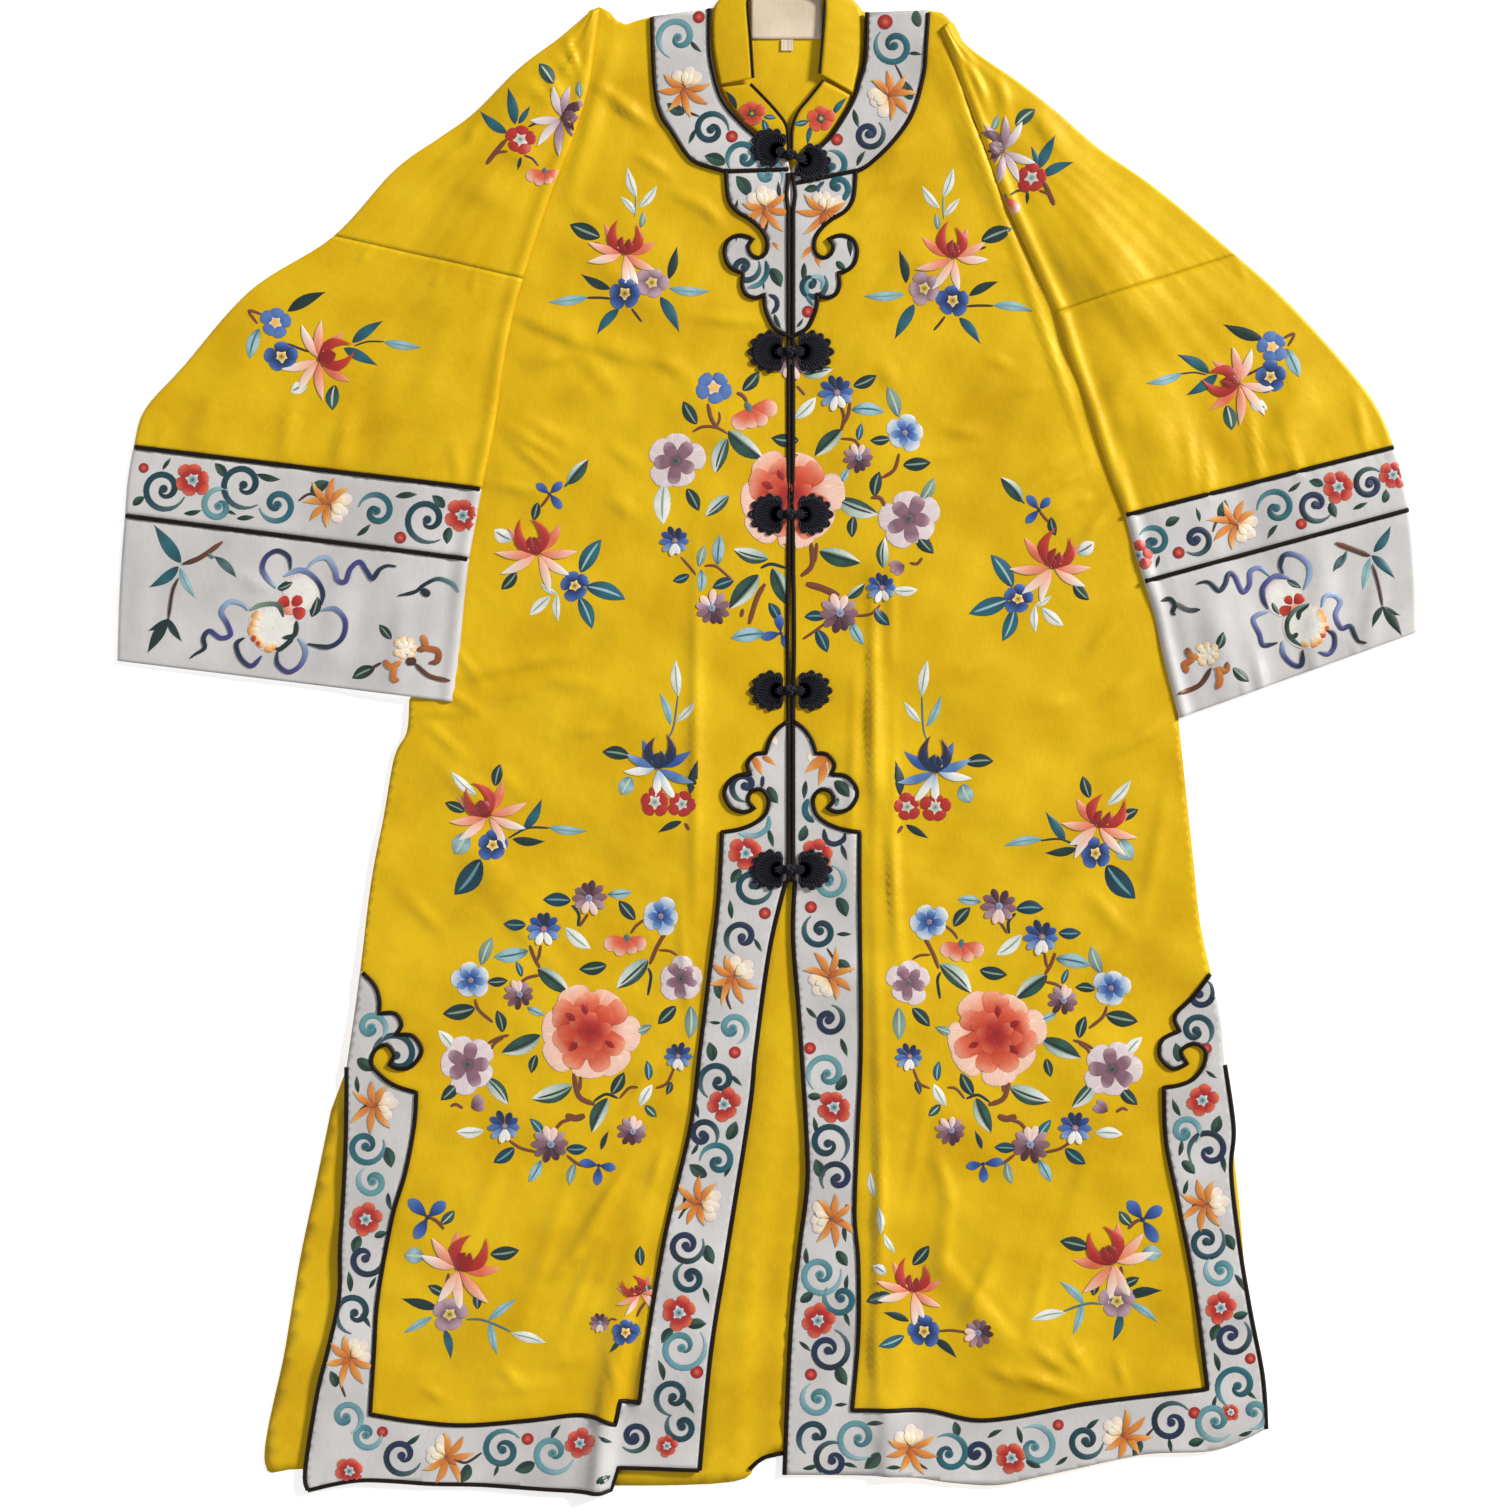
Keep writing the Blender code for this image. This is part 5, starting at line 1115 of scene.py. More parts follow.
# Ribbons and twigs on the cuffs. Columns: threads from end to end, width in millimetres, points
CUFF_STROKES_RIGHT = (
    (("dark_brown", "brown"), 3.9, (183, 564), (200, 558), (223, 542)),
    (("dark_brown",), 2.4, (179, 578), (173, 592), (169, 619)),
    (("grey_teal",), 2.1, (208, 552), (211, 556), (215, 558)),
    (("navy", "navy", "violet", "sky"), 3.8, (291, 570), (289, 557), (278, 551), (267, 557), (263, 569),
     (269, 580), (277, 588)),
    (("sky", "periwinkle", "navy", "navy"), 3.9, (285, 576), (301, 570), (315, 578), (323, 592), (322, 605)),
    (("sky", "sky", "violet", "violet", "navy", "ink_teal"), 3.9, (307, 570), (315, 561), (327, 558),
     (335, 569), (338, 580), (346, 582), (351, 569), (360, 562), (367, 571), (373, 579), (380, 570),
     (388, 566), (397, 567)),
    (("sky", "violet", "navy", "ink_teal"), 3.8, (322, 610), (336, 609), (346, 621), (343, 638), (329, 647),
     (308, 644)),
    (("ink_teal", "violet", "sky"), 3.8, (278, 651), (278, 664), (289, 672), (301, 665), (306, 651),
     (299, 638)),
    (("navy", "navy", "violet"), 3.8, (245, 638), (237, 644), (241, 658), (252, 666), (262, 656)),
    (("sky", "sky", "violet", "violet", "ink_teal", "ink_teal"), 3.8, (249, 610), (242, 604), (230, 602),
     (222, 612), (228, 624), (231, 635), (221, 638), (210, 631), (204, 638), (205, 648), (196, 654),
     (191, 658)),
    (("ink_teal", "ink_teal", "light_teal"), 3.0, (399, 596), (416, 592), (425, 585), (439, 579), (453, 584),
     (460, 592)),
    (("ink_teal",), 6.0, (423, 589), (426, 593), (431, 594)),
    (("brown", "orange"), 5.1, (418, 650), (426, 647), (423, 635)),
    (("burnt_orange", "brown"), 4.8, (423, 648), (438, 651), (438, 661), (430, 663)),
    (("orange", "burnt_orange"), 4.8, (402, 662), (391, 667), (385, 660)),
    (("orange", "burnt_orange"), 4.8, (396, 666), (394, 679), (400, 680)),
    (("dark_brown",), 6.3, (407, 662), (417, 661)),
    (("dark_brown", "brown"), 3.6, (415, 663), (430, 676), (451, 681)),
    (("grey_green", "dark_green"), 3.6, (251, 610), (262, 605), (278, 605), (284, 617)),
    (("dark_green",), 3.9, (297, 621), (295, 635), (283, 638)),
    (("dark_green", "ink_teal"), 3.9, (294, 638), (281, 649), (276, 648)),
    (("dark_brown",), 2.4, (371, 669), (382, 663)),
)
CUFF_STROKES_LEFT = (
    (("brown", "dark_brown"), 3.9, (1335, 543), (1354, 550), (1370, 556)),
    (("dark_brown",), 2.4, (1372, 564), (1378, 585), (1382, 606)),
    (("grey_teal",), 2.1, (1346, 551), (1344, 560), (1338, 568)),
    (("ink_teal", "ink_teal", "navy", "violet", "violet", "periwinkle", "sky"), 3.9, (1196, 584), (1204, 582),
     (1210, 584), (1218, 591), (1224, 585), (1228, 574), (1234, 576), (1242, 592), (1249, 585), (1250, 572),
     (1259, 568), (1270, 576)),
    (("navy", "navy", "periwinkle", "sky", "sky"), 3.9, (1283, 574), (1280, 566), (1283, 556), (1290, 554),
     (1300, 557), (1308, 565), (1309, 576), (1304, 589)),
    (("periwinkle", "violet", "navy"), 3.9, (1289, 579), (1275, 576), (1263, 587), (1263, 599), (1268, 609)),
    (("sky", "violet", "ink_teal"), 3.8, (1268, 612), (1257, 615), (1253, 621), (1259, 634), (1263, 645),
     (1277, 643)),
    (("sky", "violet", "navy", "ink_teal"), 3.8, (1282, 641), (1283, 654), (1292, 664), (1301, 665),
     (1302, 650)),
    (("navy", "navy", "violet", "violet"), 3.8, (1325, 630), (1333, 634), (1334, 646), (1328, 654),
     (1318, 652)),
    (("sky", "sky", "periwinkle", "violet", "ink_teal", "ink_teal"), 3.8, (1321, 607), (1324, 597),
     (1333, 595), (1340, 602), (1335, 615), (1341, 628), (1350, 626), (1354, 634), (1358, 641), (1366, 643)),
    (("ink_teal",), 3.6, (1161, 601), (1169, 599), (1174, 605), (1172, 613), (1175, 615)),
    (("grey", "ink_teal"), 3.6, (1175, 603), (1187, 610), (1199, 610)),
    (("brown", "orange"), 5.1, (1186, 648), (1190, 656), (1198, 657)),
    (("burnt_orange", "burnt_orange"), 5.1, (1193, 661), (1184, 664), (1187, 673)),
    (("dark_brown", "brown"), 3.9, (1210, 668), (1199, 685), (1177, 694)),
    (("brown", "orange"), 4.5, (1226, 662), (1225, 671), (1214, 668)),
    (("orange", "burnt_orange"), 5.1, (1217, 670), (1219, 680), (1216, 689)),
    (("grey_green", "dark_green", "green"), 3.6, (1308, 604), (1295, 610), (1287, 622), (1289, 636),
     (1301, 646)),
    (("dark_green",), 3.9, (1308, 604), (1299, 612), (1298, 620)),
    (("dark_green",), 3.9, (1287, 634), (1293, 637), (1297, 633)),
)
# Motifs on the cuffs and the collar, in the columns of the sprays
CUFF_RIGHT = (
    ("blade", 168, 544, 37, 125), ("blade", 164, 577, 29, 215), ("ice_blade", 188, 583, 27, -63),
    ("grey_blade", 226, 567, 24, -44), ("dark_blade", 158, 625, 18, 211), ("dark_blade", 158, 636, 32, 239),
    ("dark_blade", 175, 630, 22, -58), ("cuff_fruit", 302, 593, 15, 0), ("dark_leaf", 287, 585, 16, 25),
    ("dark_leaf", 315, 606, 18, 75), ("cuff_bloom", 291, 608, 12.5, 54), ("cuff_fruit", 273, 628, 19.5, 0),
    ("fruit_blush", 273, 628, 19.5, 212), ("cloud_bloom", 406, 648, 10, 90), ("dark_leaf", 386, 632, 15, 130),
    ("dark_leaf", 364, 673, 20, 205),
)
CUFF_LEFT = (
    ("blade", 1382, 539, 25, 57), ("blade", 1383, 567, 26, -45), ("ice_blade", 1366, 574, 26, -103),
    ("grey_blade", 1339, 563, 18, -126), ("dark_blade", 1391, 611, 16, -26),
    ("dark_blade", 1377, 617, 19, -117), ("dark_blade", 1392, 621, 28, -57), ("cuff_fruit", 1283, 598, 15, 0),
    ("dark_leaf", 1293, 584, 14, -25), ("dark_leaf", 1275, 607, 16, -62),
    ("cuff_bloom", 1293, 606, 11.5, 130), ("cuff_fruit", 1305, 626, 18.5, 0),
    ("fruit_blush", 1305, 626, 18.5, -24), ("cloud_bloom", 1206, 654, 10, 80),
    ("dark_leaf", 1219, 641, 15, 70), ("dark_leaf", 1240, 675, 17, -40),
)
COLLAR_RIGHT_MOTIFS = (
    ("dark_blade", 731, 100, 17, 122), ("teal_leaf", 770, 118, 10, -5), ("teal_leaf", 765, 128, 13, -75),
    ("collar_plum", 752, 114, 10.5, 90),
)
COLLAR_LEFT_MOTIFS = (
    ("blade", 840, 106, 17, 50), ("teal_leaf", 801, 123, 12, 190), ("blade", 809, 136, 15, -100),
    ("collar_plum", 821, 119, 11, 90),
)

# Each side's border and cuffs: rows of scrolls and what grows between them, strokes and motifs
BORDER_WORK = {
    "right": ((SCROLLS_RIGHT, LOTUSES_RIGHT, PLUMS_RIGHT, BERRIES_RIGHT, BROAD_RIGHT, NARROW_RIGHT),
              ARCS_RIGHT, PETALS_RIGHT),
    "left": ((SCROLLS_LEFT, LOTUSES_LEFT, PLUMS_LEFT, BERRIES_LEFT, BROAD_LEFT, NARROW_LEFT),
             ARCS_LEFT, PETALS_LEFT),
}
CUFF_WORK = {
    "right": ((BAND_SCROLLS_RIGHT, BAND_LOTUSES_RIGHT, BAND_PLUMS_RIGHT, BAND_BERRIES_RIGHT,
               BAND_BROAD_RIGHT, BAND_NARROW_RIGHT), CUFF_STROKES_RIGHT, CUFF_RIGHT),
    "left": ((BAND_SCROLLS_LEFT, BAND_LOTUSES_LEFT, BAND_PLUMS_LEFT, BAND_BERRIES_LEFT,
              BAND_BROAD_LEFT, BAND_NARROW_LEFT), CUFF_STROKES_LEFT, CUFF_LEFT),
}


def between(before, start, end, after, t):
    """A Catmull-Rom curve between two points of a run, at a share t of the way."""
    return 0.5 * (2 * start + (end - before) * t + (2 * before - 5 * start + 4 * end - after) * t * t
                  + (3 * start - before - 3 * end + after) * t ** 3)


def smooth(points, step):
    """Points along a Catmull-Rom curve through the given ones, about a step apart."""
    ends = np.array([points[0], *points, points[-1]], float)
    curve = []
    for before, start, end, after in zip(ends, ends[1:], ends[2:], ends[3:]):
        count = max(1, round(float(np.linalg.norm(end[:2] - start[:2])) / step))
        curve += [between(before, start, end, after, index / count) for index in range(count)]
    curve.append(ends[-1])
    return np.array(curve)


def join_runs(runs, step):
    """One line from smooth runs that meet at corners."""
    return np.vstack([*(smooth(run, step)[:-1] for run in runs), [runs[-1][-1]]])


def mirrored_runs(runs, side):
    """Runs given as distances from the opening, laid out on the wearer's right (-1) or left (+1)."""
    return [[(OPENING_X + side * distance, y) for distance, y in run] for run in runs]


def inside(points, outline):
    """Which of the points are inside a closed outline."""
    x, y = points[:, 0], points[:, 1]
    found = np.zeros(len(points), bool)
    for (x0, y0), (x1, y1) in zip(outline, np.roll(outline, -1, axis=0)):
        if y0 == y1:
            continue
        crosses = ((y0 > y) != (y1 > y)) & (x < x0 + (y - y0) * (x1 - x0) / (y1 - y0))
        found ^= crosses
    return found


def distance_to(points, line):
    """The shortest distance from each point to an open line."""
    shortest = np.full(len(points), math.inf)
    for start, end in zip(line, line[1:]):
        along = end - start
        length = float(along @ along) or 1.0
        t = np.clip((points - start) @ along / length, 0.0, 1.0)
        foot = start + t[:, None] * along
        shortest = np.minimum(shortest, np.linalg.norm(points - foot, axis=1))
    return shortest


def beside(line, distance):
    """A line moved sideways, to the left of its own way where the distance is positive."""
    along = np.gradient(line, axis=0)
    along /= np.maximum(np.linalg.norm(along, axis=1), 1e-9)[:, None]
    return line + distance * np.column_stack([-along[:, 1], along[:, 0]])


def toward(angle):
    """The way at an angle in radians."""
    return np.array((math.cos(angle), math.sin(angle)))


def fold_heights(points, folds):
    """How far each fold lifts the cloth at each point, a row for each fold."""
    heights = []
    for x0, y0, x1, y1, right_flank, left_flank, start, middle, end in folds:
        along = np.array((x1 - x0, y1 - y0), float)
        length = float(np.linalg.norm(along))
        away = points - (x0, y0)
        t = away @ along / length ** 2
        across = (away[:, 1] * along[0] - away[:, 0] * along[1]) / length
        flank = np.where(across > 0, left_flank, right_flank)
        crest = np.interp(t, (0.0, 0.5, 1.0), (start, middle, end))
        fade = np.clip(np.minimum(t, 1.0 - t) * length / FOLD_FADE + 1.0, 0.0, 1.0)
        shape = 0.5 + 0.5 * np.cos(np.pi * np.clip(across / flank, -1.0, 1.0))
        heights.append(crest * shape * fade)
    return np.array(heights)


def soft_lie(points):
    """The broad unevenness of cloth that lies on more cloth, from 0 up."""
    lie = np.zeros(len(points))
    for length, heading, phase, height in WAVES:
        way = toward(math.radians(heading))
        lie += height * (1.0 + np.sin(math.tau * (points @ way) / length + math.radians(phase)))
    return lie


def front_height(points, side):
    """The upper face of a front at each point."""
    folds, creases = (FOLDS_RIGHT, CREASES_RIGHT) if side < 0 else (FOLDS_LEFT, CREASES_LEFT)
    lift = fold_heights(points, folds).max(axis=0)
    lift += CREASE_DEPTH * fold_heights(points, creases).sum(axis=0)
    from_opening = np.abs(points[:, 0] - OPENING_X)
    return FRONT_TOP + lift + soft_lie(points) * np.clip(from_opening / CALM_REACH, CALM_LEAST, 1.0)


def fill_inputs(tree, node, inputs):
    """Fills a node's inputs, each with a value or with another node's output."""
    for name, given in inputs.items():
        if isinstance(given, bpy.types.NodeSocket):
            tree.links.new(given, node.inputs[name])
        else:
            node.inputs[name].default_value = given


def add_node(tree, kind, inputs):
    """A new node with some of its inputs filled."""
    node = tree.nodes.new(f"ShaderNode{kind}")
    fill_inputs(tree, node, inputs)
    return node


def new_material(name, inputs):
    """A new material, its nodes and its shader with some inputs filled."""
    made = bpy.data.materials.new(name)
    made.use_nodes = True
    shader = made.node_tree.nodes["Principled BSDF"]
    fill_inputs(made.node_tree, shader, inputs)
    return made, made.node_tree, shader


def cloth_place(tree):
    """Where a point lies on its own cloth, in metres."""
    place = tree.nodes.new("ShaderNodeUVMap")
    place.uv_map = "cloth"
    return place.outputs["UV"]


def two_tones(tree, share, dark, light, low=0.0, high=1.0):
    """A colour between a dark and a light one, as a share runs from low to high."""
    ramp = add_node(tree, "ValToRGB", {"Fac": share})
    for stop, place, colour in zip(ramp.color_ramp.elements, (low, high), (dark, light)):
        stop.position = place
        stop.color = (*colour, 1.0)
    return ramp.outputs["Color"]


def relief_of(tree, height, strength, millimetres, under=None):
    """A bump from a height, on top of another bump where one is given."""
    bump = add_node(tree, "Bump", {"Strength": strength, "Distance": millimetres * MM, "Height": height})
    if under is not None:
        fill_inputs(tree, bump, {"Normal": under})
    return bump.outputs["Normal"]


def fabric(name, dark, light, roughness, warp, relief, glow):
    """A woven silk: soft change of colour, fine warp threads and small uneven puckers."""
    made, tree, shader = new_material(name, {"Roughness": roughness, "Specular IOR Level": 0.5,
                                             "Specular Tint": (*glow, 1.0)})
    place = cloth_place(tree)
    mottle = add_node(tree, "TexNoise", {"Scale": 14.0, "Detail": 3.0, "Vector": place})
    stretch = add_node(tree, "Mapping", {"Scale": (warp, warp * WEFT_SHARE, 1.0), "Vector": place})
    threads = add_node(tree, "TexNoise", {"Scale": 1.0, "Detail": 2.0, "Vector": stretch.outputs["Vector"]})
    blend = tree.nodes.new("ShaderNodeMath")
    blend.operation = "MULTIPLY_ADD"
    fill_inputs(tree, blend, {0: threads.outputs["Fac"], 1: THREAD_CONTRAST, 2: mottle.outputs["Fac"]})
    puckers = add_node(tree, "TexNoise", {"Scale": 55.0, "Detail": 4.0, "Vector": place})
    soft = relief_of(tree, puckers.outputs["Fac"], 0.55, relief)
    fill_inputs(tree, shader, {
        "Base Color": two_tones(tree, blend.outputs[0], dark, light, 0.42, 0.92),
        "Normal": relief_of(tree, threads.outputs["Fac"], 0.25, THREAD_RELIEF, soft),
    })
    return made


def twisted_cord(name, colour):
    """Black silk cord whose strands wind round it, with painted shade in the grooves between them and painted
    highlight on their crests.
    """
    made, tree, shader = new_material(name, {"Roughness": 0.6, "Specular IOR Level": 0.2})
    turn = add_node(tree, "Mapping", {"Rotation": (0.0, 0.0, STRAND_SLANT), "Vector": cloth_place(tree)})
    strands = add_node(tree, "TexWave", {"Scale": 260.0, "Distortion": 0.6, "Vector": turn.outputs["Vector"]})
    # The strands' colour follows their relief: painted shade between the strands, painted highlight on their
    # crests
    dark, light = ([share * part for part in colour] for share in (0.6, 1.4))
    fill_inputs(tree, shader, {
        "Base Color": two_tones(tree, strands.outputs["Fac"], dark, light),
        "Normal": relief_of(tree, strands.outputs["Fac"], 0.7, STRAND_RELIEF),
    })
    return made


def plain_floor():
    """A matt white studio floor with the faintest unevenness."""
    made, tree, shader = new_material("studio_floor", {"Roughness": 0.9, "Emission Strength": 0.5,
                                                       "Emission Color": (1.0, 1.0, 1.0, 1.0)})
    grain = add_node(tree, "TexNoise", {"Scale": 3.0})
    tone = two_tones(tree, grain.outputs["Fac"], (0.90, 0.90, 0.90), (0.93, 0.93, 0.93))
    fill_inputs(tree, shader, {"Base Color": tone})
    return made


def embroidery_silk():
    """Floss silk in the colours of its threads, with a fine bump along them."""
    made, tree, shader = new_material("embroidery_silk", {"Roughness": 0.42, "Sheen Weight": 0.15})
    place = cloth_place(tree)
    stretch = add_node(tree, "Mapping", {"Scale": (2200.0, 90.0, 1.0), "Vector": place})
    streaks = add_node(tree, "TexNoise", {"Scale": 1.0, "Vector": stretch.outputs["Vector"]})
    shade = add_node(tree, "MapRange", {"From Min": 0.3, "From Max": 0.7, "To Min": 0.78, "To Max": 1.15,
                                        "Value": streaks.outputs["Fac"]})
    silk = tree.nodes.new("ShaderNodeAttribute")
    silk.attribute_name = "silk"
    colour = tree.nodes.new("ShaderNodeVectorMath")
    colour.operation = "SCALE"
    fill_inputs(tree, colour, {0: silk.outputs["Color"], "Scale": shade.outputs["Result"]})
    ridges = add_node(tree, "TexWave", {"Scale": 320.0, "Distortion": 0.8, "Vector": place})
    fill_inputs(tree, shader, {
        "Base Color": colour.outputs["Vector"],
        "Normal": relief_of(tree, ridges.outputs["Fac"], 0.35, STITCH_RELIEF),
    })
    return made


# Fabrics: dark and light colour, roughness, warp threads a metre, relief in millimetres, highlight's tint
MATERIALS = {
    "yellow_satin": fabric("yellow_satin", (0.53, 0.30, 0.002), (0.70, 0.45, 0.009), 0.46, 1500.0, 1.3,
                           (1.0, 0.90, 0.28)),
    "white_satin": fabric("white_satin", (0.43, 0.414, 0.404), (0.60, 0.579, 0.568), 0.45, 1500.0, 0.8,
                          (0.7, 0.7, 0.7)),
    "black_satin": fabric("black_satin", (0.005, 0.004, 0.003), (0.014, 0.010, 0.008), 0.5, 900.0, 0.2,
                          (0.28, 0.22, 0.20)),
    "black_cord": twisted_cord("black_cord", (0.010, 0.010, 0.016)),
    "label_cloth": fabric("label_cloth", (0.50, 0.40, 0.28), (0.74, 0.63, 0.48), 0.7, 1100.0, 0.2,
                          (0.6, 0.6, 0.6)),
    "embroidery_silk": embroidery_silk(),
}


def add_piece(name, mesh, look, nodes=()):
    """Puts a finished mesh in the scene as a piece of the robe."""
    made = bpy.data.objects.new(name, mesh)
    bpy.context.scene.collection.objects.link(made)
    mesh.materials.append(MATERIALS[look])
    mesh.shade_smooth()
    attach(made, "root")
    if nodes:
        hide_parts(*nodes)
    return made


def new_mesh(name, points, faces, places):
    """A mesh from points in millimetres, with where each lies on its own cloth."""
    mesh = bpy.data.meshes.new(name)
    mesh.from_pydata((np.asarray(points) * MM).tolist(), [], [tuple(int(i) for i in face) for face in faces])
    layer = mesh.uv_layers.new(name="cloth")
    corners = np.empty(len(mesh.loops), np.int32)
    mesh.loops.foreach_get("vertex_index", corners)
    layer.data.foreach_set("uv", (np.asarray(places)[corners] * MM).ravel())
    return mesh


def add_wall(made, wall):
    """Gives a sheet its thickness, down from its upper face."""
    thickness = made.modifiers.new("wall", "SOLIDIFY")
    thickness.thickness = wall * MM
    thickness.offset = -1.0
    return made


def grid_faces(rows, columns):
    """The faces of a grid of points that are numbered row by row."""
    return [(row * columns + column, row * columns + column + 1, (row + 1) * columns + column + 1,
             (row + 1) * columns + column)
            for row in range(rows - 1) for column in range(columns - 1)]


def turned_over(flat, faces):
    """Which faces run clockwise over their flat points."""
    a, b, c = flat[faces[:, 0]], flat[faces[:, 1]], flat[faces[:, 2]]
    return (b[:, 0] - a[:, 0]) * (c[:, 1] - a[:, 1]) - (b[:, 1] - a[:, 1]) * (c[:, 0] - a[:, 0]) < 0


def triangulate(outline, lines, grid):
    """Points and triangles of a flat panel with even triangles that follow the given lines."""
    low, high = outline.min(axis=0), outline.max(axis=0)
    row_height = grid * math.sqrt(0.75)
    rows = np.arange(low[1] + row_height / 2, high[1], row_height)
    columns = np.arange(low[0], high[0], grid)
    fill = np.array([(x + 0.5 * grid * (row % 2), y) for row, y in enumerate(rows) for x in columns])
    fill = fill[inside(fill, outline)]
    for line in [np.vstack([outline, outline[:1]]), *lines]:
        fill = fill[distance_to(fill, line) > LINE_CLEARANCE * grid]
    points = [outline]
    edges = [(index, (index + 1) % len(outline)) for index in range(len(outline))]
    first = len(outline)
    for line in lines:
        points.append(line)
        edges += [(first + index, first + index + 1) for index in range(len(line) - 1)]
        first += len(line)
    points = np.vstack([*points, fill])
    flat, _, faces, *_ = delaunay_2d_cdt([Vector(point) for point in points], edges, [], 0, JOIN_LIMIT)
    flat = np.array([tuple(point) for point in flat])
    faces = np.array([tuple(face) for face in faces])
    middles = flat[faces].mean(axis=1)
    kept = inside(middles, outline)
    return flat, faces[kept], middles[kept]


def cloth_sheet(name, flat, faces, height, wall, look, nodes):
    """A cloth shell whose upper face follows a height function over the flat triangles."""
    used, faces = np.unique(faces, return_inverse=True)
    faces = faces.reshape(-1, 3)
    own = flat[used]
    turned = turned_over(own, faces)
    faces[turned] = faces[turned][:, ::-1]
    mesh = new_mesh(name, np.column_stack([own, height(own)]), faces, own)
    return add_wall(add_piece(name, mesh, look, nodes), wall)


def tube_points(line, radius, sides, rise):
    """Rings of points round a line, with how far along it each ring lies."""
    line = np.asarray(line, float)
    along = np.gradient(line, axis=0)
    along /= np.maximum(np.linalg.norm(along, axis=1), 1e-9)[:, None]
    across = np.cross(along, (0.0, 0.0, 1.0))
    across /= np.maximum(np.linalg.norm(across, axis=1), 1e-9)[:, None]
    up = np.cross(across, along)
    angles = np.arange(sides) * math.tau / sides
    rings = (line[:, None, :]
             + radius * np.cos(angles)[None, :, None] * across[:, None, :]
             + rise * radius * np.sin(angles)[None, :, None] * up[:, None, :])
    steps = np.linalg.norm(np.diff(line, axis=0), axis=1)
    return rings, np.concatenate([[0.0], np.cumsum(steps)])


def tube_faces(count, sides, first, closed):
    """The faces of a tube whose rings follow each other."""
    faces = []
    for ring in range(count if closed else count - 1):
        after = (ring + 1) % count
        for side in range(sides):
            other = (side + 1) % sides
            faces.append((first + ring * sides + side, first + ring * sides + other,
                          first + after * sides + other, first + after * sides + side))
    if not closed:
        faces.append(tuple(first + side for side in reversed(range(sides))))
        faces.append(tuple(first + (count - 1) * sides + side for side in range(sides)))
    return faces


def tubes(name, lines, radius, look, nodes=(), sides=8, rise=0.8, closed=False):
    """Round piping or cord along each line, as one piece."""
    points, faces, places = [], [], []
    first = 0
    for line in lines:
        if closed:
            around = np.vstack([line[-1:], line, line[:1]])
            rings, run = tube_points(around, radius, sides, rise)
            rings, run = rings[1:-1], run[1:-1]
        else:
            rings, run = tube_points(line, radius, sides, rise)
        faces += tube_faces(len(rings), sides, first, closed)
        first += len(rings) * sides
        points.append(rings.reshape(-1, 3))
        round_way = np.tile(np.arange(sides) * math.tau * radius / sides, len(rings))
        places.append(np.column_stack([round_way, np.repeat(run, sides)]))
    mesh = new_mesh(name, np.vstack(points), faces, np.vstack(places))
    return add_piece(name, mesh, look, nodes)


def front_lines(side):
    """A front's outline, and the outlines of what lies on it."""
    right = side < 0
    stations = np.array(SLEEVE_RIGHT if right else SLEEVE_LEFT, float)
    edge_x = OPENING_X + side * HALF_OPENING
    neck = smooth(NECK_RIGHT if right else NECK_LEFT, LINE_STEP)
    opening = smooth(((edge_x, OPENING_TOP), (edge_x, OPENING_BOTTOM)), LINE_STEP)
    edge = smooth(EDGE_RIGHT if right else EDGE_LEFT, LINE_STEP)[::-1]
    hems = (HEM_RIGHT, ROLL_END_RIGHT, HEM_FOOT_RIGHT) if right else (HEM_LEFT,)
    hem = join_runs(hems, LINE_STEP)[::-1]
    slit = smooth(SLIT_RIGHT if right else SLIT_LEFT, LINE_STEP)[::-1]
    side_points = smooth(SIDE_RIGHT if right else SIDE_LEFT, SIDE_STEP)[::-1]
    hidden = beside(stations[1:-1, 2:], side * UNDER_SLEEVE)
    shoulder = np.array(SHOULDER_RIGHT if right else SHOULDER_LEFT, float)[::-1]
    outline = np.vstack([neck, opening, edge[1:], hem[1:], slit[1:], side_points[1:],
                         smooth(hidden, UNDER_SLEEVE_STEP)[::-1], shoulder])
    foot = BAND_FOOT_RIGHT if right else BAND_FOOT_LEFT
    band = smooth(BAND_RIGHT if right else BAND_LEFT, LINE_STEP)
    band = np.vstack([band, smooth((band[-1], (OPENING_X, foot)), LINE_STEP)[1:]])
    lappet = join_runs(mirrored_runs(LAPPET, side), LINE_STEP)
    cloud = join_runs(mirrored_runs(CLOUD, side), LINE_STEP)[:-1]
    inner = join_runs(INNER_RIGHT if right else INNER_LEFT, LINE_STEP)[:-1]
    head = join_runs(SLIT_HEAD_RIGHT if right else SLIT_HEAD_LEFT, LINE_STEP)
    return outline, neck, band, lappet, np.vstack([cloud, inner, head])


class Ground:
    """The upper faces of some pieces, for what is laid on them."""

    def __init__(self, *pieces):
        depsgraph = bpy.context.evaluated_depsgraph_get()
        self.trees = [BVHTree.FromObject(piece, depsgraph) for piece in pieces]

    def height(self, points):
        """The highest face at each point, or nan beside them all."""
        down = Vector((0.0, 0.0, -1.0))
        found = []
        for x, y in points:
            hits = (tree.ray_cast(Vector((x * MM, y * MM, 0.1)), down)[0] for tree in self.trees)
            found.append(max((hit.z / MM for hit in hits if hit is not None), default=np.nan))
        return np.array(found)


def laid_line(line, ground, lift):
    """A flat line raised onto the ground, with its steps softened over a few points."""
    heights = ground.height(line)
    known = ~np.isnan(heights)
    heights = np.interp(np.arange(len(line)), np.flatnonzero(known), heights[known])
    padded = np.pad(heights, SOFTEN_REACH, mode="edge")
    window = 2 * SOFTEN_REACH + 1
    heights = np.convolve(padded, np.ones(window) / window, mode="valid")
    return np.column_stack([line, heights + lift])


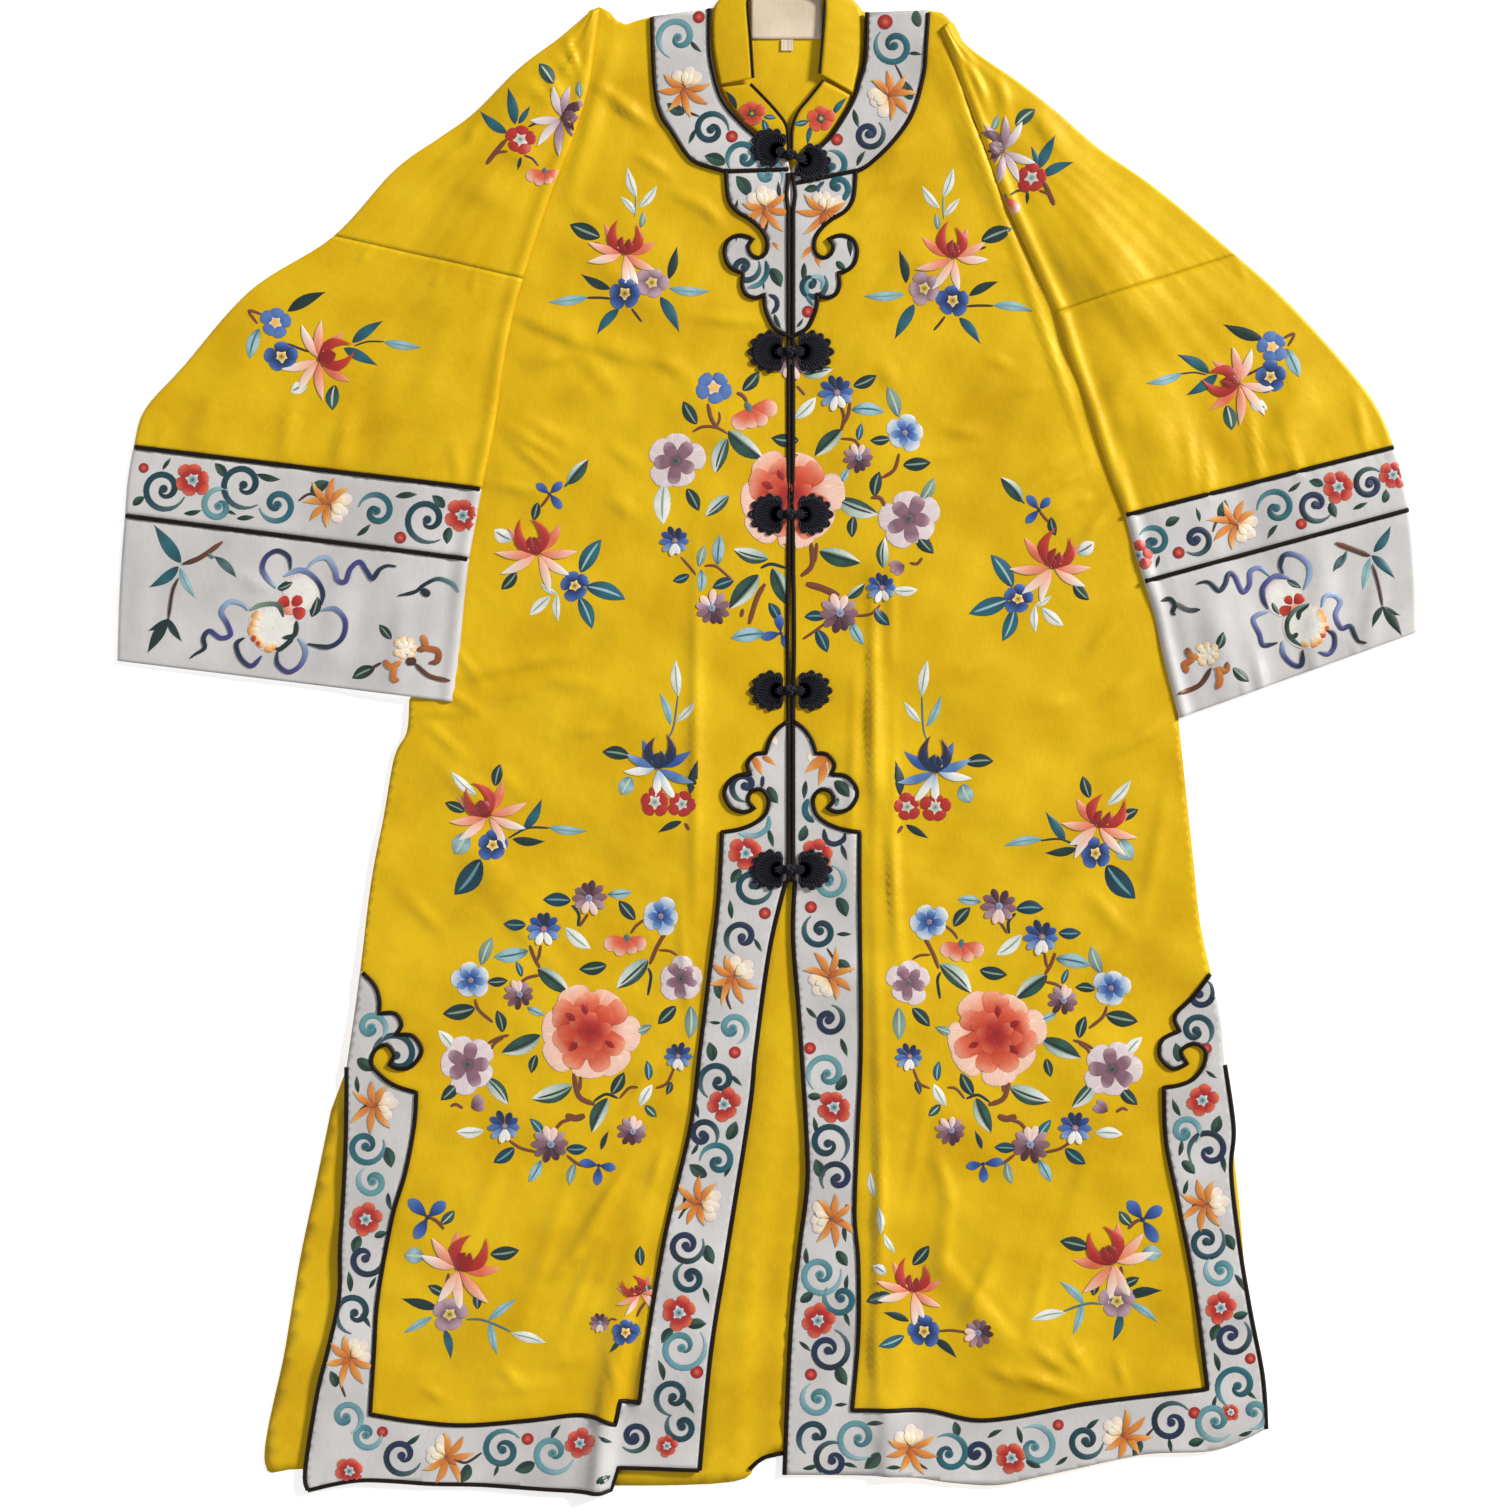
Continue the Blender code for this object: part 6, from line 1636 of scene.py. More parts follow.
def clip_to(line, outline):
    """The longest stretch of a line that lies inside an outline."""
    within = inside(line, outline)
    best, start = (0, 0), None
    for index, here in enumerate([*within, False]):
        if here and start is None:
            start = index
        if not here and start is not None:
            best = max(best, (start, index), key=lambda span: span[1] - span[0])
            start = None
    return line[best[0]:best[1]]


def make_front(side):
    """One front with its neck band, lappet and border, and the black piping along them."""
    suffix = "right" if side < 0 else "left"
    outline, neck, band, lappet, border = front_lines(side)
    flat, faces, middles = triangulate(outline, [band, lappet, border], FRONT_GRID)

    def on_panel(points):
        return front_height(points, side)

    def on_border(points):
        return front_height(points, side) + SEAM_GAP + BORDER_WALL

    front = cloth_sheet(f"front_{suffix}_cloth", flat, faces, on_panel, FRONT_WALL, "yellow_satin",
                        (f"front_{suffix}",))
    far, near = BEYOND * side, OPENING_X - PAST_OPENING * side
    band_area = np.vstack([band, [(near, band[-1][1]), (near, BEYOND), (band[0][0], BEYOND)]])
    lappet_area = np.vstack([lappet, [(near, lappet[-1][1]), (near, PAST_LAPPET),
                                      (lappet[0][0], PAST_LAPPET)]])
    border_area = np.vstack([border, [(far, border[-1][1]), (far, -BEYOND), (near, -BEYOND),
                                      (near, border[0][1])]])
    in_band = inside(middles, band_area)
    # Name, its triangles, its flat size in metres and its flat area in square metres
    layers = (
        ("neck_band", in_band, (0.07, 0.19), 0.0072),
        ("lappet", inside(middles, lappet_area) & ~in_band, (0.056, 0.136), 0.0046),
        ("front_border", inside(middles, border_area), (0.056, 1.05), 0.0588),
    )
    pieces = {"front": front}
    for name, own, size, area in layers:
        piece = cloth_sheet(f"{name}_{suffix}_cloth", flat, faces[own], on_border, BORDER_WALL,
                            "white_satin", (f"{name}_{suffix}",))
        pieces[name] = piece

    for name, line in (("neck_band_piping", clip_to(band, outline)), ("neckline_piping", neck[:-2]),
                       ("lappet_piping", lappet), ("front_border_piping", clip_to(border, outline))):
        laid = np.column_stack([line, on_border(line) + PIPING_RAISE])
        tubes(f"{name}_{suffix}_cloth", [laid], PIPING_RADIUS, "black_satin", (f"{name}_{suffix}",))

    edges = [smooth(SLIT_RIGHT if side < 0 else SLIT_LEFT, LINE_STEP),
             smooth(EDGE_RIGHT if side < 0 else EDGE_LEFT, LINE_STEP)]
    if side < 0:
        edges += [join_runs((HEM_RIGHT, ROLL_END_RIGHT, HEM_FOOT_RIGHT), LINE_STEP)]
    bound = [np.column_stack([line, on_panel(line) + BINDING_RAISE]) for line in edges]
    tubes(f"edge_binding_{suffix}", bound, BINDING_RADIUS, "black_satin", rise=1.0)
    return pieces


def make_back():
    """The back panel, which shows at the neck, between the fronts and along slits and hem."""
    right_sleeve = np.array(SLEEVE_RIGHT, float)[1:-1, 2:]
    left_sleeve = np.array(SLEEVE_LEFT, float)[1:-1, 2:]
    right = np.vstack([SHOULDER_RIGHT[:BACK_SHOULDER_RIGHT],
                       smooth(beside(right_sleeve, -UNDER_SLEEVE), BACK_SIDE_STEP),
                       smooth(SIDE_RIGHT, BACK_SIDE_STEP)])
    left = np.vstack([SHOULDER_LEFT[:BACK_SHOULDER_LEFT],
                      smooth(beside(left_sleeve, UNDER_SLEEVE), BACK_SIDE_STEP),
                      smooth(SIDE_LEFT, BACK_SIDE_STEP)])
    hem = smooth(BACK_HEM, BACK_HEM_STEP)
    neck = smooth(BACK_NECK, BACK_NECK_STEP)
    outline = np.vstack([right, hem, left[::-1], neck[::-1]])
    flat, faces, _ = triangulate(outline, [], BACK_GRID)

    def height(points):
        return BACK_TOP + CREASE_DEPTH * fold_heights(points, CREASES_BACK).sum(axis=0)

    back = cloth_sheet("back_cloth", flat, faces, height, BACK_WALL, "yellow_satin", ("back",))
    wedge = smooth(WEDGE_HEM, LINE_STEP)
    laid = np.column_stack([wedge, height(wedge) + WEDGE_RAISE])
    tubes("back_hem_binding", [laid], PIPING_RADIUS, "black_satin")


def sleeve_rows(stations):
    """Fine rows across a sleeve: station number, distance from the shoulder and both edges."""
    ends = np.array([stations[0], *stations, stations[-1]], float)
    rows = []
    run = 0.0
    for number, (before, start, end, after) in enumerate(zip(ends, ends[1:], ends[2:], ends[3:])):
        length = float(np.linalg.norm((end - start).reshape(2, 2), axis=1).max())
        count = max(2, round(length / RING_STEP))
        for index in range(count):
            t = index / count
            rows.append((number + t, run + length * t, between(before, start, end, after, t)))
        run += length
    rows.append((len(stations) - 1.0, run, ends[-1]))
    return rows


def sleeve_lift(distance):
    """Height of a sleeve's underside at distances in from its inner edge."""
    t = np.clip((distance - LIFT_FULL) / (LIFT_END - LIFT_FULL), 0.0, 1.0)
    return SLEEVE_LIFT * (0.5 + 0.5 * np.cos(np.pi * t))


def sleeve_puff(distance, width, station, side, plan):
    """Room between a sleeve's two layers: broad folds, gathers at the bands and seam puckers."""
    across = distance / width
    bell = np.sin(np.pi * np.clip(across, 0.0, 1.0))
    inward = np.sqrt(bell)
    swell = 0.5 + 0.5 * np.cos(math.tau * (SWELL_WAVES * across - 0.06 * station))
    room = PUFF_LEVEL + PUFF_BELL * inward + PUFF_SWELL * swell * bell
    drape = np.sin(math.tau * (DRAPE_WAVES * across + 0.10 * side - 0.09 * station)) ** 2
    room += PUFF_DRAPE * drape * bell * np.clip((station - DRAPE_START) / DRAPE_REACH, 0.0, 1.0)
    for seam, reach, count, height, dip in SEAM_GATHERS:
        away = abs(station - seam)
        near = max(0.0, 1.0 - away / reach)
        uneven = 0.6 + 0.4 * np.sin(math.tau * 5.0 * across + seam)
        room += height * near ** 1.5 * uneven * (0.5 + 0.5 * np.sin(math.tau * count * across)) * inward
        room -= dip * max(0.0, 1.0 - away / SEAM_DIP_REACH) * inward
    for place, breadth, height in EDGE_ROLL:
        room += height * np.exp(-((distance - place) / breadth) ** 2) * (1.0 if side > 0 else ROLL_RIGHT)
    folds = fold_heights(plan, SLEEVE_FOLDS_LEFT if side > 0 else SLEEVE_FOLDS_RIGHT)
    room += (folds.max(axis=0) + 0.4 * folds.sum(axis=0)) * inward
    return np.maximum(room, PUFF_LEAST)


def sleeve_loop(row, station, side, inset):
    """One closed loop of a flattened sleeve, inset from its outer face."""
    outer, inner = row[:2], row[2:]
    width = float(np.linalg.norm(outer - inner))
    steps = np.arange(LOOP_STEPS + 1)
    spread = 0.5 - 0.5 * np.cos(np.pi * steps / LOOP_STEPS)
    spread = 0.6 * spread + 0.4 * steps / LOOP_STEPS
    distance = inset + (width - 2 * inset) * spread
    edge = np.minimum(distance, width - distance) - inset
    round_off = np.sqrt(1.0 - (1.0 - np.clip(edge / SLEEVE_ROUNDING, 0.0, 1.0)) ** 2)
    floor = sleeve_lift(distance) + inset
    plan = inner + (outer - inner) * (distance / width)[:, None]
    room = 2 * SLEEVE_WALL + sleeve_puff(distance, width, station, side, plan) - 2 * inset
    low = floor + (1.0 - round_off) * room / 2
    high = floor + (1.0 + round_off) * room / 2
    top = np.column_stack([plan, high])
    under = np.column_stack([plan, low])[-2:0:-1]
    return np.vstack([top, under]), np.concatenate([distance, 2 * width - distance[-2:0:-1]])


def make_sleeve(stations, side):
    """One sleeve of four open tubes sewn end to end, with piping over its two lower seams."""
    suffix = "right" if side < 0 else "left"
    rows = sleeve_rows(stations)
    pieces = {}
    for name, first, last, look, flat_size, flat_area in SLEEVE_PIECES:
        own = [row for row in rows if first <= row[0] <= last]
        outer = [sleeve_loop(row, station, side, 0.0) for station, _, row in own]
        hollow = [sleeve_loop(row, station, side, SLEEVE_INSET)[0] for station, _, row in own]
        sides = len(outer[0][0])
        points = np.vstack([loop for loop, _ in outer] + hollow)
        places = [np.column_stack([around, np.full(sides, run)])
                  for (_, around), (_, run, _) in zip(outer, own)]
        faces = tube_faces(len(own), sides, 0, False)[:-2]
        second = len(own) * sides
        faces += [tuple(reversed(face)) for face in tube_faces(len(own), sides, second, False)[:-2]]
        for start in (0, (len(own) - 1) * sides):
            for index in range(sides):
                after = (index + 1) % sides
                lip = (start + after, start + index, second + start + index, second + start + after)
                faces.append(lip if start == 0 else tuple(reversed(lip)))
        mesh = new_mesh(f"{name}_{suffix}_cloth", points, faces, np.vstack(places * 2))
        piece = add_piece(mesh.name, mesh, look, (f"{name}_{suffix}",))
        if side < 0:
            mesh.flip_normals()
        pieces[name] = piece
    ground = Ground(*pieces.values())
    seams = []
    for seam in (BAND_SEAM, CUFF_SEAM):
        row = next(row for station, _, row in rows if station == seam)
        outer, inner = row[:2], row[2:]
        ends = (inner + (outer - inner) * SEAM_END, outer + (inner - outer) * SEAM_END)
        seams.append(laid_line(smooth(ends, LINE_STEP), ground, SEAM_PIPING_RAISE))
    tubes(f"sleeve_piping_{suffix}", seams, PIPING_RADIUS, "black_satin", rise=0.6)
    return pieces


def make_collar(name, rows, nodes):
    """A length of the stand collar, lofted from its base to its free edge, with piping on it."""
    dense = smooth(rows, COLLAR_STEP)
    shares = np.linspace(0.0, 1.0, COLLAR_POINTS)
    points, places = [], []
    run = 0.0
    for number, row in enumerate(dense):
        base, free = row[:3], row[3:]
        if number:
            run += float(np.linalg.norm(base - dense[number - 1][:3]))
        width = float(np.linalg.norm(free - base))
        belly = COLLAR_BELLY * np.sin(np.pi * shares) * min(1.0, width / COLLAR_NARROW)
        line = base + (free - base) * shares[:, None]
        line[:, 2] += belly
        points.append(line)
        places.append(np.column_stack([shares * width, np.full(len(shares), run)]))
    faces = grid_faces(len(dense), COLLAR_POINTS)
    points = np.vstack(points)
    a, b, c = points[list(faces[0][:3])]
    if np.cross(b - a, c - a)[2] < 0:
        faces = [tuple(reversed(face)) for face in faces]
    mesh = new_mesh(f"{name}_cloth", points, faces, np.vstack(places))
    collar = add_wall(add_piece(mesh.name, mesh, "yellow_satin", nodes), COLLAR_WALL)
    width = float(np.mean([np.linalg.norm(row[3:] - row[:3]) for row in dense])) / 1000.0
    free_edge = dense[:, 3:] + (0.0, 0.0, COLLAR_PIPING_RAISE)
    tubes(f"{name}_piping", [free_edge], COLLAR_PIPING_RADIUS, "black_satin")
    return collar


def make_opening(ground):
    """The two black bindings down the front opening."""
    heights = np.arange(OPENING_TOP - 1.0, OPENING_BOTTOM - 6.0, -LINE_STEP)
    levels = [row[0] for row in OPENING_GAP][::-1]
    gaps = np.interp(heights, levels, [row[1] for row in OPENING_GAP][::-1])
    lines = []
    for side in (-1, 1):
        line = np.column_stack([OPENING_X + side * (OPENING_OUT + gaps / 2 + HALF_OPENING), heights])
        lines.append(laid_line(line, ground, OPENING_RAISE))
    tubes("opening_bindings", lines, PIPING_RADIUS, "black_satin", rise=0.7)


def loop_of_cord(root, tip, width):
    """A flat closed loop of cord, narrow at its root and round and broad near its tip."""
    turn = np.arange(CORD_POINTS) * math.tau / CORD_POINTS
    reach = tip - root
    across = np.array((-reach[1], reach[0])) / np.linalg.norm(reach)
    out = 0.5 - 0.5 * np.cos(turn)
    return root + out[:, None] * reach + (width * np.sin(turn) * out ** 1.6)[:, None] * across


def ball_knot(place, radius):
    """A closed three-lobed winding of cord that makes a round button knot."""
    turn = np.arange(KNOT_POINTS) * 2 * math.tau / KNOT_POINTS
    out = radius * (0.52 + 0.42 * np.cos(1.5 * turn))
    return np.column_stack([place[0] + out * np.cos(turn), place[1] + out * np.sin(turn),
                            place[2] + 0.45 * radius * np.sin(1.5 * turn)])


def fan_cords(radius):
    """The loops and fillings of a fan: heading, reach, breadth and height over the lowest cord."""
    other_half = [(-turn, share, width) for turn, share, width in FAN_LOOPS[:0:-1]]
    cords = [(turn, radius * share - CORD_RADIUS, width, CROSSING_RAISE * (index % 2))
             for index, (turn, share, width) in enumerate([*other_half, *FAN_LOOPS])]
    headings, share, width, rise = FAN_FILL
    return cords + [(turn, radius * share, width, rise) for turn in headings]


def make_fan(name, side, centre, radius, tilt, ground):
    """One half of a frog: a fan of cord loops that is sewn down on its front."""
    heading = math.radians(180 - tilt if side < 0 else -tilt)
    base = float(np.nanmax(ground.height([centre, centre + (side * 8.0, 0.0)]))) + CORD_RADIUS
    root = centre - FAN_MEETING * radius * toward(heading)
    loops = []
    for turn, length, width, rise in fan_cords(radius):
        tip = centre + length * toward(heading + math.radians(turn))
        start = root + HUB_RADIUS * (tip - root) / np.linalg.norm(tip - root)
        flat = loop_of_cord(start, tip, width)
        loops.append(np.column_stack([flat, np.full(len(flat), base + rise)]))
    around = np.arange(COIL_POINTS) * math.tau / COIL_POINTS
    for share, rise in HUB_COILS:
        coil = root + share * HUB_RADIUS * np.column_stack([np.cos(around), np.sin(around)])
        loops.append(np.column_stack([coil, np.full(COIL_POINTS, base + rise)]))
    tubes(f"{name}_cord", loops, CORD_RADIUS, "black_cord", (name,), sides=6, rise=1.0, closed=True)


def make_frog(number, row, ground):
    """One frog: a fan of cord loops on each front, the knot and the cords that hold it."""
    right_y, left_y, reach, radius, tilt = row
    halves = (("right", -1, right_y), ("left", 1, left_y))
    for suffix, side, y in halves:
        centre = np.array((OPENING_X + side * reach, y))
        make_fan(f"frog_{number}_{suffix}", side, centre, radius, tilt, ground)
    knot_y = (right_y + left_y) / 2
    beside_knot = [(OPENING_X + side * apart, knot_y) for side in (-1, 1) for apart in (3.0, 9.0, 15.0)]
    top = float(np.nanmax(ground.height(beside_knot)))
    centre = np.array((OPENING_X, knot_y, top + KNOT_RAISE))
    windings = [ball_knot(centre, KNOT_RADIUS), ball_knot(centre + (0.0, 0.0, HEART_RAISE), HEART_RADIUS)]
    tubes(f"knot_{number}_cord", windings, KNOT_CORD_RADIUS, "black_cord", (f"knot_{number}",),
          sides=10, rise=1.0, closed=True)
    shanks = []
    for _, side, y in halves:
        for apart in (-SHANK_APART, SHANK_APART):
            start = (OPENING_X + side * (reach - 3.0), y + apart, top + 1.6)
            end = (OPENING_X + side * 2.0, knot_y + apart * 0.8, top + 2.0)
            shanks.append(smooth((start, end), SHANK_STEP))
    tubes(f"frog_{number}_shanks", shanks, SHANK_RADIUS, "black_cord", rise=1.0)


def make_label(name, size, place, low):
    """A small bare woven label, lightly curled at its ends."""
    half = np.array(size) / 2
    grid_x = np.linspace(-half[0], half[0], LABEL_COLUMNS)
    grid_y = np.linspace(-half[1], half[1], LABEL_ROWS)
    flat = np.array([(x, y) for y in grid_y for x in grid_x])
    curl = 0.5 * (np.abs(flat[:, 0]) / half[0]) ** 4 + 0.25 * np.sin(flat[:, 0] / size[0] * 7.0) ** 2
    points = np.column_stack([flat + place, low + LABEL_WALL + curl])
    mesh = new_mesh(f"{name}_cloth", points, grid_faces(LABEL_ROWS, LABEL_COLUMNS), flat)
    label = add_wall(add_piece(mesh.name, mesh, "label_cloth", (name,)), LABEL_WALL)


def linear(name):
    """A thread's colour as linear light."""
    seen = np.array(THREADS[name]) / 255.0
    return np.where(seen <= 0.04045, seen / 12.92, ((seen + 0.055) / 1.055) ** 2.4)


def shaded(names, shares):
    """Colours at shares of the way through a run of threads."""
    stops = np.array([linear(name) for name in names])
    steps = np.linspace(0.0, 1.0, len(stops)) if len(stops) > 1 else [0.0]
    return np.stack([np.interp(shares, steps, stops[:, part]) for part in range(3)], axis=-1)


class Embroidery:
    """Satin stitch gathered into one mesh, which is laid on the cloth under it."""

    def __init__(self, name, *pieces):
        self.name = name
        self.ground = Ground(*pieces)
        self.columns = {"plan": [], "lift": [], "colour": [], "thread": []}
        self.faces = []
        self.count = 0

    def patch(self, plan, lift, colour, thread):
        """A grid of stitches: places, heights over the cloth, colours and places over and along threads."""
        rows, columns = lift.shape
        index = self.count + np.arange(rows * columns).reshape(rows, columns)
        corners = (index[:-1, :-1], index[:-1, 1:], index[1:, 1:], index[1:, :-1])
        self.faces.append(np.stack(corners, axis=-1).reshape(-1, 4))
        for part, values in zip(self.columns.values(), (plan, lift[..., None], colour, thread)):
            part.append(values.reshape(rows * columns, -1))
        self.count += rows * columns

    def petal(self, place, heading, length, width, threads, layer=0, lean=1.0, blunt=0.7, vein=None,
              half=None, hand=1, bend=0.0, pointed=False):
        """One petal or leaf from its stem to its tip, in millimetres."""
        rows = SMALL_ROWS if length < SMALL_PETAL else LARGE_ROWS
        t = (0.5 - 0.5 * np.cos(np.pi * np.arange(rows) / (rows - 1)))[:, None]
        s = np.array(PETAL_COLUMNS)[None, :]
        taper = blunt + (max(POINTED_TIP, 1.15 * blunt) - blunt) * t if pointed else blunt
        broad = np.maximum(0.5 * width * np.sin(np.pi * t ** lean) ** taper, LEAST_HALF)
        along = length * t + 0.0 * s
        across = hand * s * broad
        way = toward(math.radians(heading))
        side = np.array((-way[1], way[0]))
        curve = 4.0 * bend * length * t * (1.0 - t) + across
        plan = place + along[..., None] * way + curve[..., None] * side
        dome = (1.0 - s ** 2) * np.sin(np.pi * np.clip(t, 0.03, 0.97)) ** 0.5
        lift = STITCH_LIFT + LAYER_LIFT * layer + min(DOME, DOME_SHARE * width) * dome
        colour = shaded(threads, t[:, 0])[:, None, :] * np.ones((1, s.size, 1))
        if half:
            colour[:, s[0] > (FOLD_FROM if vein else 0.0)] = shaded(half, t[:, 0])[:, None, :]
        # A pale thread's rim gets painted shade where the petal drops to the cloth; a dark thread's rim is
        # lighter, as a pale outline thread
        rim = (np.abs(s) > RIM_FROM)[..., None]
        dark = colour.mean() < DARK_THREAD
        colour = np.where(rim, colour * (RIM_LIGHTER if dark else RIM_PAINTED_SHADE), colour)
        if vein:
            middle = (np.abs(s) < VEIN_HALF) & (t > VEIN_START) & (t < VEIN_END)
            colour = np.where(middle[..., None], linear(vein), colour)
        slant = STITCH_SLANT if vein or half else 0.0
        thread = np.stack([across * math.cos(slant) + along * math.sin(slant) * np.sign(s),
                           along * math.cos(slant) - np.abs(across) * math.sin(slant)], axis=-1)
        self.patch(plan, lift, colour, thread)

    def stroke(self, line, width, threads, layer=1, taper=0.35):
        """A line of stitches through points in millimetres, finer towards both ends."""
        line = np.asarray(line, float)
        run = np.concatenate([[0.0], np.cumsum(np.linalg.norm(np.diff(line, axis=0), axis=1))])
        share = run / run[-1]
        ends = np.clip(np.minimum(share, 1.0 - share) * 6.0, 0.0, 1.0)
        broad = np.asarray(width) / 2 * (taper + (1.0 - taper) * ends)
        s = np.array(STROKE_COLUMNS)
        sideways = beside(line, 1.0) - line
        plan = np.stack([line + sideways * (broad * part)[:, None] for part in s], axis=1)
        lift = STITCH_LIFT + LAYER_LIFT * layer + 0.3 * (1.0 - s[None, :] ** 2) + 0.0 * share[:, None]
        # A stroke's edges are a fifth darker: painted shade where the stitches drop to the cloth
        colour = shaded(threads, share)[:, None, :] * np.where(np.abs(s) > RIM_FROM, 0.8, 1.0)[None, :, None]
        across = broad[:, None] * s[None, :]
        thread = np.stack([run[:, None] + 0.6 * across, across], axis=-1)
        self.patch(plan, lift, colour, thread)

    def disc(self, place, radius, threads, layer=1):
        """A round of stitches whose threads run out from the middle."""
        out = np.linspace(0.02, 1.0, DISC_RINGS)[:, None]
        turn = np.linspace(0.0, math.tau, DISC_SIDES + 1)[None, :]
        plan = place + radius * np.stack([out * np.cos(turn), out * np.sin(turn)], axis=-1)
        lift = STITCH_LIFT + LAYER_LIFT * layer + 0.4 * (1.0 - out ** 2) + 0.0 * turn
        colour = shaded(threads, out[:, 0])[:, None, :] * np.ones((1, turn.size, 1))
        thread = np.stack([turn * radius + 0.0 * out, out * radius + 0.0 * turn], axis=-1)
        self.patch(plan, lift, colour, thread)

    def finish(self):
        """Lays the stitches on the cloth; those off its edge or over a step in it are left out."""
        plan, lift, colour, thread = (np.vstack(part) for part in self.columns.values())
        heights = self.ground.height(plan)
        faces = np.vstack(self.faces)
        corners = heights[faces]
        faces = faces[~np.isnan(corners).any(axis=1) & (np.ptp(corners, axis=1) < STEP_LIMIT)]
        turned = turned_over(plan, faces)
        faces[turned] = faces[turned][:, ::-1]
        used, faces = np.unique(faces, return_inverse=True)
        points = np.column_stack([plan, heights + lift[:, 0]])[used]
        mesh = new_mesh(self.name, points, faces.reshape(-1, 4), thread[used])
        layer = mesh.color_attributes.new("silk", "FLOAT_COLOR", "POINT")
        layer.data.foreach_set("color", np.column_stack([colour[used], np.ones(len(used))]).ravel())
        add_piece(self.name, mesh, "embroidery_silk")


def on_photo(x, y):
    """The place in millimetres of a point in the photograph."""
    return np.array(((x - PHOTO_ORIGIN_X) * PHOTO_MM, (PHOTO_ORIGIN_Y - y) * PHOTO_MM))


def mirror_move(here, there):
    """A way to mirror and turn a spray so that two of its places fall on two others."""
    a, b, c, d = (complex(x, -y) for x, y in (*here, *there))
    turn = (d - c) / -(b - a).conjugate()

    def move(x, y, heading=0.0):
        moved = c - turn * (complex(x, -y) - a).conjugate()
        return moved.real, -moved.imag, 180.0 - heading + math.degrees(np.angle(turn))
    return move


def as_shown(x, y, heading=0.0):
    """Leaves a motif where it is."""
    return x, y, heading


def sew(silk, motifs, move=as_shown):
    """Sews flowers, leaves and buds from a table."""
    hand = 1 if move is as_shown else -1
    for kind, x, y, size, heading in motifs:
        x, y, heading = move(x, y, heading)
        place = on_photo(x, y)
        if kind in LEAVES:
            threads, vein, half, broad, blunt, lean = LEAVES[kind]
            start = place - size / 2 * toward(math.radians(heading))
            silk.petal(start, heading, size, size * broad, threads, 0, lean, blunt, vein, half, hand,
                       bend=LEAF_BEND * math.sin(1.7 * x + y), pointed=True)
            continue
        up = toward(math.radians(heading))
        for layer, ring in enumerate(FLOWERS[kind]):
            headings, start, length, width, threads, lean, blunt, *growth = ring
            below, bend = growth or (0.0, 0.0)
            for number, away in enumerate(headings):
                turn = heading + hand * (away + PETAL_SWAY * math.sin(3.1 * number + y))
                way = toward(math.radians(turn))
                uneven = 1.0 + PETAL_UNEVEN * math.sin(2.4 * number + x)
                root = place + size * (start * way - below * up)
                silk.petal(root, turn, length * size * uneven, width * size, threads, layer + 1, lean, blunt,
                           bend=math.copysign(bend, hand * away))
        if kind in EYES:
            share, *threads = EYES[kind]
            silk.disc(place, share * size, threads, len(FLOWERS[kind]) + 1)


def sew_stems(silk, stems, move=as_shown):
    """Sews stems and twigs from a table."""
    for thread, width, *points in stems:
        line = smooth([on_photo(*move(x, y)[:2]) for x, y in points], STEM_STEP)
        silk.stroke(line, width, (thread,), layer=0, taper=STEM_TAPER)


def sew_border(silk, scrolls, lotuses, plums, berries, broad, narrow):
    """Sews the running scrolls of a border with what grows between them."""
    for tone, x, y, tail_x, tail_y, turns in scrolls:
        bulb, tail = on_photo(x, y), on_photo(tail_x, tail_y)
        reach = max(float(np.linalg.norm(tail - bulb)), SCROLL_REACH)
        end = math.atan2(tail[1] - bulb[1], tail[0] - bulb[0])
        t = np.linspace(0.0, 1.0, SCROLL_POINTS)
        turn = end - math.tau * (turns + math.copysign(SCROLL_CURL, turns)) * (1.0 - t)
        out = reach * (SCROLL_START + (1.0 - SCROLL_START) * t ** 0.8)
        line = bulb + out[:, None] * np.column_stack([np.cos(turn), np.sin(turn)])
        silk.stroke(line, np.interp(t, *SCROLL_WIDTHS), SCROLL_TONES[tone])
        silk.disc(bulb, BULB_RADIUS, SCROLL_TONES[tone][:2], layer=2)
    for x, y, heading, *stem in lotuses:
        sew_stems(silk, (("dark_brown", LOTUS_STEM, *stem),))
        sew(silk, (("border_lotus", x, y, LOTUS_SIZE, heading),))
    sew(silk, [("border_plum", x, y, radius * PHOTO_MM * PLUM_GAIN, PLUM_HEADING) for x, y, radius in plums])
    for x, y, radius in berries:
        silk.disc(on_photo(x, y), radius * PHOTO_MM, ("coral", "red", "deep_red"))
    sew(silk, [("border_leaf", x, y, length * PHOTO_MM, heading) for x, y, length, heading in broad])
    sew(silk, [("border_blade", x, y, length * PHOTO_MM, heading) for x, y, length, heading in narrow])


def sew_strip(name, pieces, work, layer):
    """Embroiders a border or a sleeve's bands: the running scrolls, then single strokes and motifs."""
    rows, strokes, motifs = work
    silk = Embroidery(name, *pieces)
    sew_border(silk, *rows)
    for threads, width, *points in strokes:
        silk.stroke(smooth([on_photo(x, y) for x, y in points], STROKE_STEP), width, threads, layer)
    sew(silk, motifs)
    silk.finish()


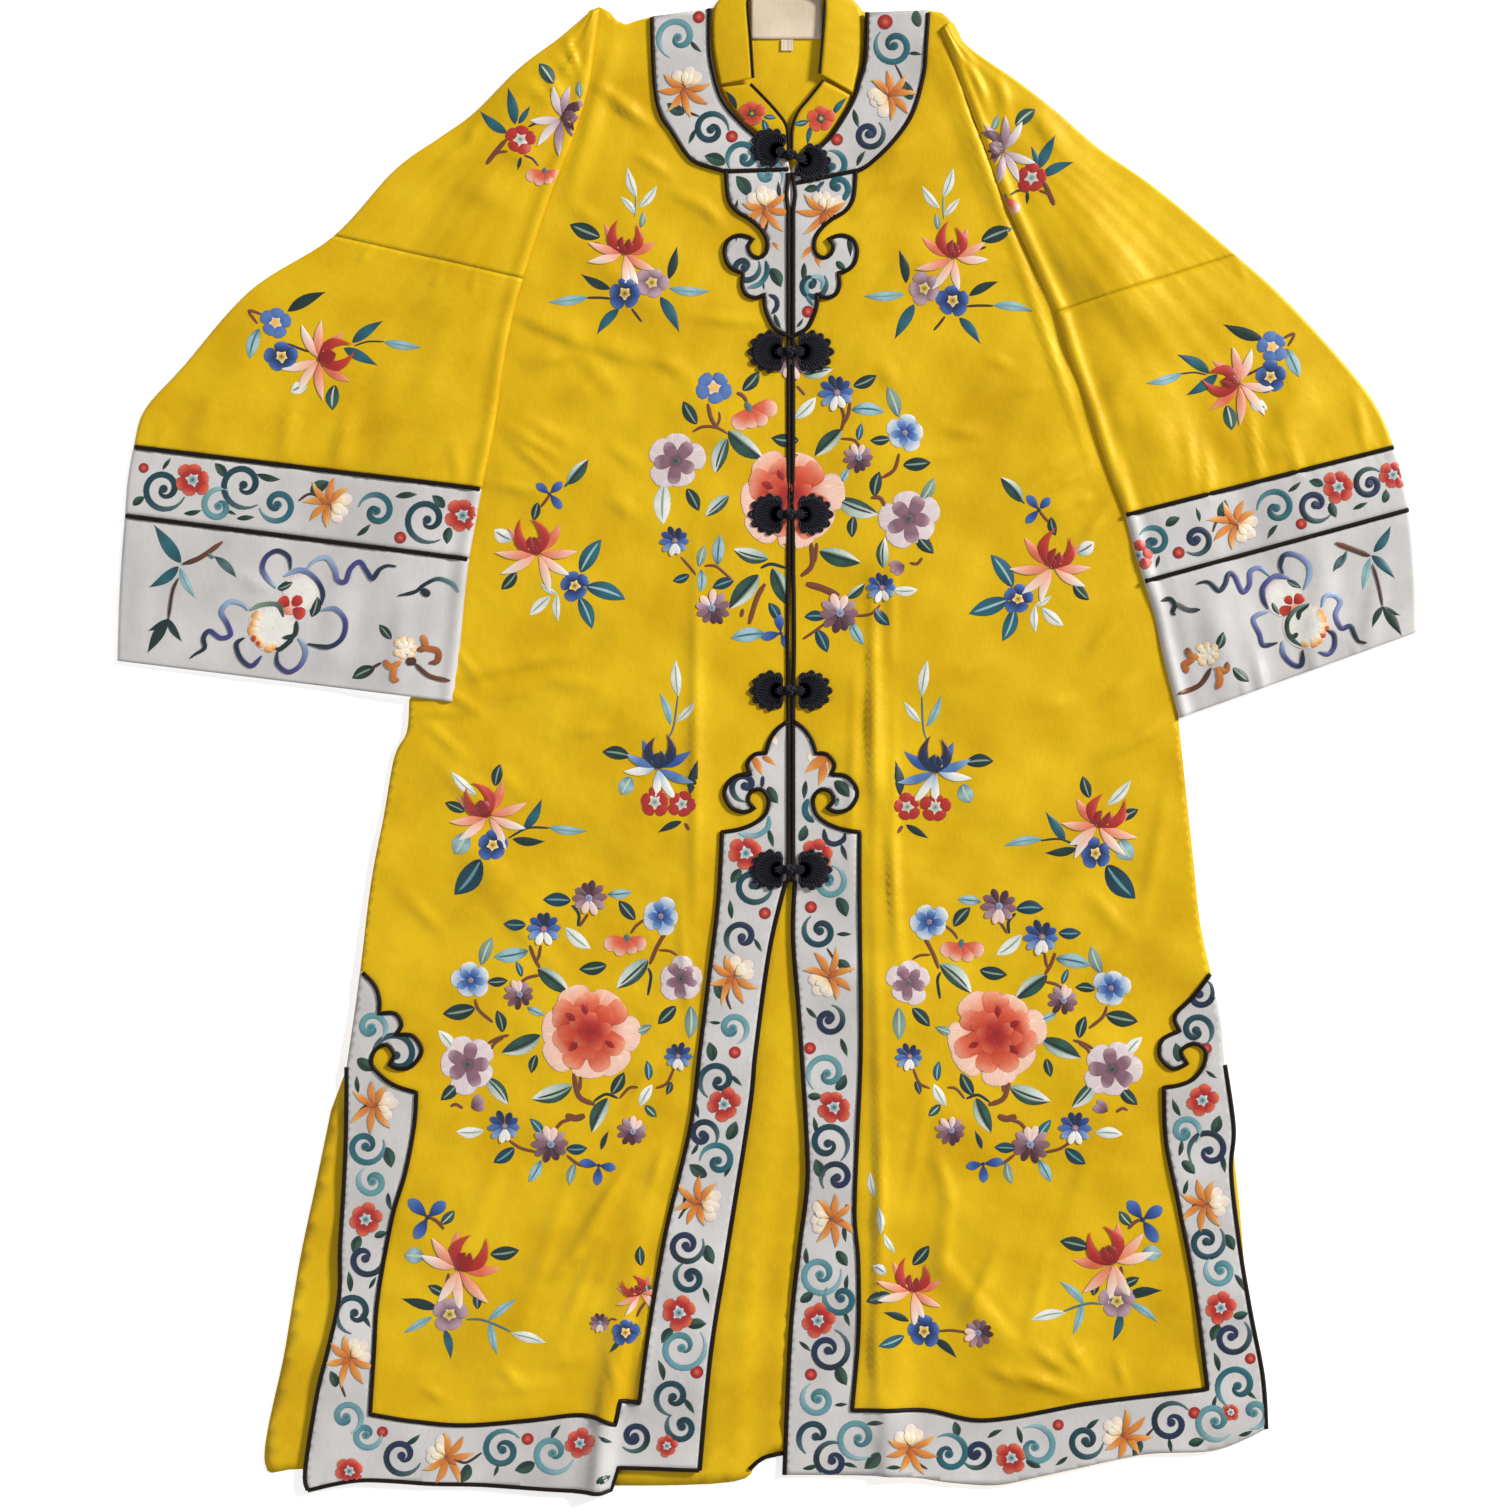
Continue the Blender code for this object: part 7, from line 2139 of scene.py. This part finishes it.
def embroider(side, front, sleeve):
    """All the embroidery of one side of the robe."""
    right = side < 0
    suffix = "right" if right else "left"
    body = Embroidery(f"embroidery_{suffix}", front["front"], sleeve["sleeve_upper"], sleeve["sleeve_lower"])
    sew_stems(body, ROUNDEL_STEMS)
    sew(body, ROUNDEL)
    shoulder = Embroidery(f"shoulder_embroidery_{suffix}", sleeve["sleeve_upper"])
    for name, motifs, here, there in SPRAYS:
        silk = shoulder if name == "shoulder" else body
        move = as_shown if right else mirror_move(here, there)
        sew_stems(silk, SPRAY_STEMS[name], move)
        sew(silk, motifs, move)
    shoulder.finish()
    move = as_shown if right else mirror_move(*LOWER_ANCHORS)
    sew_stems(body, LOWER_STEMS, move)
    sew(body, LOWER_ROUNDEL, move)
    sew_stems(body, SPRAY_STEMS["inner"])
    sew(body, INNER_SPRAY)
    body.finish()

    strip = (front["front_border"], front["neck_band"], front["lappet"])
    sew_strip(f"border_embroidery_{suffix}", strip, BORDER_WORK[suffix], BORDER_LAYER)
    bands = (sleeve["sleeve_band"], sleeve["cuff"])
    sew_strip(f"cuff_embroidery_{suffix}", bands, CUFF_WORK[suffix], CUFF_LAYER)


def area_light(name, place, size, energy, colour):
    """A large soft lamp that faces the robe."""
    lamp = bpy.data.lights.new(name, "AREA")
    lamp.shape = "SQUARE"
    lamp.size = size
    lamp.energy = energy
    lamp.color = colour
    made = bpy.data.objects.new(name, lamp)
    bpy.context.scene.collection.objects.link(made)
    made.location = place
    made.rotation_euler = (-Vector(place)).to_track_quat("-Z", "Y").to_euler()


def make_studio():
    """The white floor, the soft lamps and the camera straight above the robe."""
    half = FLOOR_HALF
    mesh = bpy.data.meshes.new("studio_floor")
    mesh.from_pydata([(-half, -half, 0), (half, -half, 0), (half, half, 0), (-half, half, 0)], [],
                     [(0, 1, 2, 3)])
    mesh.materials.append(plain_floor())
    floor = bpy.data.objects.new("studio_floor", mesh)
    floor.location.z = FLOOR_LEVEL
    bpy.context.scene.collection.objects.link(floor)

    world = bpy.data.worlds.new("studio")
    world.use_nodes = True
    world.node_tree.nodes["Background"].inputs["Color"].default_value = (1.0, 1.0, 1.0, 1.0)
    world.node_tree.nodes["Background"].inputs["Strength"].default_value = WORLD_STRENGTH
    bpy.context.scene.world = world
    bpy.context.scene.view_settings.view_transform = "Standard"
    for lamp in LAMPS:
        area_light(*lamp)

    camera = bpy.data.cameras.new("overhead")
    camera.lens = LENS
    camera.sensor_width = SENSOR_WIDTH
    made = bpy.data.objects.new("overhead", camera)
    bpy.context.scene.collection.objects.link(made)
    width = PHOTO_SIZE * PHOTO_MM * MM
    made.location = ((PHOTO_SIZE / 2 - PHOTO_ORIGIN_X) * PHOTO_MM * MM,
                     (PHOTO_ORIGIN_Y - PHOTO_SIZE / 2) * PHOTO_MM * MM,
                     width * camera.lens / camera.sensor_width + FRONT_TOP * MM)
    bpy.context.scene.camera = made


def main():
    """Builds the studio and the robe, from the back panel up to the frogs."""
    make_studio()
    make_back()
    fronts = {side: make_front(side) for side in (-1, 1)}
    sleeves = {-1: make_sleeve(SLEEVE_RIGHT, -1), 1: make_sleeve(SLEEVE_LEFT, 1)}
    for side in (-1, 1):
        embroider(side, fronts[side], sleeves[side])
    make_collar("collar_back", COLLAR_BACK, ("collar_back",))
    for name, rows, motifs in (("collar_right", COLLAR_RIGHT, COLLAR_RIGHT_MOTIFS),
                               ("collar_left", COLLAR_LEFT, COLLAR_LEFT_MOTIFS)):
        silk = Embroidery(f"{name}_embroidery", make_collar(name, rows, (name,)))
        sew(silk, motifs)
        silk.finish()
    laid = Ground(*(piece for front in fronts.values() for piece in front.values()))
    make_opening(laid)
    for number, row in enumerate(FROGS, start=1):
        make_frog(number, row, laid)
    make_label("label", LABEL_SIZE, LABEL_PLACE, BACK_TOP + SEAM_GAP)
    make_label("size_tab", TAB_SIZE, TAB_PLACE, BACK_TOP + SEAM_GAP)


main()
